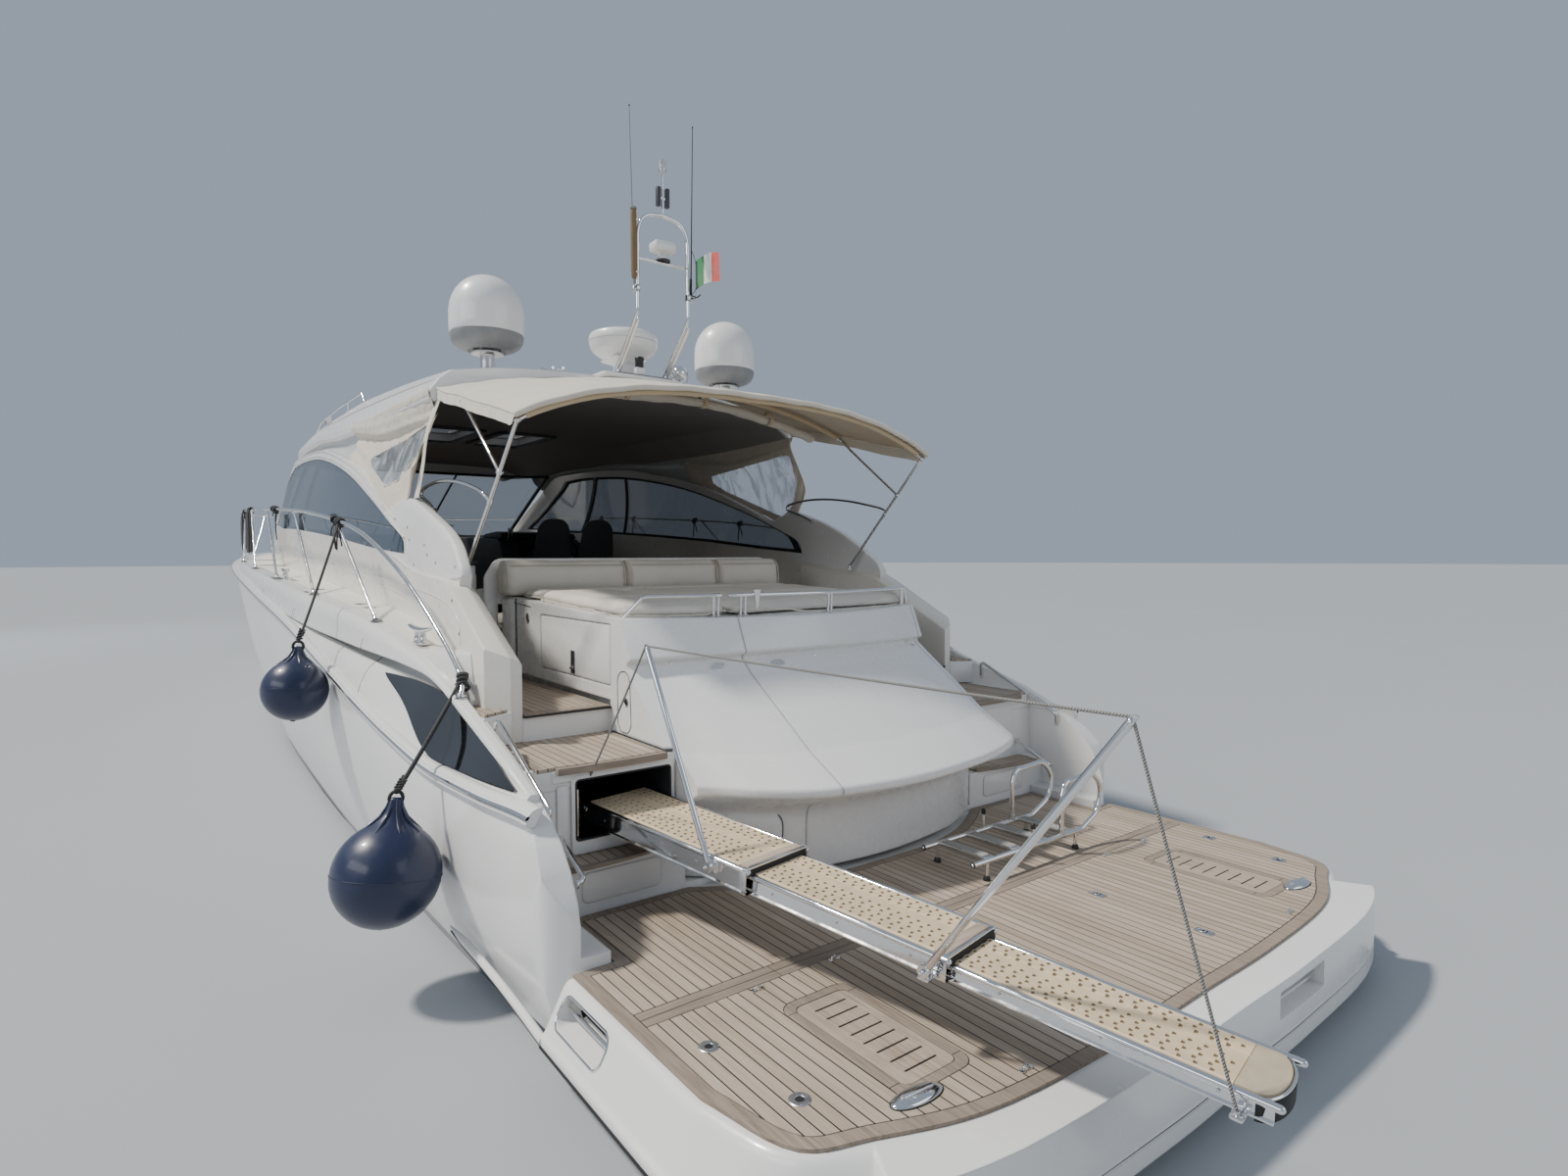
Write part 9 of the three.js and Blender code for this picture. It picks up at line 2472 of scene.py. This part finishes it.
sf.add(pp, SUNPAD)
sf.add(tube(follow_edge(rim_piping(pp[0], -7.232, -5.662, 0.572, 1.206, 0.06, 0.004, 0.020)), 0.0055, 6, closed=True), PIPING)
sf.add(tube([(-6.45, y, top_of(pp[0], -6.45, y, 0.025) - 0.0015) for y in np.linspace(0.60, 1.18, 24)], 0.0022, 6), SEAM_DARK)
pf = PAD["pad_front"]
for yy in (-0.63, 0.28):
    pf = groove(pf, [(lambda V, q=yy: V[:, 1] - q, zone)], 0.012, 0.018)
sf.add(pf, SUNPAD)
sf.add(tube(rim_piping(pf[0], -5.638, -5.335, -1.206, 1.206, 0.06, 0.004, 0.018), 0.0055, 6, closed=True), PIPING)
V, F = rbox(-7.240, -5.630, -1.215, -1.190, 0.004, 0.060, 0.008, 0.01, 2)
V = np.array(V)
V[:, 2] += pad_z(V[:, 0])
sf.add((follow_edge(V), F), SUNPAD)
o_ = sf.done()

# bolster in three sections with piped ends
bl = Part("bolster_cushions", replaces=("backrest_bolster",), slot="cushion_vinyl", sharp=70)
BPROF = fillet([(-5.280, 1.966), (-5.060, 1.966), (-5.056, 2.180), (-5.106, 2.255), (-5.228, 2.266), (-5.302, 2.200), (-5.312, 2.050)], 0.04, 5)
for k, (a, b) in enumerate(((-1.312, -0.640), (-0.622, 0.272), (0.290, 1.312))):
    bl.add(PAD["bolster_%d" % k], CREAM)
    for y in (a + 0.016, b - 0.016):
        Pb = PAD["bolster_%d" % k][0]
        ring = []
        for x, z in BPROF:
            sel = Pb[np.abs(Pb[:, 1] - y) < 0.022]
            ang = math.atan2(z - 2.11, x + 5.18)
            rr = np.hypot(sel[:, 0] + 5.18, sel[:, 2] - 2.11)
            da = np.abs((np.arctan2(sel[:, 2] - 2.11, sel[:, 0] + 5.18) - ang + pi) % (2 * pi) - pi)
            near = rr[da < 0.25]
            R_ = near.max() if len(near) else math.hypot(z - 2.11, x + 5.18)
            ring.append((-5.18 + (R_ - 0.001) * cos(ang), y, 2.11 + (R_ - 0.001) * sin(ang)))
        bl.add(tube(ring, 0.0048, 6, closed=True), PIPING)
    # seam along the front face
    Pb = PAD["bolster_%d" % k][0]
    pts = []
    for y in np.linspace(a + 0.03, b - 0.03, 40):
        sel = Pb[(np.abs(Pb[:, 1] - y) < 0.03) & (np.abs(Pb[:, 2] - 2.205) < 0.025)]
        pts.append((sel[:, 0].min() if len(sel) else -5.31, y, 2.205))
    pts = np.array(pts)
    pts[:, 0] = np.convolve(np.r_[pts[0, 0], pts[0, 0], pts[:, 0], pts[-1, 0], pts[-1, 0]], np.ones(5) / 5, "valid") + 0.0005
    bl.add(tube(pts, 0.0018, 5), SEAM_DARK)
o_ = bl.done()

# cockpit sofa: moulded base and back shell, three seats and three backs
cs = Part("cockpit_sofa_moulding", replaces=("cockpit_sofa",), slot="cushion_vinyl", sharp=36)
cs.add(rbox(-5.270, -5.048, -1.36, 1.27, 1.361, 1.952, 0.018, 0.03), GEL_SOFT)
cs.add(rbox(-5.060, -4.515, -1.33, 1.24, 1.420, 1.668, 0.020, 0.03), GEL_SOFT)
cs.add(rbox(-5.060, -4.560, -1.31, 1.22, 1.361, 1.425, 0.004, 0.02), DARK_GREY)
cs.add(slab(fillet([(-1.36, 1.90), (1.40, 1.90), (1.40, 2.12), (1.31, 2.262), (-1.31, 2.262), (-1.36, 2.12)], [0.02, 0.05, 0.10, 0.10, 0.08, 0.08], 5), -5.050, -5.020, "x", 0.010, 3), GEL_SOFT)
cs.add(rbox(-5.055, -4.80, 1.285, 1.405, 1.361, 2.02, 0.03, 0.04), GEL_SOFT)
cs.done()
cc = Part("cockpit_sofa_cushions", slot="cushion_vinyl", sharp=70)
for k in range(3):
    cc.add(PAD["sofa_seat_%d" % k], CREAM)
    bk = PAD["sofa_back_%d" % k]
    front = lambda V: (V[:, 0] > -5.00).astype(float)
    bk = groove(bk, [(lambda V: V[:, 2] - 2.06, front)], 0.012, 0.018, 0, -1)
    cc.add(bk, CREAM)
    a, b = SOFA[k]
    cc.add(tube(rim_piping(PAD["sofa_seat_%d" % k][0], -4.985, -4.520, a + 0.012, b - 0.012, 0.05, 0.004, 0.016, 90), 0.005, 6, closed=True), PIPING)
o_ = cc.done()

# dinette
dn = Part("dinette_base", replaces=("dinette_sofa",), slot="cushion_vinyl", sharp=36)
for x0, x1, y0, y1 in ((-1.9, 0.9, 1.15, 1.73), (-1.9, -1.3, 0.30, 1.16), (0.3, 0.9, 0.30, 1.16)):
    dn.add(rbox(x0, x1, y0, y1, 1.42, 1.682, 0.012, 0.03), JOINERY)
    dn.add(rbox(x0 + 0.04, x1 - 0.04, y0 + 0.04, y1 - 0.02, 1.361, 1.425, 0.004, 0.02), BLACK)
dn.add(rbox(-1.9, 0.9, 1.70, 1.74, 1.42, 2.16, 0.01, 0.01), GEL_SOFT)
dn.done()
dc = Part("dinette_cushions", slot="cushion_vinyl", sharp=70)
for n_, x0, x1, y0, y1 in DIN:
    dc.add(PAD["dinette_" + n_], CREAM)
    dc.add(tube(rim_piping(PAD["dinette_" + n_][0], x0 + 0.01, x1 - 0.01, y0 + 0.01, y1 - 0.01, 0.05, 0.004, 0.016, 60), 0.005, 6, closed=True), PIPING)
for n_ in ("b0", "b1", "b2"):
    dc.add(PAD["dinette_" + n_], CREAM)
o_ = dc.done()
tb = Part("dinette_table", slot="cabin_sole", sharp=36)
tb.add(slab(fillet([(-1.15, 0.36), (0.15, 0.36), (0.15, 0.98), (-1.15, 0.98)], 0.09, 5), 2.045, 2.078, "z", 0.010, 3), JOINERY)
tb.add(lathe([(0, 1.361), (0.16, 1.361), (0.16, 1.372), (0.05, 1.385), (0.042, 1.41), (0.042, 2.00), (0.09, 2.035), (0.09, 2.046), (0, 2.046)], 32, (-0.5, 0.67, 0)), STEEL)
tb.done()

# helm seats
for tag, yc in (("port", -0.650), ("starboard", -1.250)):
    hb = Part("helm_seat_base_" + tag, replaces=("helm_seat_" + tag,), slot="dark_leather", sharp=36)
    hb.add(lathe([(0, 1.361), (0.17, 1.361), (0.172, 1.372), (0.09, 1.392), (0.058, 1.42), (0.055, 1.62), (0.075, 1.652), (0, 1.652)], 32, (-1.10, yc, 0)), STEEL_DULL)
    hb.add(rbox(-1.330, -0.830, yc - 0.215, yc + 0.215, 1.650, 1.702, 0.016, 0.06), DARK_GREY)
    shellp = fillet([(yc - 0.235, 1.70), (yc + 0.235, 1.70), (yc + 0.245, 2.30), (yc + 0.195, 2.745), (yc - 0.195, 2.745), (yc - 0.245, 2.30)], [0.05, 0.05, 0.2, 0.17, 0.17, 0.2], 6)
    V, F = slab(shellp, -0.060, -0.040, "x", 0.008, 2)
    hb.add((back_slope(V), F), DARK_GREY)
    for sg in (-1, 1):
        hb.add(tube([(-1.28, yc + sg * 0.226, 1.96), (-1.20, yc + sg * 0.230, 1.985), (-0.95, yc + sg * 0.226, 1.980)], 0.012, 10, dome=True), STEEL_DULL)
    hb.done()
    hc = Part("helm_seat_cushions_" + tag, slot="dark_leather", sharp=70)
    fr_ = lambda V: (V[:, 0] > -1.232 - (V[:, 2] - 1.84) * 0.215).astype(float)
    bk = groove(PAD["helm_back_" + tag], [(lambda V: V[:, 2] - 2.07, fr_), (lambda V: V[:, 2] - 2.47, fr_)], 0.012, 0.016, 0, -1)
    st = groove(PAD["helm_seat_" + tag], [(lambda V: V[:, 0] + 1.05, lambda V: (V[:, 2] > 1.77).astype(float))], 0.012, 0.016)
    hc.add(bk, BLACK_SEAT)
    hc.add(st, BLACK_SEAT)
    for sg in (-1, 1):
        hc.add(PAD["helm_arm_%s_%d" % (tag, sg)], BLACK_SEAT)
    o_ = hc.done()

# ------------------------------------------------------------------ cockpit sole and saloon floor
U_ = [(-3.402, -1.797), (-3.402, 1.797), (-6.958, 1.797), (-6.958, 1.250), (-5.262, 1.250), (-5.262, -1.250), (-6.958, -1.250), (-6.958, -1.797)]
U_ = ccw(U_)
so_ = Part("cockpit_sole_planks", replaces=("cockpit_sole",), slot="teak", sharp=30)
so_.add(slab(U_, 1.3405, 1.3535, "z", 0), CAULK)
so_.add(boolean(slab(inset2(U_, 0.003), 1.352, 1.360, "z", 0.0015, 1), [slab(inset2(U_, 0.072), 1.2, 1.5, "z", 0)]), TEAK_MARGIN)
so_.add(slab(inset2(U_, 0.077), 1.352, 1.360, "z", 0.0015, 1), TEAK_SOLE)
so_.done()
sl_ = Part("saloon_floor_boards", replaces=("saloon_floor",), slot="cabin_sole", sharp=30)
for k in range(22):
    y0 = -1.797 + k * 3.594 / 22
    sl_.add(rbox(-3.398, 3.30, y0 + 0.0012, y0 + 3.594 / 22 - 0.0012, 1.3405, 1.360, 0.0015, 0.002, 1), JOINERY)
sl_.add(cbox(-3.397, 3.299, -1.796, 1.796, 1.3402, 1.356), BLACK)
sl_.add(rbox(-3.430, -3.385, -1.79, 1.79, 1.3405, 1.366, 0.004, 0.005), STEEL_DULL)
sl_.done()

# ------------------------------------------------------------------ wetbar
wb = Part("wetbar_cabinet", replaces=("wetbar_unit",), slot="gelcoat", sharp=34)
wb.add(rbox(-4.245, -3.305, 1.200, 1.790, 1.42, 2.205, 0.018, 0.05), GEL_SOFT)
wb.add(rbox(-4.215, -3.335, 1.235, 1.790, 1.361, 1.425, 0.004, 0.02), DARK_GREY)
wb.add(slab(rrect(-4.262, -3.290, 1.178, 1.794, 0.06, 5), 2.200, 2.238, "z", 0.012, 3), DARK_GREY)
for x0, x1 in ((-4.20, -3.80), (-3.75, -3.35)):
    wb.add(rbox(x0, x1, 1.192, 1.202, 1.50, 2.12, 0.004, 0.02), GEL)
    wb.add(disc(((x0 + x1) / 2, 1.193, 2.02), (0, -1, 0), 0.020, 0.006, 0.002), STEEL)
wb.add(boolean(rbox(-4.10, -3.80, 1.32, 1.60, 2.236, 2.244, 0.003, 0.04), [rbox(-4.085, -3.815, 1.335, 1.585, 2.2, 2.3, 0.002, 0.035)]), STEEL)
wb.add(tube(fillet([(-3.95, 1.66, 2.236), (-3.95, 1.66, 2.40), (-3.95, 1.50, 2.40), (-3.95, 1.48, 2.35)], 0.05, 5, closed=False), 0.011, 10, dome=True), STEEL)
wb.done()

# ------------------------------------------------------------------ helm: console, dash, wheel
hc_ = Part("helm_console_moulding", replaces=("helm_console",), slot="dark_plastic", sharp=34)
prof = fillet([(-0.240, 1.362), (3.185, 1.362), (3.185, 2.555), (2.70, 2.595), (0.35, 2.530), (0.10, 2.515), (-0.04, 2.462), (-0.142, 2.250), (-0.225, 1.90)], [0.01, 0.01, 0.03, 0.06, 0.10, 0.08, 0.05, 0.06, 0.05], 4)
hc_.add(slab(prof, -1.648, -0.452, "y", 0.030, 3), DARK_GREY)
hc_.add(slab(fillet([(0.10, 2.50), (0.85, 2.535), (0.80, 2.60), (0.30, 2.625), (0.10, 2.60), (0.02, 2.535)], 0.03, 4), -1.60, -0.50, "y", 0.025, 3), BLACK)
nrm_ = unit((-0.43 * 2.2, 0, 0.19 * 2.2))
for yc, w, h in ((-1.30, 0.30, 0.20), (-0.86, 0.30, 0.20)):
    fr_s = rbox(-h / 2 - 0.012, h / 2 + 0.012, -w / 2 - 0.012, w / 2 + 0.012, -0.004, 0.012, 0.004, 0.012)
    sc_s = rbox(-h / 2, h / 2, -w / 2, w / 2, 0.0, 0.0135, 0.001, 0.004)
    at_ = (-0.082, yc, 2.375)
    hc_.add(place(fr_s, at_, (0.43, 0, 0.90), (-0.90, 0, 0.43)), BLACK)
    hc_.add(place(sc_s, at_, (0.43, 0, 0.90), (-0.90, 0, 0.43)), GLASS_HULL)
for k in range(4):
    yy = -1.50 + 0.055 * k
    hc_.add(place(lathe([(0, 0), (0.022, 0), (0.024, 0.004), (0.022, 0.008), (0, 0.006)], 20), (-0.175, yy, 2.15), (0, 1, 0), (-0.95, 0, 0.25)), STEEL_DULL)
# throttles
hc_.add(rbox(-0.08, 0.06, -0.66, -0.54, 2.475, 2.515, 0.012), BLACK)
for yy in (-0.625, -0.575):
    hc_.add(tube([(-0.01, yy, 2.505), (-0.03, yy, 2.60), (-0.035, yy, 2.655)], [0.009, 0.010, 0.014], 10, dome=True), STEEL)
# ledge under the windscreen
hc_.add(slab(fillet([(y * 1.0, x) for x, y in []] or [(3.180, -1.60), (3.36, -1.60), (3.52, -1.20), (3.575, 0.0), (3.52, 1.20), (3.36, 1.60), (3.180, 1.60)], 0.06, 3), 2.545, 2.600, "z", 0.012, 2), BLACK_SEAT)
hc_.done()

WC = arr(-0.290, -1.270, 2.330)
MR = Matrix.Rotation(-0.45, 4, "Y")
TW = [[MR[i][j] for j in range(4)] for i in range(4)]
for i in range(3):
    TW[i][3] = WC[i]
sw = Part("steering_wheel_rim", body="steering_wheel", replaces=("steering_wheel",), slot="dark_plastic", sharp=40)
ring = [(0, 0.186 * cos(t), 0.186 * sin(t)) for t in np.linspace(0, 2 * pi, 73)[:-1]]
sw.add(moved(tube(ring, [0.0155 + (0.0012 if k % 6 < 3 else 0) for k in range(72)], 12, closed=True), TW), BLACK_SEAT)
for a in (pi / 2, pi / 2 + 2 * pi / 3, pi / 2 - 2 * pi / 3):
    d_ = arr(0, cos(a), sin(a))
    sw.add(moved(tube([d_ * 0.035 + arr(0.012, 0, 0), d_ * 0.10 + arr(0.010, 0, 0), d_ * 0.178], [0.016, 0.011, 0.010], 10, flat=(1.3, 0.6)), TW), STEEL_DULL)
sw.add(moved(lathe([(0, -0.018), (0.030, -0.018), (0.042, -0.010), (0.045, 0.004), (0.045, 0.016), (0.030, 0.022), (0, 0.022)], 32, (0, 0, 0), (1, 0, 0)), TW), BLACK)
sw.add(moved(lathe([(0, 0.02), (0.024, 0.02), (0.022, 0.10), (0.032, 0.15), (0.034, 0.178), (0, 0.178)], 24, (0, 0, 0), (1, 0, 0)), TW), DARK_GREY)
sw.done()

# ------------------------------------------------------------------ bathing ladder lying on the platform, its rails hooped
bld = Part("ladder", replaces=("bathing_ladder",), slot="stainless", sharp=36)
LX = (-8.330, -8.700)
for x in LX:
    loop = fillet([(x, -0.085, 0.560), (x, -1.110, 0.560), (x, -1.285, 0.640), (x, -1.335, 0.800), (x, -1.215, 0.905), (x, -0.930, 0.885), (x, -0.900, 0.800), (x, -0.905, 0.572)], [0, 0.08, 0.12, 0.14, 0.12, 0.07, 0.04, 0], 7, closed=False)
    bld.add(tube(loop, 0.0150, 12, dome=True), STEEL)
    bld.add(disc((x, -0.083, 0.560), (0, 1, 0), 0.0165, 0.008, 0.003), BLACK)
    bld.add(lathe([(0, -0.020), (0.0195, -0.020), (0.0195, 0.020), (0, 0.020)], 16, (x, -0.905, 0.582)), STEEL_DULL)
    for y in (-0.200, -1.050):
        bld.add(tube([(x, y, 0.552), (x, y, 0.470)], 0.0115, 10), STEEL)
        bld.add(lathe([(0, 0.4515), (0.021, 0.4515), (0.021, 0.462), (0.014, 0.478), (0, 0.478)], 18, (x, y, 0)), BLACK)
for i in range(4):
    yc = -0.230 - 0.250 * i
    tread = rbox(LX[1] + 0.004, LX[0] - 0.004, yc - 0.036, yc + 0.036, 0.552, 0.577, 0.006, 0.008)
    bld.add(tread, STEEL_DULL)
    bld.add(rbox(LX[1] + 0.030, LX[0] - 0.030, yc - 0.028, yc + 0.028, 0.5765, 0.5805, 0.0015, 0.006, 1), GREY_TREAD)
    for k in range(7):
        bld.add(rbox(LX[1] + 0.036, LX[0] - 0.036, yc - 0.0255 + k * 0.0078, yc - 0.0220 + k * 0.0078, 0.5803, 0.5820, 0.0006, 0.0008, 1), GREY_TREAD)
for x in (LX[0] + 0.0, LX[1]):
    bld.add(tube([(x, -0.62, 0.575), (x, -0.62, 0.665)], 0.0085, 10), STEEL)
    bld.add(lathe([(0, 0), (0.014, 0), (0.014, 0.028), (0.008, 0.034), (0, 0.034)], 16, (x, -0.62, 0.660)), BLACK)
bld.done()

# ------------------------------------------------------------------ running gear and engines
TAN9 = math.tan(math.radians(9))
for tag, s in (("port", 1), ("starboard", -1)):
    y = s * 0.850
    sline = lambda x: -0.830 + (x + 8.0) * TAN9
    zb_ = lambda x: KZ(x) + (CZ(x) - KZ(x)) * min(1, 0.85 / CY(x))
    sh = Part("shaft_and_bracket_" + tag, replaces=("shaft_" + tag,), slot="bronze", sharp=36)
    sh.add(tube([(-7.98, y, sline(-7.98)), (-5.25, y, sline(-5.25))], 0.031, 20), STEEL_DULL)
    ax9 = (cos(math.radians(9)), 0, sin(math.radians(9)))
    sh.add(lathe([(0, -0.135), (0.046, -0.132), (0.054, -0.11), (0.056, 0.0), (0.054, 0.11), (0.046, 0.132), (0, 0.135)], 28, (-7.63, y, sline(-7.63)), ax9), BRONZE)
    foil = lambda c, l, w, z: [(c + l * a, y + w * b, z) for a, b in ((0.5, 0), (0.42, 0.30), (0.22, 0.48), (0, 0.5), (-0.25, 0.36), (-0.5, 0.02), (-0.5, -0.02), (-0.25, -0.36), (0, -0.5), (0.22, -0.48), (0.42, -0.30))]
    sh.add(loft([foil(-7.62, 0.150, 0.034, sline(-7.62) + 0.03), foil(-7.62, 0.145, 0.030, lerp(sline(-7.62), zb_(-7.62), 0.6)), foil(-7.62, 0.17, 0.036, zb_(-7.62) + 0.02)]), BRONZE)
    sh.add(lathe([(0, -0.06), (0.060, -0.06), (0.066, -0.03), (0.058, 0.10), (0.045, 0.16), (0, 0.16)], 28, (-5.75, y, sline(-5.75)), ax9), BRONZE)
    sh.done()
    # propeller: four skewed blades on a tapered hub
    pr = Part("propeller_cast_" + tag, body="propeller_" + tag, replaces=("propeller_" + tag,), slot="bronze", sharp=50)
    C = np.array([-8.060, y, sline(-8.060)])
    up_ = arr(-ax9[2], 0, ax9[0])
    sd_ = arr(0, 1, 0)
    A9 = np.array(ax9)
    pr.add(lathe([(0, -0.150), (0.020, -0.148), (0.034, -0.125), (0.040, -0.10), (0.050, -0.098), (0.057, -0.03), (0.061, 0.04), (0.061, 0.096), (0, 0.098)], 36, tuple(C), ax9), BRONZE)
    for i in range(4):
        a0 = i * pi / 2 + (0.3 if s > 0 else 0.8)
        R_, hub = 0.352, 0.052
        rows = []
        for u in np.linspace(0, 1, 12):
            r_ = lerp(hub, R_, u)
            chord = 0.235 * (0.36 + 0.64 * sin(pi * (0.10 + 0.78 * u)) ** 0.8) * (1 - u ** 7 * 0.75)
            pitch = math.atan2(0.62, 2 * pi * r_ * 1.15)
            skew = 0.16 * u * u
            row = []
            for v in np.linspace(-0.5, 0.5, 11):
                th = a0 + s * (skew + chord * v * cos(pitch) / max(r_, 0.09))
                axp = chord * v * sin(pitch) - 0.02 * u
                row.append(C + A9 * axp + (up_ * cos(th) + sd_ * sin(th)) * r_)
            rows.append(row)
        pr.add(shell(np.array(rows), 0.0085), BRONZE)
    pr.done()
    rx_ = -8.720
    rd_ = Part("rudder_blade_" + tag, body="rudder_" + tag, replaces=("rudder_" + tag,), slot="bronze", sharp=40)
    rings = []
    for z, l, w in ((-1.258, 0.120, 0.30), (-1.250, 0.140, 0.7), (-1.22, 0.150, 1.0), (-0.9, 0.195, 1.0), (-0.55, 0.243, 1.0), (-0.505, 0.247, 0.9), (-0.492, 0.235, 0.5)):
        pts = []
        for a, b in ((0.72, 0), (0.68, 0.30), (0.55, 0.62), (0.35, 0.86), (0.1, 1.0), (-0.25, 0.86), (-0.65, 0.42), (-1.0, 0.06), (-1.0, -0.06), (-0.65, -0.42), (-0.25, -0.86), (0.1, -1.0), (0.35, -0.86), (0.55, -0.62), (0.68, -0.30)):
            pts.append((rx_ + l * a, y + 0.026 * w * b, z))
        rings.append(pts)
    rd_.add(loft(rings), BRONZE)
    rd_.add(tube([(rx_, y, -0.52), (rx_, y, zb_(rx_) - 0.004)], 0.0235, 20), STEEL_DULL)
    rd_.done()
    # engine: block with heads, covers, sump and mounts inside the plain block's outline
    en = Part("engine_block_" + tag, replaces=("engine_" + tag,), slot="engine_paint", sharp=34)
    y0, y1 = sorted((s * 0.42, s * 1.30))
    yc = (y0 + y1) / 2
    en.add(rbox(-4.75, -3.20, yc - 0.24, yc + 0.24, -0.10, 0.42, 0.03, 0.05), ENGINE)
    en.add(rbox(-4.65, -3.35, yc - 0.17, yc + 0.17, -0.278, -0.08, 0.03, 0.06), ENGINE)
    for q in (-1, 1):
        V, F = rbox(-4.70, -3.25, -0.11, 0.11, 0.0, 0.26, 0.03, 0.04)
        en.add(place((V, F), (0, yc + q * 0.20, 0.40), (1, 0, 0), (0, q * 0.5, 0.87)), ENGINE)
        for k in range(6):
            en.add(rbox(-4.66 + k * 0.235, -4.46 + k * 0.235, yc + q * 0.36 - 0.06, yc + q * 0.36 + 0.06, 0.60, 0.66, 0.015, 0.03), DARK_GREY)
        en.add(rbox(-4.60, -3.40, *sorted((yc + q * 0.30, yc + q * 0.43)), -0.02, 0.08, 0.01), GREY_BAND)
    en.add(tube([(-4.62, yc, 0.62), (-3.35, yc, 0.62)], 0.075, 18, dome=True), STEEL_DULL)
    en.add(rbox(-3.20, -3.055, yc - 0.30, yc + 0.30, -0.15, 0.55, 0.02, 0.05), DARK_GREY)
    en.add(lathe([(0, 0), (0.22, 0), (0.22, 0.10), (0.16, 0.18), (0, 0.19)], 28, (-4.75, yc, 0.12), (-1, 0, 0)), GREY_BAND)
    en.done()


# ------------------------------------------------------------------ floor at the waterline, studio light
floor_me = bpy.data.meshes.new("floor")
fv, ff = [], []
RADII = [2, 5, 10, 20, 40, 80, 140, 220]
for r_ in RADII:
    fv += [(r_ * cos(t), r_ * sin(t), 0.0) for t in np.linspace(0, 2 * pi, 97)[:-1]]
for k in range(len(RADII) - 1):
    ff += [(k * 96 + i, k * 96 + (i + 1) % 96, (k + 1) * 96 + (i + 1) % 96, (k + 1) * 96 + i) for i in range(96)]
ff.append(tuple(range(96)))
floor_me.from_pydata(fv, [], ff)
floor = bpy.data.objects.new("floor", floor_me)
scene.collection.objects.link(floor)
nf = Nodes("floor_pale")
floor_me.materials.append(nf.set(color=nf.mix(nf.noise(0.3, 2), (0.375, 0.395, 0.415), (0.395, 0.415, 0.435)), rough=0.75, spec=0.15))

world = bpy.data.worlds.new("studio")
scene.world = world
world.use_nodes = True
wt = world.node_tree
bg = wt.nodes["Background"]
bg.inputs["Color"].default_value = (0.70, 0.82, 1.0, 1)
bg.inputs["Strength"].default_value = 0.46


def area(name, at, look, size, power, colour=(1, 1, 1)):
    d = bpy.data.lights.new(name, "AREA")
    d.shape, d.size, d.size_y, d.energy, d.color = "RECTANGLE", size[0], size[1], power, colour
    o = bpy.data.objects.new(name, d)
    scene.collection.objects.link(o)
    o.location = at
    o.rotation_euler = (Vector(look) - Vector(at)).to_track_quat("-Z", "Y").to_euler()
    return o


sun = bpy.data.lights.new("key", "SUN")
sun.energy, sun.angle, sun.color = 4.0, math.radians(5), (1.0, 0.955, 0.885)
sun_o = bpy.data.objects.new("key", sun)
scene.collection.objects.link(sun_o)
sun_o.rotation_euler = Vector((-0.50, -0.62, -1.05)).to_track_quat("-Z", "Y").to_euler()
area("fill", (-22, -7, 9), (-6, 0, 1.5), (12, 8), 420, (0.93, 0.96, 1.0))
area("side", (-9, 20, 10), (-4, 0, 1.5), (18, 5), 950, (0.97, 0.98, 1.0))
area("bow", (20, 10, 9), (4, 0, 1.5), (10, 8), 500, (0.95, 0.97, 1.0)).visible_glossy = False
